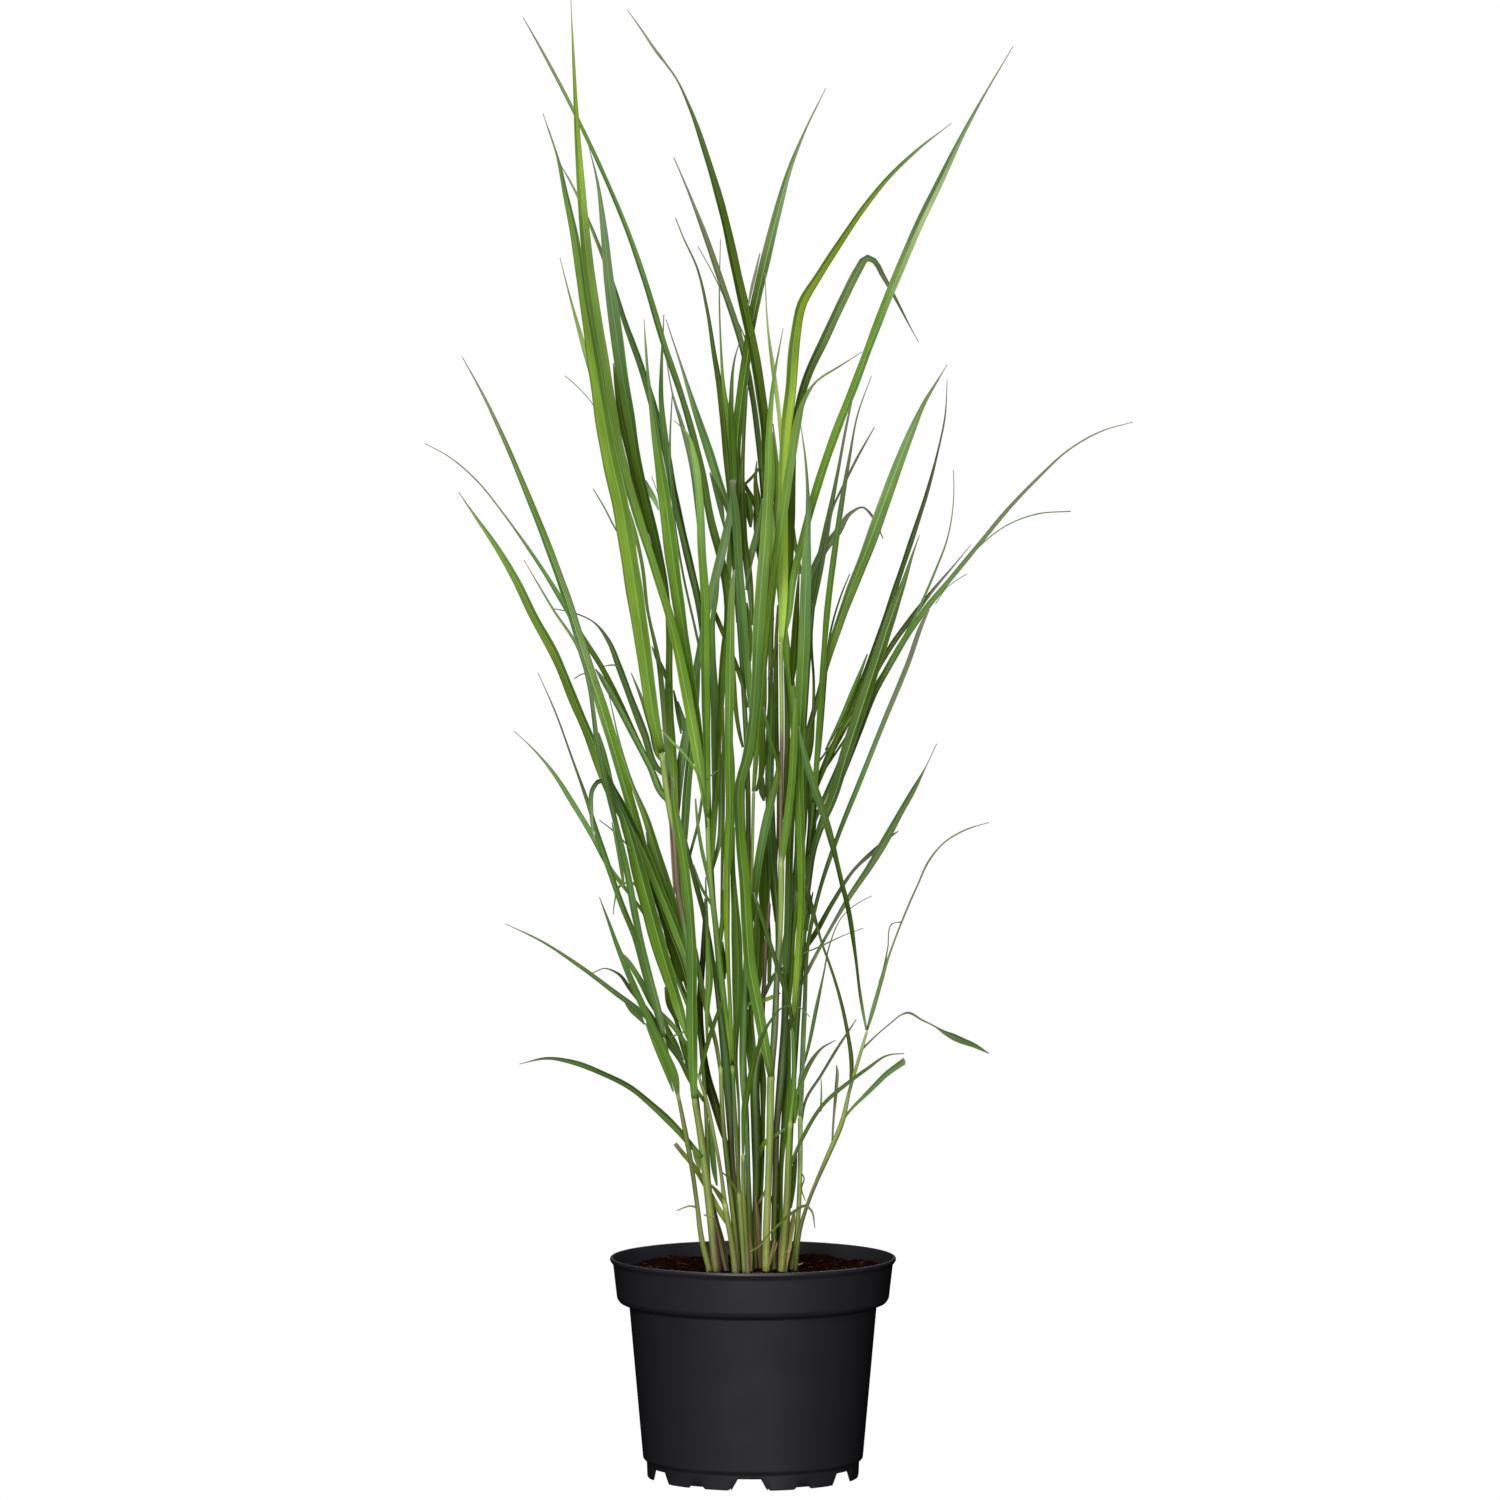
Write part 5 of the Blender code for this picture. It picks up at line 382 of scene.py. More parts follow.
# Strands too slight for a solid, from split tips to stray shoots: culm, step, depth at the tip | tones |
# points
STRAND_TABLE = """
stem_15 0 0 | M | 119 446 1.2, 112.5 445 0.3, 108 425 0.8, 104 404 2.5, 102 397 3
stem_15 0 -10 | G | 54.2 294 1.4, 54.8 308 1.4, 54.6 320 0.6
stem_14 0 -20 | M | 88 441 0.3, 72 435 0.7, 54 426.5 1.2, 38 420 1
stem_03 0 -30 | J | -123 528 0.4, -111 518.5 1.2, -98 505 1
stem_02 0 -60 | M | -66 353.5 1, -56 357.5 1.8
stem_06 0 -8 | G | -30 400 3.4, -22 470 4.4, -17.5 520 5, -17.5 545 5.5, -17 570 5, -17 596 1
stem_12 0 8 | D | 17 226 5, 18 192 4, 17 180 2
stem_09 0 -20 | G | -5.5 380 2, 8 383 3, 17 386.5 3, 22 389 1
stem_20 0 10 | F | 31 452 3, 41 520 3.4, 43 575 3, 49 620 0.6
stem_19 0 6 | O | 13 640 3, 19 675 2, 20 700 1
stem_16 0 60 | M | -98 745 1.4, -108 758 1.4, -120 780 1, -128 793 0.4
stem_16 0 60 | S | -122 850 1, -130 863 0.5, -140 874 0.6, -150 883 0.4
stem_17 0 70 | M | -70 770 1, -76 789 0.5, -81 803 0.3
stem_16 0 60 | Z | -126 638 1, -135 645 0.8, -143 641 0.4
stem_02 0 -50 | S | -38 560 1.2, -33 564 1, -28 568 0.6
stem_21 0 100 | M | 146 701 0.7, 155 714 0.5, 163 720 0.5, 171 725 0.3
stem_20 0 50 | J | 38 725 3, 36 738 2.5, 33 750 4, 31.5 765 3
stem_19 0 60 | D | -8 795 2, 0 803 2.4, 8 814 1
stem_10 0 -6 | K | 2.5 215 1.4, 4 219 1.6, 8 226 2, 10 231 1
stem_12 0 -20 | K | 14 172 1, 17 180 1.4, 19.5 188 1
stem_13 0 -30 | R | 34 171 1.4, 37 170.6 1.4, 40 171.5 0.8
stem_14 0 -16 | D | 37.5 246 1, 41 240 1, 39 232 1, 42 222 0.5
stem_02 0 -30 | K | -39.5 210.4 1.4, -36 210 1.8, -31 209 1.2
stem_07 0 2 | F | -37 350 1.5, -36.5 380 4.5, -35 400 6, -36 420 4, -37 450 2.5, -38 482 1
stem_17 0 14 | G | -11 248 1.5, -11.5 300 2, -14 340 3.5, -13 370 6, -12.5 400 8.5, -13 430 8.5,
  -14.5 460 6, -16 485 4, -15 522 1
stem_18 0 20 | G | -2 322 2, -3 345 5, -4 376 1
stem_19 0 20 | F | 5 176 3.4, 5.5 205 3.4, 6.5 230 3.2, 7.5 255 3.4, 8 290 3.4, 8 320 5, 7 342 1
stem_20 0 12 | F/G | 21.5 180 4, 22 205 4, 22 235 4, 23.5 262 4.4, 25.5 280 6.4, 27 300 8, 27 322 7,
  28.5 347 4, 29 368 1.4
stem_14 0 6 | D | 30.5 216 1.5, 31.5 226 3.4, 33 245 4.4, 35 264 1.2
stem_20 0 10 | F | 28.5 372 1.5, 30.5 400 3.4, 32 430 3.4, 34 452 3, 35.3 468 0.8
stem_16 0 12 | D | -22 172 5, -25.5 188 6, -29 204 4, -31 217 1.4
stem_03 0 8 | M | -29 234 1.5, -31 246 4, -33 266 4.6, -34.5 287 2
stem_03 0 20 | F | -49 318 2, -52 333 5, -57 350 4.4, -62 368 3, -67 380 5, -70 394 2.4
stem_16 0 10 | U | -63 468 1.4, -64.3 500 3, -65.3 520 3, -66.5 544 3.4, -69 566 1
stem_17 0 16 | M | -32 546 1.4, -31.3 590 4.4, -31 630 6, -32 660 4.6, -32 690 4, -29.5 706 3.6, -27 724 1
stem_17 0 6 | F | -25.5 440 1.6, -25 480 2, -24.3 510 2.6, -23.6 545 2.4, -24 580 2.4, -23.4 618 1
stem_18 0 16 | F | -8 586 2, -10.5 596 3, -12.5 607 3.4, -15 640 3, -15.5 668 1
stem_18 0 18 | F | 2.5 551 2, 6 562 4, 7.5 580 5.4, 8 602 4, 9.5 625 3, 10.5 655 0.8
stem_18 0 22 | F/D | 2 385 5, 3 400 8, 4 420 9, 4.5 444 8, 2 462 3, 0 472 1
stem_19 0 20 | F | 13 398 3, 13 425 4, 10 450 7, 9 468 9, 9.4 485 8, 10 500 4, 10.6 513 0.8
stem_19 0 26 | D | 17.5 480 1.4, 20 520 2.4, 20 560 2.6, 18.6 600 4, 18.2 640 4, 18.6 672 3, 19.5 700 0.8
stem_20 0 20 | D | 24.5 528 1.4, 26.5 560 4.4, 27.4 590 4.8, 27 620 3.8, 24.8 652 0.8
stem_20 0 26 | D | 31.5 636 1.6, 32.5 655 6, 33.5 675 6, 35 700 4, 36.8 727 1
stem_16 0 30 | F | -57.5 597 1.4, -60 613 3.4, -63.5 632 1.2
stem_16 0 26 | F | -57 398 2, -61 410 4.4, -66.5 426 4.4, -72.5 444 1
stem_01 0 -20 | G | -103.5 474 1.6, -105 486 2.8, -108 503 2.6, -113 526 1
stem_18 0 40 | D | -0.5 684 2.4, -2 710 5, -4.5 732 6.4, -7 752 5.4, -8 775 5.4, -8.6 800 4, -7.6 830 3,
  -6.4 855 3, -4 875 0.8
stem_19 0 44 | D | 6 728 1.4, 4 750 5, 3.6 768 7, 3.6 782 6, 2 800 3, 3 815 0.8
stem_18 0 50 | D | 4 772 3, 0 784 4, -5 793 3.4, -9 801 1
stem_19 0 30 | A | 15.4 782 1.6, 16 808 3, 15.4 838 0.8
stem_16 0 30 | D/F | -84 757 1, -90 780 2.6, -95.5 802 3, -100.5 825 4, -104.5 846 5.4, -108.5 870 3.8,
  -111.5 893 1
stem_17 0 60 | G | -18.4 716 1.4, -19 735 4.4, -18.4 755 1
stem_02 0 -8 | U/V | -21 165 4, -24.5 180 5, -28 196 4, -32 214 1
stem_10 0 -4 | R/U | 6 165 5, 5 185 4.4, 4 205 4, 2 225 1
stem_12 0 -2 | U/V | 22 165 4, 23 185 4.4, 25 205 3, 26.5 224 1
stem_13 0 -16 | K | 25.5 165 3, 28 176 2.4, 31 186 0.8
stem_11 0 -26 | R | 11 165 3, 14.5 178 2.4, 17.5 190 0.8
stem_08 0 -12 | R | -3 165 3, -2 180 3, -2.6 196 0.8
stem_16 0 22 | A | -56 388 1.4, -64 424 6, -71 450 8, -78 482 7, -85 518 2
stem_21 0 10 | J/S | 19.5 398 1.4, 24 422 4, 29 446 4.4, 34.5 471 1
stem_18 0 30 | J | -5.5 712 1.4, -2.5 735 5, 3 757 5, 8 785 1.4
stem_16 0 34 | J | -67 636 1.6, -72 648 3.6, -77 658 3, -81 667 0.8
stem_17 0 26 | D | -4 618 1.4, -11 645 3.6, -20 668 3.6, -31 695 3, -34.5 704 0.8
stem_21 0 60 | G/D | 58 584 1.4, 71 610 3.8, 81 634 3.8, 91.5 661 1.2
stem_16 0 34 | G | -64 310 1.4, -71 330 4, -78 347 4, -86 365 1.6
stem_17 0 60 | J | -23 762 1.4, -26 779 4.6, -30 792 3.6, -34.5 806 1
stem_16 0 30 | G | -56 335 1.4, -62 347 4.8, -67 356 5, -71 367 1.6
stem_16 0 70 | M | -112.5 558 1.4, -117 573 3.8, -120 584 3.6, -123.5 598 1
stem_18 0 24 | D/F | -2 655 1.4, -2.4 674 4, -3.4 688 3.6, -4.8 702 1
stem_18 0 34 | J/G | -2 762 2, -2.8 774 6, -3.3 781 5, -5.5 790 1.4
stem_13 0 4 | R/C | 28.5 180 3, 30.5 198 4.8, 32.2 207 3.6, 33.2 215 1
stem_18 0 60 | Z | -4 938 1, -0.6 955 2.4, 2.3 967 2, 5.6 981 0.8
stem_16 0 60 | S | -75.5 776 1.2, -79 785 4, -82.6 791 4.6, -86 800 1
stem_17 0 16 | G | -22.6 400 1.4, -23.2 412 3.8, -24 420 3.8, -24.4 430 1.2
stem_21 0 6 | A/Q | 33 284 1.6, 34 294 4.6, 34.4 299 3.8, 35 308 1.2
stem_16 0 40 | J | -87 364 1.4, -92 371 4.8, -97 375.5 4.8, -102.5 381 1.2
stem_19 0 24 | J | 8.6 543 1.6, 7.4 550 5.2, 7.3 555 5.2, 8.2 562 1.4
stem_16 0 16 | E | -42.6 246 1.4, -44 253 4.2, -45.4 258 5, -48.6 264 1.4
stem_16 0 30 | J | -56 599 1.4, -56.4 609 4.2, -57.7 614 3.2, -60 623 1
stem_15 0 -20 | S | -106 651 0.8, -113 652 1.2, -119 651 0.5
stem_13 0 14 | F | 48 470 1, 42 440 4, 44 455 2
"""

Culm = namedtuple("Culm", "front lean collars tones points")
Blade = namedtuple("Blade", "key turn culm step tip tones points")
Placed = namedtuple("Placed", "name seen half depth thick")
Form = namedtuple("Form", "points faces maps attributes")


def table_rows(text):
    """Fields of each row of a table."""
    whole = text.replace("\n  ", " ").strip()
    return [[field.strip() for field in row.split("|")] for row in whole.split("\n")]


def numbers(field):
    """Points of a field, each the numbers between two commas."""
    return [tuple(float(n) for n in point.split()) for point in field.split(",")]


def read_culms(text):
    """Culms of a table by the names of their solids."""
    culms = {}
    for head, collars, tones, points in table_rows(text):
        name, front, lean = head.split()
        culms[name] = Culm(float(front), float(lean), numbers(collars)[0], tones, numbers(points))
    return culms


def read_blades(text, first=0, turns=(-1, 1)):
    """Blades of a table, turned by turns to one side and the other.

    A long blade is known by the name of its solid, and a small one by its number, counted from first.
    """
    blades = []
    for k, (head, tones, points) in enumerate(table_rows(text)):
        *name, culm, step, tip = head.split()
        key = name[0] if name else first + k
        blades.append(Blade(key, turns[k % 2], culm, float(step), float(tip), tones, numbers(points)))
    return blades


CULMS = read_culms(CULM_TABLE)
LONG_BLADES = read_blades(LONG_BLADE_TABLE)
SMALL_BLADES = read_blades(SMALL_BLADE_TABLE)
STRANDS = read_blades(STRAND_TABLE, 100, (1, 1))


def is_small(key):
    """Whether a key is that of a small blade or strand."""
    return isinstance(key, int)


def chance(key):
    """Number that varies one blade from the next."""
    return key + 5 if is_small(key) else sum(ord(c) * (k + 3) for k, c in enumerate(key))


def smooth(points, count):
    """Evenly spaced points on a cubic curve through the stated ones, with their widths."""
    p = np.array(points, float)
    t = np.concatenate([[0.0], np.cumsum(np.hypot(*np.diff(p[:, :2], axis=0).T))])
    m = np.gradient(p, t, axis=0)
    s = np.linspace(0.0, t[-1], count)
    i = np.clip(np.searchsorted(t, s, side="right") - 1, 0, len(t) - 2)
    h = (t[i + 1] - t[i])[:, None]
    u = (s - t[i])[:, None] / h
    curve = ((2 * u**3 - 3 * u**2 + 1) * p[i] + (u**3 - 2 * u**2 + u) * h * m[i]
             + (3 * u**2 - 2 * u**3) * p[i + 1] + (u**3 - u**2) * h * m[i + 1])
    low = np.minimum(p[i, 2], p[i + 1, 2])
    curve[:, 2] = np.maximum(curve[:, 2], low)
    return curve


def apart_from(curve, place):
    """Seen distance of each point of a curve from one place."""
    return np.hypot(*(curve[:, :2] - place).T)


def as_seen(x, z, y):
    """Point at depth y on the line of sight that meets the plane of the pot's axis at (x, z)."""
    k = (y - EYE[1]) / -EYE[1]
    return np.stack([EYE[0] + (x - EYE[0]) * k, y, EYE[2] + (z - EYE[2]) * k], axis=-1)


def unit(v):
    """Vectors scaled to length one."""
    return v / np.linalg.norm(v, axis=-1, keepdims=True)


def carried(middle):
    """Directions along a line, across it as seen and towards the viewpoint, and the length so far."""
    along = unit(np.gradient(middle, axis=0))
    side = unit(np.cross(along, unit(EYE - middle)))
    length = np.concatenate([[0.0], np.cumsum(np.linalg.norm(np.diff(middle, axis=0), axis=1))])
    return along, side, np.cross(side, along), length


def culm_path(name):
    """Seen curve (x, z, width) and depth along one culm."""
    culm = CULMS[name]
    curve = smooth(culm.points, SAMPLES)
    rise = (curve[:, 1] - curve[0, 1]) / (curve[-1, 1] - curve[0, 1])
    return curve, culm.front + culm.lean * np.clip(rise, 0.0, 1.0) ** 1.3


def spread(curve, key):
    """Real width along a blade and the angle that turns it out of the view's plane.

    A small blade keeps one angle. A long one clasps its culm, is widest in its lower half, is drawn
    out to the tip, and turns where it is seen narrower than that.
    """
    seen = np.maximum(curve[:, 2], LEAST_SEEN_WIDTH)
    if is_small(key):
        share = key * GOLDEN_SECTION % 1.0
        roll = np.full(len(curve), math.radians(SMALL_ROLL + SMALL_ROLL_SPAN * share))
        return seen / np.cos(roll), roll
    t = np.linspace(0.0, 1.0, len(curve))
    profile = np.minimum(0.55 + 1.8 * t, 1.0) * (1.0 - np.clip((t - 0.45) / 0.55, 0.0, 1.0) ** 1.7)
    clasp = np.clip(t / CLASP, 0.0, 1.0)
    full = max(FULLNESS * seen.max(), LEAST_FULL_WIDTH) * profile
    full = np.minimum(full, MOST_WIDENING * seen + LEAST_SEEN_WIDTH)
    width = seen + np.maximum(full - seen, 0.0) * clasp
    roll = np.arccos(np.clip(seen / width, 0.0, 1.0))
    window = 2 * EVENED_SAMPLES + 1
    padded = np.pad(roll, EVENED_SAMPLES, mode="edge")
    even = np.convolve(padded, np.ones(window) / window, mode="valid")
    return width, even * clasp


def crossings(blade, curve, half, thick, placed):
    """Where a blade is seen to meet what is there: its sample, the depth there and the gap it needs."""
    found = []
    for other in placed:
        apart = np.hypot(curve[:, None, 0] - other.seen[:, 0], curve[:, None, 1] - other.seen[:, 1])
        touch = apart < half[:, None] + other.half + CLEARANCE
        if other.name == blade.culm:
            if is_small(blade.key):
                continue
            touch &= apart_from(curve, curve[0, :2])[:, None] > ROOT_LENGTH
        i, j = np.nonzero(touch)
        found.append((i, other.depth[j], thick[i] + other.thick[j] + CLEARANCE))
    return [np.concatenate(column) for column in zip(*found)]


def clear_course(blade, base, curve, crossed):
    """Depth along a blade from its base to the sought tip, or the nearest course that passes clear."""
    i, there, need = crossed
    t = np.linspace(0.0, 1.0, SAMPLES)
    pace = np.hypot(*(curve[1, :2] - curve[0, :2]))
    best, least = None, np.inf
    for swing, power, bulge in itertools.product(SWINGS, POWERS, BULGES):
        y = base + (blade.tip + swing - base) * t**power + bulge * np.sin(math.pi * t)
        short = np.clip(need - np.abs(y[i] - there), 0.0, None)
        far = max(0.0, np.abs(y).max() - REACH)
        steep = max(0.0, np.abs(np.diff(y)).max() / pace - STEEPEST)
        cost = SHORT_COST * short.sum() + SWING_COST * abs(swing) + BULGE_COST * abs(bulge)
        cost += POWER_COST * abs(power - POWERS[0]) + FAR_COST * far + STEEP_COST * steep
        if cost < least:
            best, least = y, cost
    return best


@functools.cache
def settled():
    """Depth along every blade: the longest first, each clear of those before it, and the strands last,
    each from the thing that it is seen to meet."""
    placed, depths = [], {}
    for name in CULMS:
        curve, depth = culm_path(name)
        placed.append(Placed(name, curve[:, :2], curve[:, 2] / 2, depth, curve[:, 2] / 2))

    def span(blade):
        first, last = blade.points[0], blade.points[-1]
        return -abs(last[1] - first[1]) - abs(last[0] - first[0])

    for blade in sorted(LONG_BLADES + SMALL_BLADES, key=span):
        curve = smooth(blade.points, SAMPLES)
        width, roll = spread(curve, blade.key)
        half = width / 2 * np.cos(roll) + MARGIN
        thick = width / 2 * np.sin(roll) + np.maximum(LEAST_KEEL, KEEL * width) * np.cos(roll)
        culm, culm_depth = culm_path(blade.culm)
        base = culm_depth[np.argmin(apart_from(culm, curve[0, :2]))] + blade.step
        depth = clear_course(blade, base, curve, crossings(blade, curve, half, thick, placed))
        depths[blade.key] = depth
        name = blade.culm if is_small(blade.key) else blade.key
        placed.append(Placed(name, curve[:, :2], half, depth, thick))
    for strand in STRANDS:
        curve = smooth(strand.points, SAMPLES)
        start = np.array(strand.points[0][:2])
        culm, culm_depth = culm_path(strand.culm)
        away = apart_from(culm, start)
        base = culm_depth[np.argmin(away)]
        if away.min() > STRAND_FREE:
            base = base + (strand.tip - base) * STRAND_PART
        there = np.concatenate([other.depth for other in placed])
        gap = np.concatenate([apart_from(other.seen, start) - other.half for other in placed])
        base = there[np.argmin(GAP_COST * np.maximum(gap, 0.0) + np.abs(there - base))]
        furthest = STRAND_STEEPEST * np.hypot(*np.diff(curve[:, :2], axis=0).T).sum()
        t = np.linspace(0.0, 1.0, SAMPLES)
        depth = base + np.clip(strand.tip - base, -furthest, furthest) * t
        depths[strand.key] = depth
        placed.append(Placed(strand.culm, curve[:, :2], curve[:, 2] / 2, depth, curve[:, 2] / 2))
    return depths


def linear(code):
    """sRGB hex to linear RGB."""
    s = np.array([int(code[k:k + 2], 16) for k in (1, 3, 5)]) / 255.0
    return np.where(s <= 0.04045, s / 12.92, ((s + 0.055) / 1.055) ** 2.4)


def fill(tree, node, sockets):
    """Gives each socket of a node its value, or a link where it is given another node's output."""
    for socket, value in sockets.items():
        if isinstance(value, bpy.types.NodeSocket):
            tree.links.new(value, node.inputs[socket])
        else:
            node.inputs[socket].default_value = value


def add(tree, kind, sockets=None, **settings):
    """Outputs of one new node with its settings, its sockets' values and the links into them."""
    node = tree.nodes.new("ShaderNode" + kind)
    for name, value in settings.items():
        setattr(node, name, value)
    fill(tree, node, sockets or {})
    return node.outputs


def new_material(name, sockets):
    """Material, its node tree and its shader with the stated values."""
    material = bpy.data.materials.new(name)
    material.use_nodes = True
    tree = material.node_tree
    shader = tree.nodes["Principled BSDF"]
    fill(tree, shader, sockets)
    return material, tree, shader


def new_object(name, points, faces, material, smooth_faces=True):
    """Mesh object at the origin, from points in metres and groups of faces."""
    mesh = bpy.data.meshes.new(name)
    mesh.from_pydata(points.tolist(), [], [face for group in faces for face in group.tolist()])
    mesh.materials.append(material)
    mesh.polygons.foreach_set("use_smooth", np.full(len(mesh.polygons), smooth_faces))
    piece = bpy.data.objects.new(name, mesh)
    bpy.context.scene.collection.objects.link(piece)
    return piece


def made(name, form, material, smooth_faces=True):
    """Piece of the part from a form in millimetres off the pot's axis, with its maps."""
    points = (form.points + np.array([POT_X, 0.0, 0.0])) * 0.001
    piece = new_object(name, points, form.faces, material, smooth_faces)
    mesh = piece.data
    for key, places in form.maps.items():
        mesh.uv_layers.new(name=key).uv.foreach_set("vector", places.reshape(-1).astype(np.float32))
    for key, values in form.attributes.items():
        if values.ndim == 2:
            colours = np.concatenate([values, np.ones((len(values), 1))], axis=1)
            layer = mesh.attributes.new(key, "FLOAT_COLOR", "POINT")
            layer.data.foreach_set("color", colours.reshape(-1).astype(np.float32))
        else:
            mesh.attributes.new(key, "FLOAT", "POINT").data.foreach_set("value", values.astype(np.float32))
    mesh.update()
    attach(piece, "root")
    return piece


def dressed(name, form, material, node):
    """Piece that stands for a solid, which it hides."""
    piece = made(name, form, material)
    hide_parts(node)


def joined(forms):
    """Several forms as one: points and attributes stacked, faces shifted, bake maps side by side."""
    start = np.cumsum([0] + [len(form.points) for form in forms])
    faces = np.concatenate([form.faces[0] + s for form, s in zip(forms, start)])
    maps = {}
    if forms[0].maps:
        share, margin, slots = np.array([0.94, 0.98]), np.array([0.03, 0.01]), np.array([len(forms), 1.0])
        maps["length"] = np.concatenate([form.maps["length"] for form in forms])
        maps["OFBake"] = np.concatenate([(form.maps["OFBake"] * share + margin + np.array([k, 0.0])) / slots
                                         for k, form in enumerate(forms)])
    attributes = {key: np.concatenate([form.attributes[key] for form in forms])
                  for key in forms[0].attributes}
    return Form(np.concatenate([form.points for form in forms]), [faces], maps, attributes)


def grid_faces(rows, columns):
    """Quads of a tube of rows x columns points that closes round its columns."""
    r, c = np.meshgrid(np.arange(rows - 1), np.arange(columns), indexing="ij")
    n = (c + 1) % columns
    return np.stack([r * columns + c, r * columns + n, (r + 1) * columns + n, (r + 1) * columns + c],
                    axis=-1).reshape(-1, 4)


def end_fans(rows, columns):
    """Triangles from the first and the last ring of such a tube to a point beyond each."""
    c = np.arange(columns)
    n, count, last = (c + 1) % columns, rows * columns, (rows - 1) * columns
    low = np.stack([n, c, np.full(columns, count)], axis=-1)
    high = np.stack([last + c, last + n, np.full(columns, count + 1)], axis=-1)
    return np.concatenate([low, high])


def strip_maps(rows, columns, across, along):
    """Corner maps of such a tube: its size in metres, and a bake map cut into several lengths."""
    r, c = np.meshgrid(np.arange(rows - 1), np.arange(columns), indexing="ij")
    corner_r = np.stack([r, r, r + 1, r + 1], axis=-1)
    corner_c = np.stack([c, c + 1, c + 1, c], axis=-1)
    width = np.concatenate([across, across[:, :1] + across[:, -1:] * (1 + 1 / columns)], axis=1)
    length = np.stack([width[corner_r, corner_c], along[corner_r]], axis=-1).reshape(-1, 2) * 0.001
    band = np.minimum(r * BAKE_CUTS // (rows - 1), BAKE_CUTS - 1)
    first = np.ceil(band * (rows - 1) / BAKE_CUTS)
    span = np.ceil((band + 1) * (rows - 1) / BAKE_CUTS) - first
    u = corner_c / columns * 0.9 + 0.05
    v = (corner_r - first[..., None]) / span[..., None]
    bake = np.stack([(u + band[..., None]) / BAKE_CUTS, v * 0.98 + 0.01], axis=-1).reshape(-1, 2)
    return length, bake


def tone_along(tones, at):
    """Colours of the left and right half at each place, from the letters of a row of tones, where the halves
    differ by painted light and shade.
    """
    places, left, right = [], [], []
    for word in tones.split():
        if word.startswith("r"):
            continue
        letters = word.lstrip("0123456789.")
        places.append(float(word[:len(word) - len(letters)] or 0.0))
        first, _, second = letters.partition("/")
        left.append(linear(TONES[first]))
        right.append(linear(TONES[second or first]))
    return tuple(np.stack([np.interp(at, places, channel) for channel in np.array(side).T], axis=-1)
                 for side in (left, right))


def midrib_of(tones):
    """How much paler the midrib is, from the r in a row of tones."""
    words = [word for word in tones.split() if word.startswith("r")]
    return int(words[0][1:]) / 8.0 if words else 0.2


def blade_form(blade, depth, settings):
    """Thin shell carried along a blade's curve.

    For u from -1 to 1 across and t along, the point is middle(t) + side(t) half(t) u
    - front(t) keel(t) (1 - sqrt(u^2 + e^2) + e), with a slow wave of the edges; the back lies a
    leaf's thickness behind it. Side and front are turned by the blade's roll about its length.
    """
    curve = smooth(blade.points, SAMPLES)
    width, roll = spread(curve, blade.key)
    roll = roll * blade.turn
    middle = as_seen(curve[:, 0], curve[:, 1], depth)
    _, side, front, reach = carried(middle)
    c, s = np.cos(roll)[:, None], np.sin(roll)[:, None]
    side, front = side * c + front * s, front * c - side * s
    t = np.linspace(0.0, 1.0, SAMPLES)
    half = (width / 2)[:, None]
    keel = (np.maximum(LEAST_KEEL, KEEL * width) * settings.fold)[:, None]
    u, e = ACROSS, KEEL_ROUNDING
    phase = 2.4 * (chance(blade.key) % 7)
    wave = WAVE_SHARE * width * np.sin(reach * 2 * math.pi / WAVE_LENGTH + phase) * np.sin(math.pi * t)
    behind = keel * (1.0 - np.sqrt(u**2 + e**2) + e) + wave[:, None] * (u**2 * np.sign(u))
    sheet = middle[:, None] + side[:, None] * (half * u)[..., None] - front[:, None] * behind[..., None]
    thick = settings.thickness * (0.4 + 0.6 * (1.0 - u**2))[:, None]
    upper = sheet + front[:, None] * thick * 0.5
    lower = sheet - front[:, None] * thick * 0.5
    ring = np.concatenate([upper, lower[:, ::-1]], axis=1)

    n, columns = len(u), 2 * len(u)
    j = np.arange(n - 1)
    cap = np.stack([j, columns - 1 - j, columns - 2 - j, j + 1], axis=-1)
    faces = np.concatenate([grid_faces(SAMPLES, columns), cap, ((SAMPLES - 1) * columns + cap)[:, ::-1]])
    place = np.concatenate([u, u[::-1]])
    across = place * half + 40.0
    across[:, n:] += 30.0
    length, bake = strip_maps(SAMPLES, columns, across, reach)
    spot = np.tile(np.array([[0, 0], [1, 0], [1, 1], [0, 1]]) * 0.002 + 0.004, (2 * len(cap), 1))

    # the two halves take their own tones and casts: painted light on one half of the fold, painted shade on
    # the other
    left, right = tone_along(blade.tones, t * 100.0)
    share = np.clip(place * 6.0 + 0.5, 0.0, 1.0)[None, :, None]
    painted_half_light = (PAINTED_COOL_SHADE_HALF, PAINTED_WARM_LIGHT_HALF) if chance(blade.key) % 2 else (PAINTED_WARM_LIGHT_HALF, PAINTED_COOL_SHADE_HALF)
    tone = left[:, None] * painted_half_light[0] * (1 - share) + right[:, None] * painted_half_light[1] * share
    shade = 1.0 + 0.07 * math.sin(3.1 * chance(blade.key))
    dry = np.clip((t - DRY_FROM) / (1 - DRY_FROM), 0.0, 1.0) ** 2
    return Form(
        ring.reshape(-1, 3), [faces],
        {"length": np.concatenate([length, np.zeros_like(spot)]), "OFBake": np.concatenate([bake, spot])},
        {"tone": (tone * shade).reshape(-1, 3), "across": np.tile(place, SAMPLES),
         "rib": np.repeat(midrib_of(blade.tones) * (1 - dry), columns),
         "under": np.tile(np.repeat([0.0, 1.0], n), SAMPLES), "dry": np.repeat(dry, columns)})


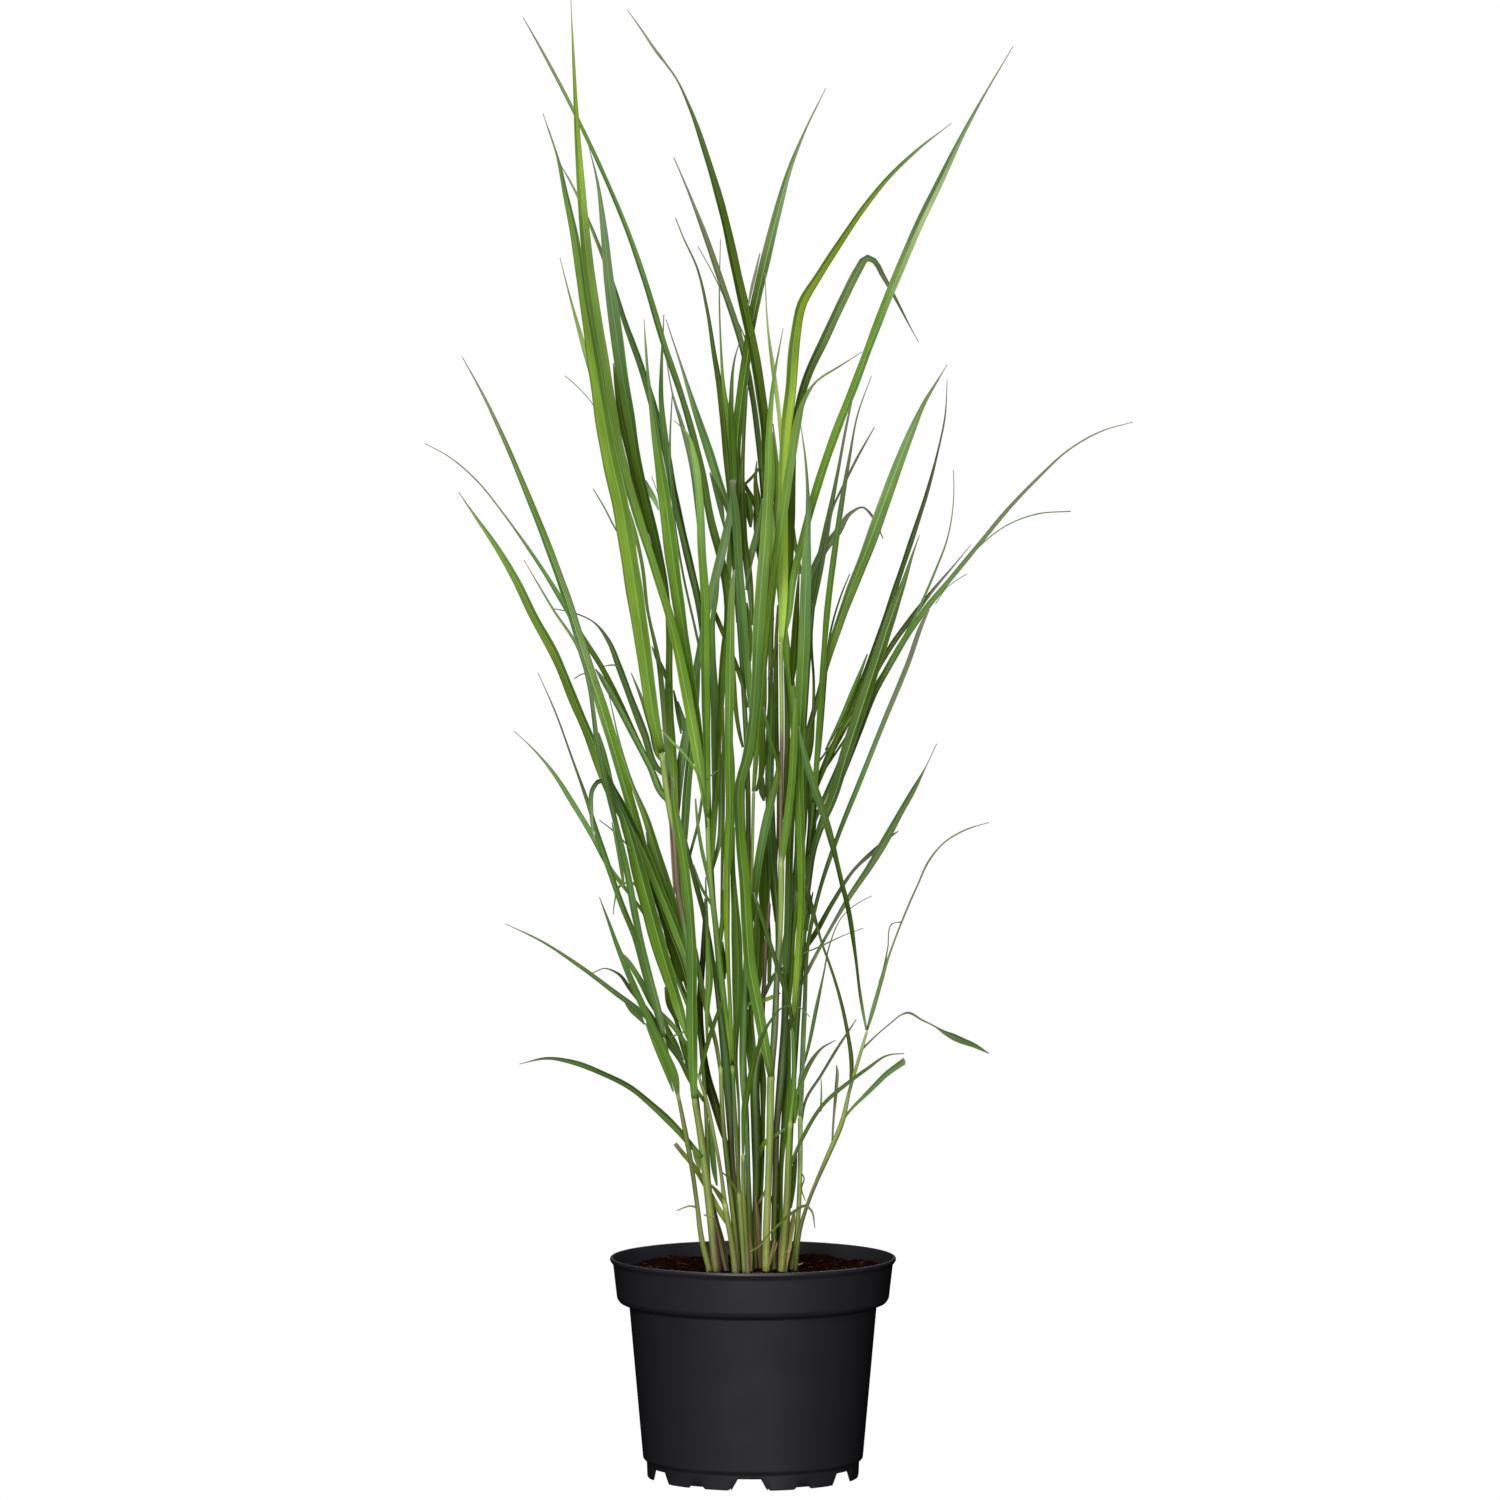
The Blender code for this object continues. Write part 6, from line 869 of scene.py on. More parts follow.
def culm_form(name, settings):
    """Tube carried up a culm's curve: middle(t) + r(t, a) (side cos a + front sin a), where r swells
    under each collar and is ribbed by the rolled edge of the sheath."""
    culm = CULMS[name]
    curve, depth = culm_path(name)
    rows, columns = 2 * SAMPLES, CULM_SIDES
    at, k = np.linspace(0, SAMPLES - 1, rows), np.arange(SAMPLES)
    x, z, width = (np.interp(at, k, curve[:, c]) for c in range(3))
    middle = as_seen(x, z, np.interp(at, k, depth))
    along, side, front, reach = carried(middle)
    swell, pale = np.ones(rows), np.zeros(rows)
    for collar_z in culm.collars:
        below = np.clip(collar_z - z, 0.0, None)
        sheath = settings.swell * np.exp(-below / SWELL_LENGTH)
        swell += np.where(z <= collar_z, sheath, -settings.swell * 0.8)
        pale = np.maximum(pale, np.exp(-((z - collar_z + 1.5) / COLLAR_HEIGHT) ** 2))
        swell += LIP_SWELL * np.exp(-((z - collar_z + 1.0) / LIP_HEIGHT) ** 2)
    a = np.arange(columns) * 2 * math.pi / columns
    ribbed = 1.0 + EDGE_SWELL * np.exp(-((a - 1.15 * math.pi) / 0.3) ** 2)
    r = (width / 2 * np.clip(swell, LEAST_SWELL, MOST_SWELL))[:, None] * ribbed
    ring = (middle[:, None] + side[:, None] * (r * np.cos(a))[..., None]
            + front[:, None] * (r * np.sin(a))[..., None])
    ring[0, :, 2] = CULM_ROOT_Z
    root, tip = middle[0] * [1, 1, 0] + [0, 0, CULM_ROOT_Z], middle[-1] + along[-1] * CULM_TIP

    across = np.arange(columns) * (2 * math.pi * width / 2 / columns)[:, None]
    length, bake = strip_maps(rows, columns, across, reach)
    corner = np.arange(2 * columns)[:, None, None] % 8 * [0.001, 0.0]
    spot = (np.array([[0.0, 0.0], [0.004, 0.0], [0.0, 0.004]]) + 0.002 + corner).reshape(-1, 2)

    left, right = tone_along(culm.tones, z)
    # the culm's two sides as seen take their own tones: painted light on one side and painted shade on the
    # other
    share = (0.5 + 0.5 * np.clip(np.cos(a) * 2.2, -1.0, 1.0))[None, :, None]
    tone = left[:, None] * (1 - share) + right[:, None] * share
    pale = pale[:, None, None] * COLLAR_SHARE
    tone = tone * (1 - pale) + linear(COLLAR_TONE) * pale
    papery = np.exp(-np.clip(z - SOIL_Z, 0.0, None) / PAPERY_HEIGHT)
    return Form(
        np.concatenate([ring.reshape(-1, 3), [root, tip]]),
        [grid_faces(rows, columns), end_fans(rows, columns)],
        {"length": np.concatenate([length, np.zeros_like(spot)]), "OFBake": np.concatenate([bake, spot])},
        {"tone": np.concatenate([tone.reshape(-1, 3), tone[0, :1], tone[-1, :1]]),
         "base": np.concatenate([np.repeat(papery, columns), [0.0, 0.0]])})


def inside_of_wall(z):
    """Inner radius of the pot's body at a height."""
    return BODY_LOW_R - WALL + (BODY_TOP_R - BODY_LOW_R) / (BODY_TOP_Z - BODY_LOW_Z) * (z - BODY_LOW_Z)


def rounded(profile, radius):
    """Each corner of a profile becomes four points of the parabola between its two edges."""
    p = np.array(profile, float)
    out = [p[:1]]
    for k in range(1, len(p) - 1):
        back, ahead = p[k - 1] - p[k], p[k + 1] - p[k]
        a = p[k] + back * min(0.45, radius / np.linalg.norm(back))
        b = p[k] + ahead * min(0.45, radius / np.linalg.norm(ahead))
        s = np.linspace(0.0, 1.0, 4)[:, None]
        out.append(a * (1 - s) ** 2 + p[k] * 2 * s * (1 - s) + b * s**2)
    out.append(p[-1:])
    return np.concatenate(out)


def pot_profile():
    """(radius, height) from the underside's middle out, up, over the lip, down and in to the floor."""
    top = FLOOR_Z + FLOOR_THICKNESS
    inner = inside_of_wall(top + FLOOR_CORNER)
    return [
        (0.0, FLOOR_Z), (FOOT_R - FOOT_WALL - 0.4, FLOOR_Z), (FOOT_R - FOOT_WALL, 0.0),
        (FOOT_R - 0.4, 0.0), (FOOT_R, 12.3), (BODY_LOW_R, BODY_LOW_Z), (BODY_TOP_R, BODY_TOP_Z),
        (BAND_R - 2.2, BAND_Z - 3.2), (BAND_R, BAND_Z), (BEAD_R, BEAD_Z), (113.4, 172.4), (115.0, 174.7),
        (114.6, 176.4), (113.6, 177.0), (112.6, 176.6), (BEAD_R - WALL, BEAD_Z),
        (BAND_R - WALL - 0.6, BAND_Z + 2.2), (BODY_TOP_R - WALL, BODY_TOP_Z + 1.2),
        (inner, top + FLOOR_CORNER), (inner - FLOOR_CORNER, top), (0.0, top)]


def turned(profile, angles, lift):
    """Surface of revolution: (r(s) cos a, r(s) sin a, lift(r, z(s), a)), closed round a and at both
    poles."""
    p = np.array(profile)
    r, z, a = np.broadcast_arrays(p[1:-1, :1], p[1:-1, 1:], angles)
    ring = np.stack([r * np.cos(a), r * np.sin(a), lift(r, z, a)], axis=-1)
    rows, columns = ring.shape[:2]
    points = np.concatenate([ring.reshape(-1, 3), [[0.0, 0.0, p[0, 1]], [0.0, 0.0, p[-1, 1]]]])
    return Form(points, [grid_faces(rows, columns), end_fans(rows, columns)], {}, {})


def notched(r, z, a):
    """Height of the foot ring: six flared notches through it and a shallow one in each foot."""
    off = (np.degrees(a) - NOTCH_TURN + NOTCH_PITCH / 2) % NOTCH_PITCH - NOTCH_PITCH / 2
    near, mid = np.abs(off), np.abs(np.abs(off) - NOTCH_PITCH / 2)
    flank = (NOTCH_FOOT_ANGLE / 2 - near) / (NOTCH_FOOT_ANGLE / 2 - NOTCH_TOP_ANGLE / 2)
    corner = CORNER_RISE * np.clip(1.0 - (near - NOTCH_FOOT_ANGLE / 2) / CORNER_ANGLE, 0.0, 1.0) ** 2
    height = np.clip(flank, 0.0, 1.0) * (FLOOR_Z - 0.15)
    height = np.maximum(height, np.where(near > NOTCH_FOOT_ANGLE / 2, corner, 0.0))
    shallow = SHALLOW_RISE * np.clip((SHALLOW_HALF_ANGLE - mid) / SHALLOW_FLANK, 0.0, 1.0)
    height = np.maximum(height, shallow)
    ring = (r > FOOT_R - FOOT_WALL - 3.0) & (r < FOOT_R + 0.2)
    return np.where(ring, np.maximum(z, np.minimum(height, FLOOR_Z)), z)


def pot_angles():
    """Angles round the pot: even steps, with one at each corner of the notches."""
    foot, shallow = NOTCH_FOOT_ANGLE / 2, NOTCH_PITCH / 2 - SHALLOW_HALF_ANGLE
    corners = np.array([NOTCH_TOP_ANGLE / 2, foot, (NOTCH_TOP_ANGLE + NOTCH_FOOT_ANGLE) / 4, foot + 0.7,
                        foot + 1.4, foot + CORNER_ANGLE, shallow, shallow + SHALLOW_FLANK])
    centres = NOTCH_TURN + NOTCH_PITCH * np.arange(NOTCHES)[:, None]
    corners = np.concatenate([centres - corners, centres + corners]).reshape(-1) % 360.0
    even = np.linspace(0.0, 360.0, 180, endpoint=False)
    angles = np.unique(np.round(np.concatenate([even, corners]), 3))
    return np.radians(angles[np.concatenate([[True], np.diff(angles) > 0.12])])


def soil_rise(x, y):
    """Height of the soil over its level: a sum of crossed waves, lower within the crown."""
    lumps = sum(h * np.sin(a * x + b * y + c) for a, b, c, h in WAVES)
    return lumps * (0.35 + 0.65 * np.clip((np.hypot(x, y) - CROWN_R) / 18.0, 0, 1))


def lumpy(r, z, a):
    """Height of the soil's surface; its sides and underside stay as they are."""
    rise = soil_rise(r * np.cos(a), r * np.sin(a)) * np.clip((SOIL_R - r) / 6.0, 0.3, 1.0)
    return np.where(z > SOIL_Z - 0.5, z + rise, z)


def soil_profile():
    """(radius, height) from the underside's middle out, up along the pot's inside and in over the top."""
    low = FLOOR_Z + FLOOR_THICKNESS + GAP
    inner = inside_of_wall(low + FLOOR_CORNER)
    top = [(r, SOIL_Z) for r in np.linspace(SOIL_R - 4.0, 2.0, 52)]
    return [(0.0, low), (inner - 5.6, low), (inner - 1.4, low + 4.4),
            (BODY_TOP_R - WALL - 1.4, BODY_TOP_Z + 0.6), (BAND_R - WALL - 2.0, BAND_Z + 2.6),
            (SOIL_R - 1.2, SOIL_Z - 1.4), *top, (0.0, SOIL_Z)]


def scattered(rng, count, radius):
    """Random places on the soil within a radius, in mm."""
    r, a = radius * np.sqrt(rng.random(count)), rng.random(count) * 2 * math.pi
    return r * np.cos(a), r * np.sin(a)


def picked(rng, count, codes, power):
    """A random tone for each grain; the higher the power, the oftener it is one of the first."""
    pick = np.minimum((rng.random(count) ** power * len(codes)).astype(int), len(codes) - 1)
    return np.stack([linear(code) for code in codes])[pick]


def crumb_form(rng, count):
    """Squashed, jittered octahedra whose upper faces are cut once."""
    x, y = scattered(rng, count, SOIL_R - 5.0)
    octa = np.array([[1, 0, 0], [-1, 0, 0], [0, 1, 0], [0, -1, 0], [0, 0, 1], [0, 0, -1],
                     [.6, .6, .5], [-.6, .6, .5], [-.6, -.6, .5], [.6, -.6, .5]], float)
    faces = np.array([[6, 4, 0], [0, 2, 6], [2, 4, 6], [7, 4, 2], [2, 1, 7], [1, 4, 7], [8, 4, 1], [1, 3, 8],
                      [3, 4, 8], [9, 4, 3], [3, 0, 9], [0, 4, 9], [0, 5, 2], [2, 5, 1], [1, 5, 3], [3, 5, 0]])
    size = 0.4 + 1.6 * rng.random(count) ** 3
    jitter = 1.0 + 0.5 * (rng.random((count, len(octa), 3)) - 0.5)
    squash = np.stack([1 + rng.random(count), 1 + rng.random(count) * 0.6, 0.6 + 0.5 * rng.random(count)],
                      axis=-1)
    lump = octa * jitter * squash[:, None] * size[:, None, None] * 0.6
    turn = rng.random(count) * 2 * math.pi
    c, s = np.cos(turn)[:, None], np.sin(turn)[:, None]
    wide, deep, high = lump[..., 0], lump[..., 1], lump[..., 2]
    lump = np.stack([wide * c - deep * s, wide * s + deep * c, high], axis=-1)
    lump += np.stack([x, y, SOIL_Z + soil_rise(x, y) + size * 0.25], axis=-1)[:, None]
    faces = faces + (np.arange(count) * len(octa))[:, None, None]
    tone = np.repeat(picked(rng, count, CRUMB_TONES, 1.6), len(octa), axis=0)
    return Form(lump.reshape(-1, 3), [faces.reshape(-1, 3)], {}, {"tone": tone})


def fibre_form(rng, count):
    """Three-sided tubes whose middle is p + d t + b sin(pi t), of random start, direction and bend."""
    x, y = scattered(rng, count, SOIL_R - 8.0)
    start = np.stack([x, y, SOIL_Z + 0.4 + soil_rise(x, y)], axis=-1)
    way = rng.random(count) * 2 * math.pi
    span = (3.0 + 9.0 * rng.random(count) ** 2)[:, None]
    step = np.stack([np.cos(way), np.sin(way), 0.10 * (rng.random(count) - 0.3)], axis=-1) * span
    bend = (rng.random((count, 3)) - 0.5) * span * [0.5, 0.5, 0.12]
    bend[:, 2] = np.abs(bend[:, 2]) + 0.3
    t = np.linspace(0, 1, FIBRE_RINGS)[None, :, None]
    line = start[:, None] + step[:, None] * (t - 0.5) + bend[:, None] * np.sin(math.pi * t)
    out = np.maximum(np.hypot(line[..., 0], line[..., 1]), 1.0)
    line[..., :2] *= np.minimum(1.0, (SOIL_R - 3.0) / out)[..., None]
    thick = (0.16 + 0.26 * rng.random(count) ** 2)[:, None, None, None]
    across = np.stack([-np.sin(way), np.cos(way), 0 * way], axis=-1)[:, None, None]
    corner = np.array([0.0, 2.094, 4.189])[:, None]
    tube = line[:, :, None] + thick * (across * np.cos(corner) + np.array([0, 0, 1.0]) * np.sin(corner))
    quads, last = grid_faces(FIBRE_RINGS, FIBRE_SIDES), FIBRE_SIDES * (FIBRE_RINGS - 1)
    one = np.concatenate([quads[:, [0, 1, 2]], quads[:, [0, 2, 3]],
                          [[2, 1, 0], [last, last + 1, last + 2]]])[:, ::-1]
    points = FIBRE_RINGS * FIBRE_SIDES
    faces = one + (np.arange(count) * points)[:, None, None]
    tone = np.repeat(picked(rng, count, FIBRE_TONES, 2.4), points, axis=0)
    return Form(tube.reshape(-1, 3), [faces.reshape(-1, 3)], {}, {"tone": tone})


def blade_material():
    """Miscanthus leaf blade, waxy and ribbed: fine ribs and streaks run its length, the midrib is
    pale, the underside greyer and the tip dries to straw."""
    material, tree, shader = new_material("miscanthus_leaf_blade", {
        "Roughness": 0.5, "IOR": 1.42, "Specular IOR Level": 0.25, "Subsurface Weight": 0.1,
        "Subsurface Scale": 0.001})
    tone = add(tree, "Attribute", attribute_name="tone")["Color"]
    across, rib, under, dry = (add(tree, "Attribute", attribute_name=name)["Fac"]
                               for name in ("across", "rib", "under", "dry"))
    length = add(tree, "UVMap", uv_map="length")["UV"]
    # streaks 1.1 mm apart and 70 mm long
    at = add(tree, "Mapping", {"Vector": length, "Scale": (900.0, 14.0, 1.0)})[0]
    streak = add(tree, "TexNoise", {"Vector": at, "Scale": 1.0, "Detail": 2.0})["Fac"]
    share = add(tree, "MapRange", {0: streak, 1: 0.3, 2: 0.7})[0]
    streaks = add(tree, "Mix", {0: share, 6: (0.80, 0.84, 0.80, 1.0), 7: (1.22, 1.17, 1.16, 1.0)},
                  data_type="RGBA")[2]
    colour = add(tree, "Mix", {0: 1.0, 6: tone, 7: streaks}, data_type="RGBA", blend_type="MULTIPLY")[2]
    # paler and darker stretches 40 mm long
    at = add(tree, "Mapping", {"Vector": length, "Scale": (90.0, 25.0, 1.0)})[0]
    patch = add(tree, "TexNoise", {"Vector": at, "Scale": 1.0, "Detail": 1.0})["Fac"]
    share = add(tree, "MapRange", {0: patch, 1: 0.3, 2: 0.7})[0]
    patches = add(tree, "Mix", {0: share, 6: (0.86, 0.88, 0.86, 1.0), 7: (1.10, 1.08, 1.04, 1.0)},
                  data_type="RGBA")[2]
    colour = add(tree, "Mix", {0: 1.0, 6: colour, 7: patches}, data_type="RGBA", blend_type="MULTIPLY")[2]
    # midrib, edge, underside and dry tip, each laid over the colour so far
    near = add(tree, "Math", {0: across}, operation="ABSOLUTE")[0]
    line = add(tree, "MapRange", {0: near, 1: 0.03, 2: 0.085, 3: 1.0, 4: 0.0})[0]
    midrib = add(tree, "Math", {0: line, 1: rib}, operation="MULTIPLY")[0]
    edge = add(tree, "MapRange", {0: near, 1: 0.9, 2: 1.0, 3: 0.0, 4: 0.25})[0]
    below = add(tree, "Math", {0: under, 1: 0.35}, operation="MULTIPLY")[0]
    straw = add(tree, "Math", {0: dry, 1: 0.75}, operation="MULTIPLY")[0]
    for share, code in ((midrib, "#B4D082"), (edge, "#7C9450"), (below, "#5E764A"), (straw, "#827E6C")):
        colour = add(tree, "Mix", {0: share, 6: colour, 7: (*linear(code), 1.0)}, data_type="RGBA")[2]
    # ribs 1.3 mm apart, coarser than the real 0.5 mm so that they show
    at = add(tree, "Mapping", {"Vector": length, "Scale": (770.0, 2.0, 1.0)})[0]
    ribs = add(tree, "TexNoise", {"Vector": at, "Scale": 1.0, "Detail": 1.0})["Fac"]
    fill(tree, shader, {
        "Base Color": colour,
        "Roughness": add(tree, "MapRange", {0: streak, 1: 0.3, 2: 0.7, 3: 0.40, 4: 0.54})[0],
        "Normal": add(tree, "Bump", {"Height": ribs, "Strength": 0.5, "Distance": 0.0002})[0]})
    return material


def culm_material():
    """Miscanthus culm in its leaf sheaths, smooth and waxy: close lengthwise ribs, fine dark flecks,
    and brown papery skin where it meets the soil."""
    material, tree, shader = new_material("miscanthus_culm_and_sheath", {
        "Roughness": 0.48, "IOR": 1.45, "Subsurface Weight": 0.08, "Subsurface Scale": 0.001})
    tone = add(tree, "Attribute", attribute_name="tone")["Color"]
    base = add(tree, "Attribute", attribute_name="base")["Fac"]
    length = add(tree, "UVMap", uv_map="length")["UV"]
    # ribs 0.9 mm apart and 60 mm long
    at = add(tree, "Mapping", {"Vector": length, "Scale": (1100.0, 16.0, 1.0)})[0]
    ribs = add(tree, "TexNoise", {"Vector": at, "Scale": 1.0, "Detail": 2.0})["Fac"]
    share = add(tree, "MapRange", {0: ribs, 1: 0.3, 2: 0.7})[0]
    ribbing = add(tree, "Mix", {0: share, 6: (0.76, 0.78, 0.76, 1.0), 7: (1.24, 1.20, 1.16, 1.0)},
                  data_type="RGBA")[2]
    colour = add(tree, "Mix", {0: 1.0, 6: tone, 7: ribbing}, data_type="RGBA", blend_type="MULTIPLY")[2]
    # brown flecks 1 mm wide
    at = add(tree, "Mapping", {"Vector": length, "Scale": (900.0, 240.0, 1.0)})[0]
    fleck = add(tree, "TexNoise", {"Vector": at, "Scale": 1.0, "Detail": 2.0})["Fac"]
    spots = add(tree, "MapRange", {0: fleck, 1: 0.56, 2: 0.66})[0]
    papery = add(tree, "MapRange", {0: base, 1: 0.0, 2: 0.6, 3: 0.10, 4: 0.6})[0]
    flecks = add(tree, "Math", {0: spots, 1: papery}, operation="MULTIPLY")[0]
    fill(tree, shader, {
        "Base Color": add(tree, "Mix", {0: flecks, 6: colour, 7: (*linear("#54402F"), 1.0)},
                          data_type="RGBA")[2],
        "Roughness": add(tree, "MapRange", {0: ribs, 1: 0.3, 2: 0.7, 3: 0.42, 4: 0.56})[0],
        "Normal": add(tree, "Bump", {"Height": ribs, "Strength": 0.5, "Distance": 0.0002})[0]})
    return material


def pot_material(settings):
    """Black polypropylene, injection moulded: satin, with a fine moulding texture and a faint cloudy
    sheen."""
    material, tree, shader = new_material("black_polypropylene_moulded", {
        "Roughness": settings.roughness, "IOR": 1.49, "Specular IOR Level": 0.5})
    place = add(tree, "TexCoord")["Object"]
    # cloudy sheen 25 mm across
    cloud = add(tree, "TexNoise", {"Vector": place, "Scale": 40.0, "Detail": 3.0})["Fac"]
    share = add(tree, "MapRange", {0: cloud, 1: 0.3, 2: 0.7})[0]
    black = np.array(settings.colour)
    # moulding texture 0.7 mm across, coarser than the real one so that it shows
    grain = add(tree, "TexNoise", {"Vector": place, "Scale": 1400.0, "Detail": 2.0})["Fac"]
    fill(tree, shader, {
        "Base Color": add(tree, "Mix", {0: share, 6: (*black * 0.96, 1.0), 7: (*black * 1.05, 1.0)},
                          data_type="RGBA")[2],
        "Roughness": add(tree, "MapRange", {0: cloud, 1: 0.3, 2: 0.7, 3: settings.roughness - 0.01,
                                            4: settings.roughness + 0.015})[0],
        "Normal": add(tree, "Bump", {"Height": grain, "Strength": 0.12, "Distance": 0.0002})[0]})
    return material


def soil_material(settings):
    """Peat and composted bark, moist and loose: nearly black, with red-brown crumbs."""
    material, tree, shader = new_material("moist_peat_compost", {
        "Roughness": 0.95, "IOR": 1.4, "Specular IOR Level": 0.0})
    place = add(tree, "TexCoord")["Object"]
    # crumbs 3 mm across
    crumb = add(tree, "TexNoise", {"Vector": place, "Scale": 330.0, "Detail": 4.0, "Roughness": 0.65})["Fac"]
    share = add(tree, "MapRange", {0: crumb, 1: 0.35, 2: 0.68})[0]
    colour = add(tree, "Mix", {0: share, 6: (*linear("#0E0807"), 1.0), 7: (*settings.colour, 1.0)},
                 data_type="RGBA")[2]
    # clods 14 mm across
    clod = add(tree, "TexNoise", {"Vector": place, "Scale": 70.0, "Detail": 2.0})["Fac"]
    share = add(tree, "MapRange", {0: clod, 1: 0.35, 2: 0.65, 3: 0.0, 4: 0.5})[0]
    fill(tree, shader, {
        "Base Color": add(tree, "Mix", {0: share, 6: colour, 7: (*linear("#1A0E0B"), 1.0)},
                          data_type="RGBA")[2],
        "Normal": add(tree, "Bump", {"Height": crumb, "Strength": 0.9, "Distance": 0.0012})[0]})
    return material


def crumb_material():
    """Coir fibres and bark crumbs on the soil, dry at the edges: dark red-brown to tan."""
    material, tree, shader = new_material("coir_and_bark_crumbs", {
        "Roughness": 0.95, "IOR": 1.4, "Specular IOR Level": 0.0})
    tone = add(tree, "Attribute", attribute_name="tone")["Color"]
    place = add(tree, "TexCoord")["Object"]
    # mottling 1 mm across
    mottle = add(tree, "TexNoise", {"Vector": place, "Scale": 1000.0, "Detail": 2.0})["Fac"]
    share = add(tree, "MapRange", {0: mottle, 1: 0.3, 2: 0.7})[0]
    mottling = add(tree, "Mix", {0: share, 6: (0.7, 0.7, 0.7, 1.0), 7: (1.25, 1.2, 1.15, 1.0)},
                   data_type="RGBA")[2]
    fill(tree, shader, {"Base Color": add(tree, "Mix", {0: 1.0, 6: tone, 7: mottling}, data_type="RGBA",
                                          blend_type="MULTIPLY")[2]})
    return material


def acrylic_material(settings):
    """Opal acrylic, cast and lit from behind: its own light alone makes it white, evenly to its edges."""
    return new_material("backlit_opal_acrylic", {
        "Roughness": 0.9, "Specular IOR Level": 0.0, "Base Color": (0.0, 0.0, 0.0, 1.0),
        "Emission Color": (*settings.floor_colour, 1.0), "Emission Strength": settings.floor_glow})[0]


def make_pot(settings):
    """Pot turned from its profile, with the notches cut into its foot."""
    form = turned(rounded(pot_profile(), EDGE_ROUNDING), pot_angles(), notched)
    dressed("pot_body", form, pot_material(settings), "pot")


def make_soil(settings):
    """Soil turned from its profile, and the crumbs and fibres that lie on it."""
    form = turned(soil_profile(), np.linspace(0, 2 * math.pi, 150, endpoint=False), lumpy)
    dressed("potting_soil", form, soil_material(settings), "soil")
    rng = np.random.default_rng(7)
    grains = joined([crumb_form(rng, settings.crumbs), fibre_form(rng, settings.fibres)])
    crumbs = made("soil_crumbs_and_fibres", grains, crumb_material(), smooth_faces=False)


def make_culms(settings, blades):
    """Every culm, and the small blades and strands that grow from it as one piece."""
    grown = {}
    for blade in SMALL_BLADES + STRANDS:
        grown.setdefault(blade.culm, []).append(blade_form(blade, settled()[blade.key], blades))
    culm_look, blade_look = culm_material(), blade_material()
    for name in CULMS:
        number = name.removeprefix("stem_")
        dressed("culm_" + number, culm_form(name, settings), culm_look, name)
        if name in grown:
            dressed("side_blades_" + number, joined(grown[name]), blade_look, name)


def make_blades(settings):
    """Every long blade as a piece of its own."""
    look = blade_material()
    for blade in LONG_BLADES:
        form = blade_form(blade, settled()[blade.key], settings)
        dressed("blade_" + blade.key.removeprefix("leaf_"), form, look, blade.key)


def point_at(piece, place, aim):
    """Places a lamp or camera with its view, -Z, along the line to its aim."""
    piece.location = place
    piece.rotation_euler = (Vector(aim) - Vector(place)).to_track_quat("-Z", "Y").to_euler()


def make_sweep(settings):
    """Floor turned about the pot: out along the ground, up a quarter circle, then straight up."""
    a = np.linspace(0.0, math.pi / 2, 24)
    r = np.concatenate([[3.0, 7.0], SWEEP_REACH - SWEEP_BEND + SWEEP_BEND * np.sin(a), [SWEEP_REACH]])
    z = np.concatenate([[0.0, 0.0], SWEEP_BEND - SWEEP_BEND * np.cos(a), [SWEEP_TOP]])
    turn = np.linspace(0.0, 2 * math.pi, 96, endpoint=False)
    r, z, turn = np.broadcast_arrays(r[:, None], z[:, None], turn)
    points = np.stack([r * np.cos(turn), r * np.sin(turn), z], axis=-1).reshape(-1, 3)
    rows, columns = r.shape
    faces = [grid_faces(rows, columns)[:, ::-1], end_fans(rows, columns)[:columns, ::-1]]
    sweep = new_object("studio_sweep", np.concatenate([points, [[0.0, 0.0, 0.0]]]), faces,
                       acrylic_material(settings))
    sweep.visible_glossy = False
    sweep.visible_diffuse = False


def make_stage(settings):
    """Lit floor, soft boxes, a white surround and the camera."""
    make_sweep(settings)
    scene = bpy.context.scene
    world = bpy.data.worlds.new("studio_white")
    world.use_nodes = True
    fill(world.node_tree, world.node_tree.nodes["Background"],
         {"Color": (1.0, 1.0, 1.0, 1.0), "Strength": settings.surround})
    world.cycles_visibility.glossy = False
    scene.world = world
    for name, (place, aim_z, size, share) in SOFT_BOXES.items():
        light = bpy.data.lights.new(name, "AREA")
        light.shape, (light.size, light.size_y) = "RECTANGLE", size
        light.energy = settings.key_power * share
        lamp = bpy.data.objects.new(name, light)
        scene.collection.objects.link(lamp)
        point_at(lamp, place, (0.0, 0.0, aim_z))
    scene.objects["softbox_rear"].visible_glossy = False
    camera = bpy.data.objects.new("camera", bpy.data.cameras.new("camera"))
    scene.collection.objects.link(camera)
    at_x = (EYE[0] + POT_X) * 0.001
    point_at(camera, (at_x, EYE[1] * 0.001, EYE[2] * 0.001), (at_x, 0.0, CAMERA_AIM_Z))
    camera.data.sensor_width = 36.0
    camera.data.lens = settings.lens
    camera.data.clip_end = 60.0
    scene.camera = camera
    scene.view_settings.view_transform = "Standard"


class MiscanthusPotSettings(bpy.types.PropertyGroup):
    roughness: FloatProperty(name="Roughness", description="Satin of the moulded plastic", default=0.38,
                             min=0.1, max=1.0)
    colour: FloatVectorProperty(name="Colour", description="Colour of the plastic", subtype="COLOR",
                                default=tuple(linear("#242427")), min=0.0, max=1.0)


class MiscanthusSoilSettings(bpy.types.PropertyGroup):
    colour: FloatVectorProperty(name="Colour", description="Colour of the crumbs in the soil",
                                subtype="COLOR", default=tuple(linear("#200E0C")), min=0.0, max=1.0)
    crumbs: IntProperty(name="Crumbs", description="How many crumbs lie on the soil", default=3600, min=0)
    fibres: IntProperty(name="Fibres", description="How many coir fibres lie on the soil", default=1500,
                        min=0)


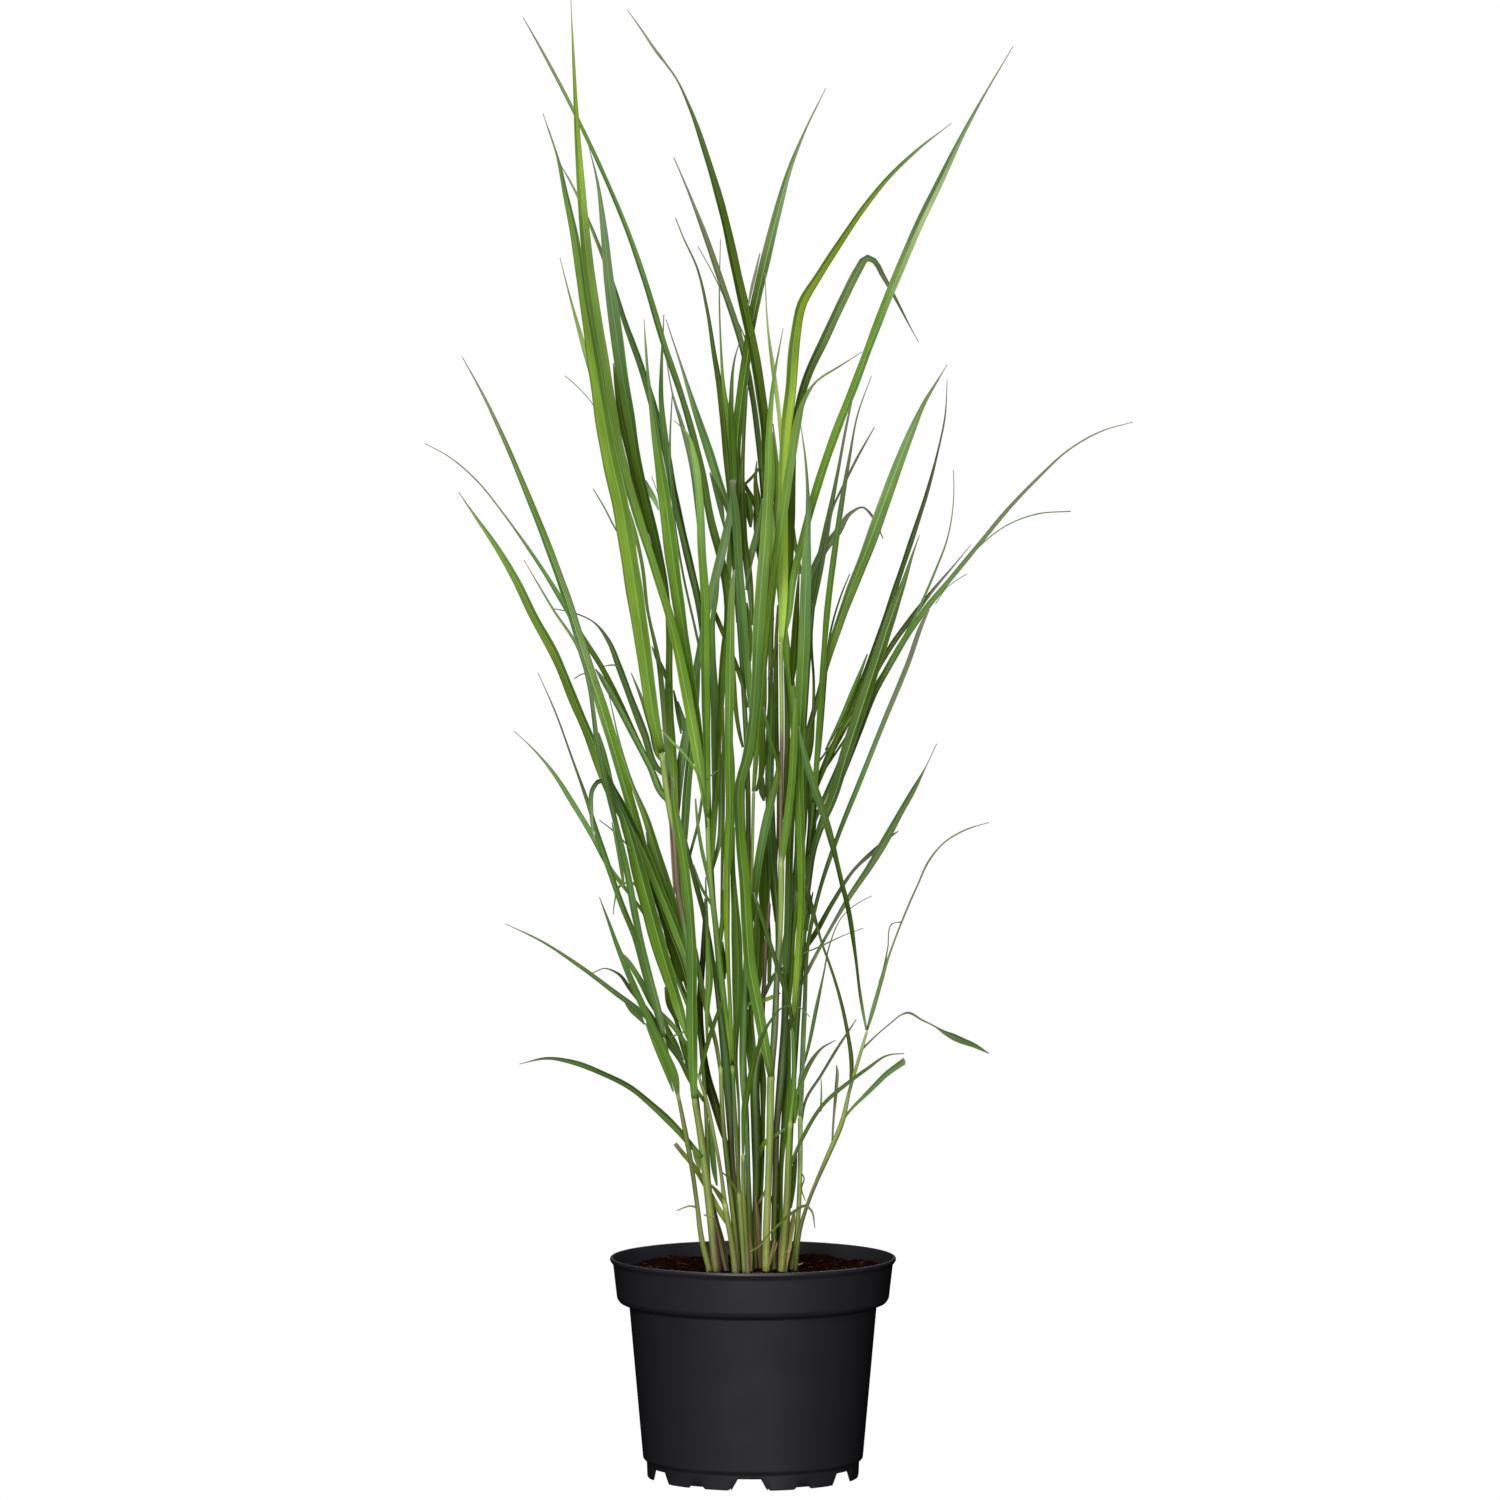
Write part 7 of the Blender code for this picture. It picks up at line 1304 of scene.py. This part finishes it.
class MiscanthusCulmSettings(bpy.types.PropertyGroup):
    swell: FloatProperty(name="Swell", description="How much a sheath thickens a culm under its collar",
                         default=0.07, min=0.0, max=0.3)


class MiscanthusBladeSettings(bpy.types.PropertyGroup):
    thickness: FloatProperty(name="Thickness", description="Thickness of a blade, in millimetres",
                             default=0.3, min=0.1, max=1.0)
    fold: FloatProperty(name="Fold", description="Share of the blade's full fold at its midrib",
                        default=0.92, min=0.0, max=1.0)


class MiscanthusStageSettings(bpy.types.PropertyGroup):
    floor_colour: FloatVectorProperty(name="Floor", description="Colour of the lit floor", subtype="COLOR",
                                      default=(1.0, 1.0, 1.0), min=0.0, max=1.0)
    floor_glow: FloatProperty(name="Glow", description="Strength of the floor's light", default=1.0,
                              min=0.0)
    surround: FloatProperty(name="Surround", description="Strength of the white surround", default=0.06,
                            min=0.0)
    key_power: FloatProperty(name="Key light", description="Power of the front soft box", default=205.0,
                             min=0.0, unit="POWER")
    lens: FloatProperty(name="Lens", description="Focal length of the camera, in millimetres",
                        default=180.2, min=20.0)


class MISCANTHUS_OT_pot(bpy.types.Operator):
    """Nursery pot: a turned wall with its rolled rim, band and notched foot"""

    bl_idname = "miscanthus.pot"
    bl_label = "Nursery pot"

    def execute(self, context):
        make_pot(context.scene.miscanthus_pot)
        return {"FINISHED"}


class MISCANTHUS_OT_soil(bpy.types.Operator):
    """Soil with its crumbs and fibres"""

    bl_idname = "miscanthus.soil"
    bl_label = "Potting soil"

    def execute(self, context):
        make_soil(context.scene.miscanthus_soil)
        return {"FINISHED"}


class MISCANTHUS_OT_culms(bpy.types.Operator):
    """Culms with their sheaths, collars and small blades"""

    bl_idname = "miscanthus.culms"
    bl_label = "Culms"

    def execute(self, context):
        make_culms(context.scene.miscanthus_culm, context.scene.miscanthus_blade)
        return {"FINISHED"}


class MISCANTHUS_OT_blades(bpy.types.Operator):
    """Long leaf blades"""

    bl_idname = "miscanthus.blades"
    bl_label = "Long blades"

    def execute(self, context):
        make_blades(context.scene.miscanthus_blade)
        return {"FINISHED"}


class MISCANTHUS_OT_stage(bpy.types.Operator):
    """White studio, lights and camera"""

    bl_idname = "miscanthus.stage"
    bl_label = "Studio"

    def execute(self, context):
        make_stage(context.scene.miscanthus_stage)
        return {"FINISHED"}


class MISCANTHUS_PT_panel(bpy.types.Panel):
    """Lists the pieces and their settings"""

    bl_idname = "MISCANTHUS_PT_panel"
    bl_label = "Miscanthus in a pot"
    bl_space_type = "VIEW_3D"
    bl_region_type = "UI"
    bl_category = "Miscanthus"

    def draw(self, context):
        for settings, operator in PIECES:
            box = self.layout.box()
            group = getattr(context.scene, settings)
            for name in group.bl_rna.properties.keys():
                if name not in ("rna_type", "name"):
                    box.prop(group, name)
            box.operator(operator)


PIECES = [("miscanthus_pot", "miscanthus.pot"), ("miscanthus_soil", "miscanthus.soil"),
          ("miscanthus_culm", "miscanthus.culms"), ("miscanthus_blade", "miscanthus.blades"),
          ("miscanthus_stage", "miscanthus.stage")]
GROUPS = {"miscanthus_pot": MiscanthusPotSettings, "miscanthus_soil": MiscanthusSoilSettings,
          "miscanthus_culm": MiscanthusCulmSettings, "miscanthus_blade": MiscanthusBladeSettings,
          "miscanthus_stage": MiscanthusStageSettings}
CLASSES = [*GROUPS.values(), MISCANTHUS_OT_pot, MISCANTHUS_OT_soil, MISCANTHUS_OT_culms,
           MISCANTHUS_OT_blades, MISCANTHUS_OT_stage, MISCANTHUS_PT_panel]


def register():
    for kind in CLASSES:
        bpy.utils.register_class(kind)
    for name, kind in GROUPS.items():
        setattr(bpy.types.Scene, name, PointerProperty(type=kind))


def unregister():
    for name in GROUPS:
        delattr(bpy.types.Scene, name)
    for kind in reversed(CLASSES):
        bpy.utils.unregister_class(kind)


def main():
    register()
    bpy.ops.miscanthus.stage()
    bpy.ops.miscanthus.pot()
    bpy.ops.miscanthus.soil()
    bpy.ops.miscanthus.culms()
    bpy.ops.miscanthus.blades()
    bpy.context.view_layer.update()


if __name__ == "__main__":
    main()
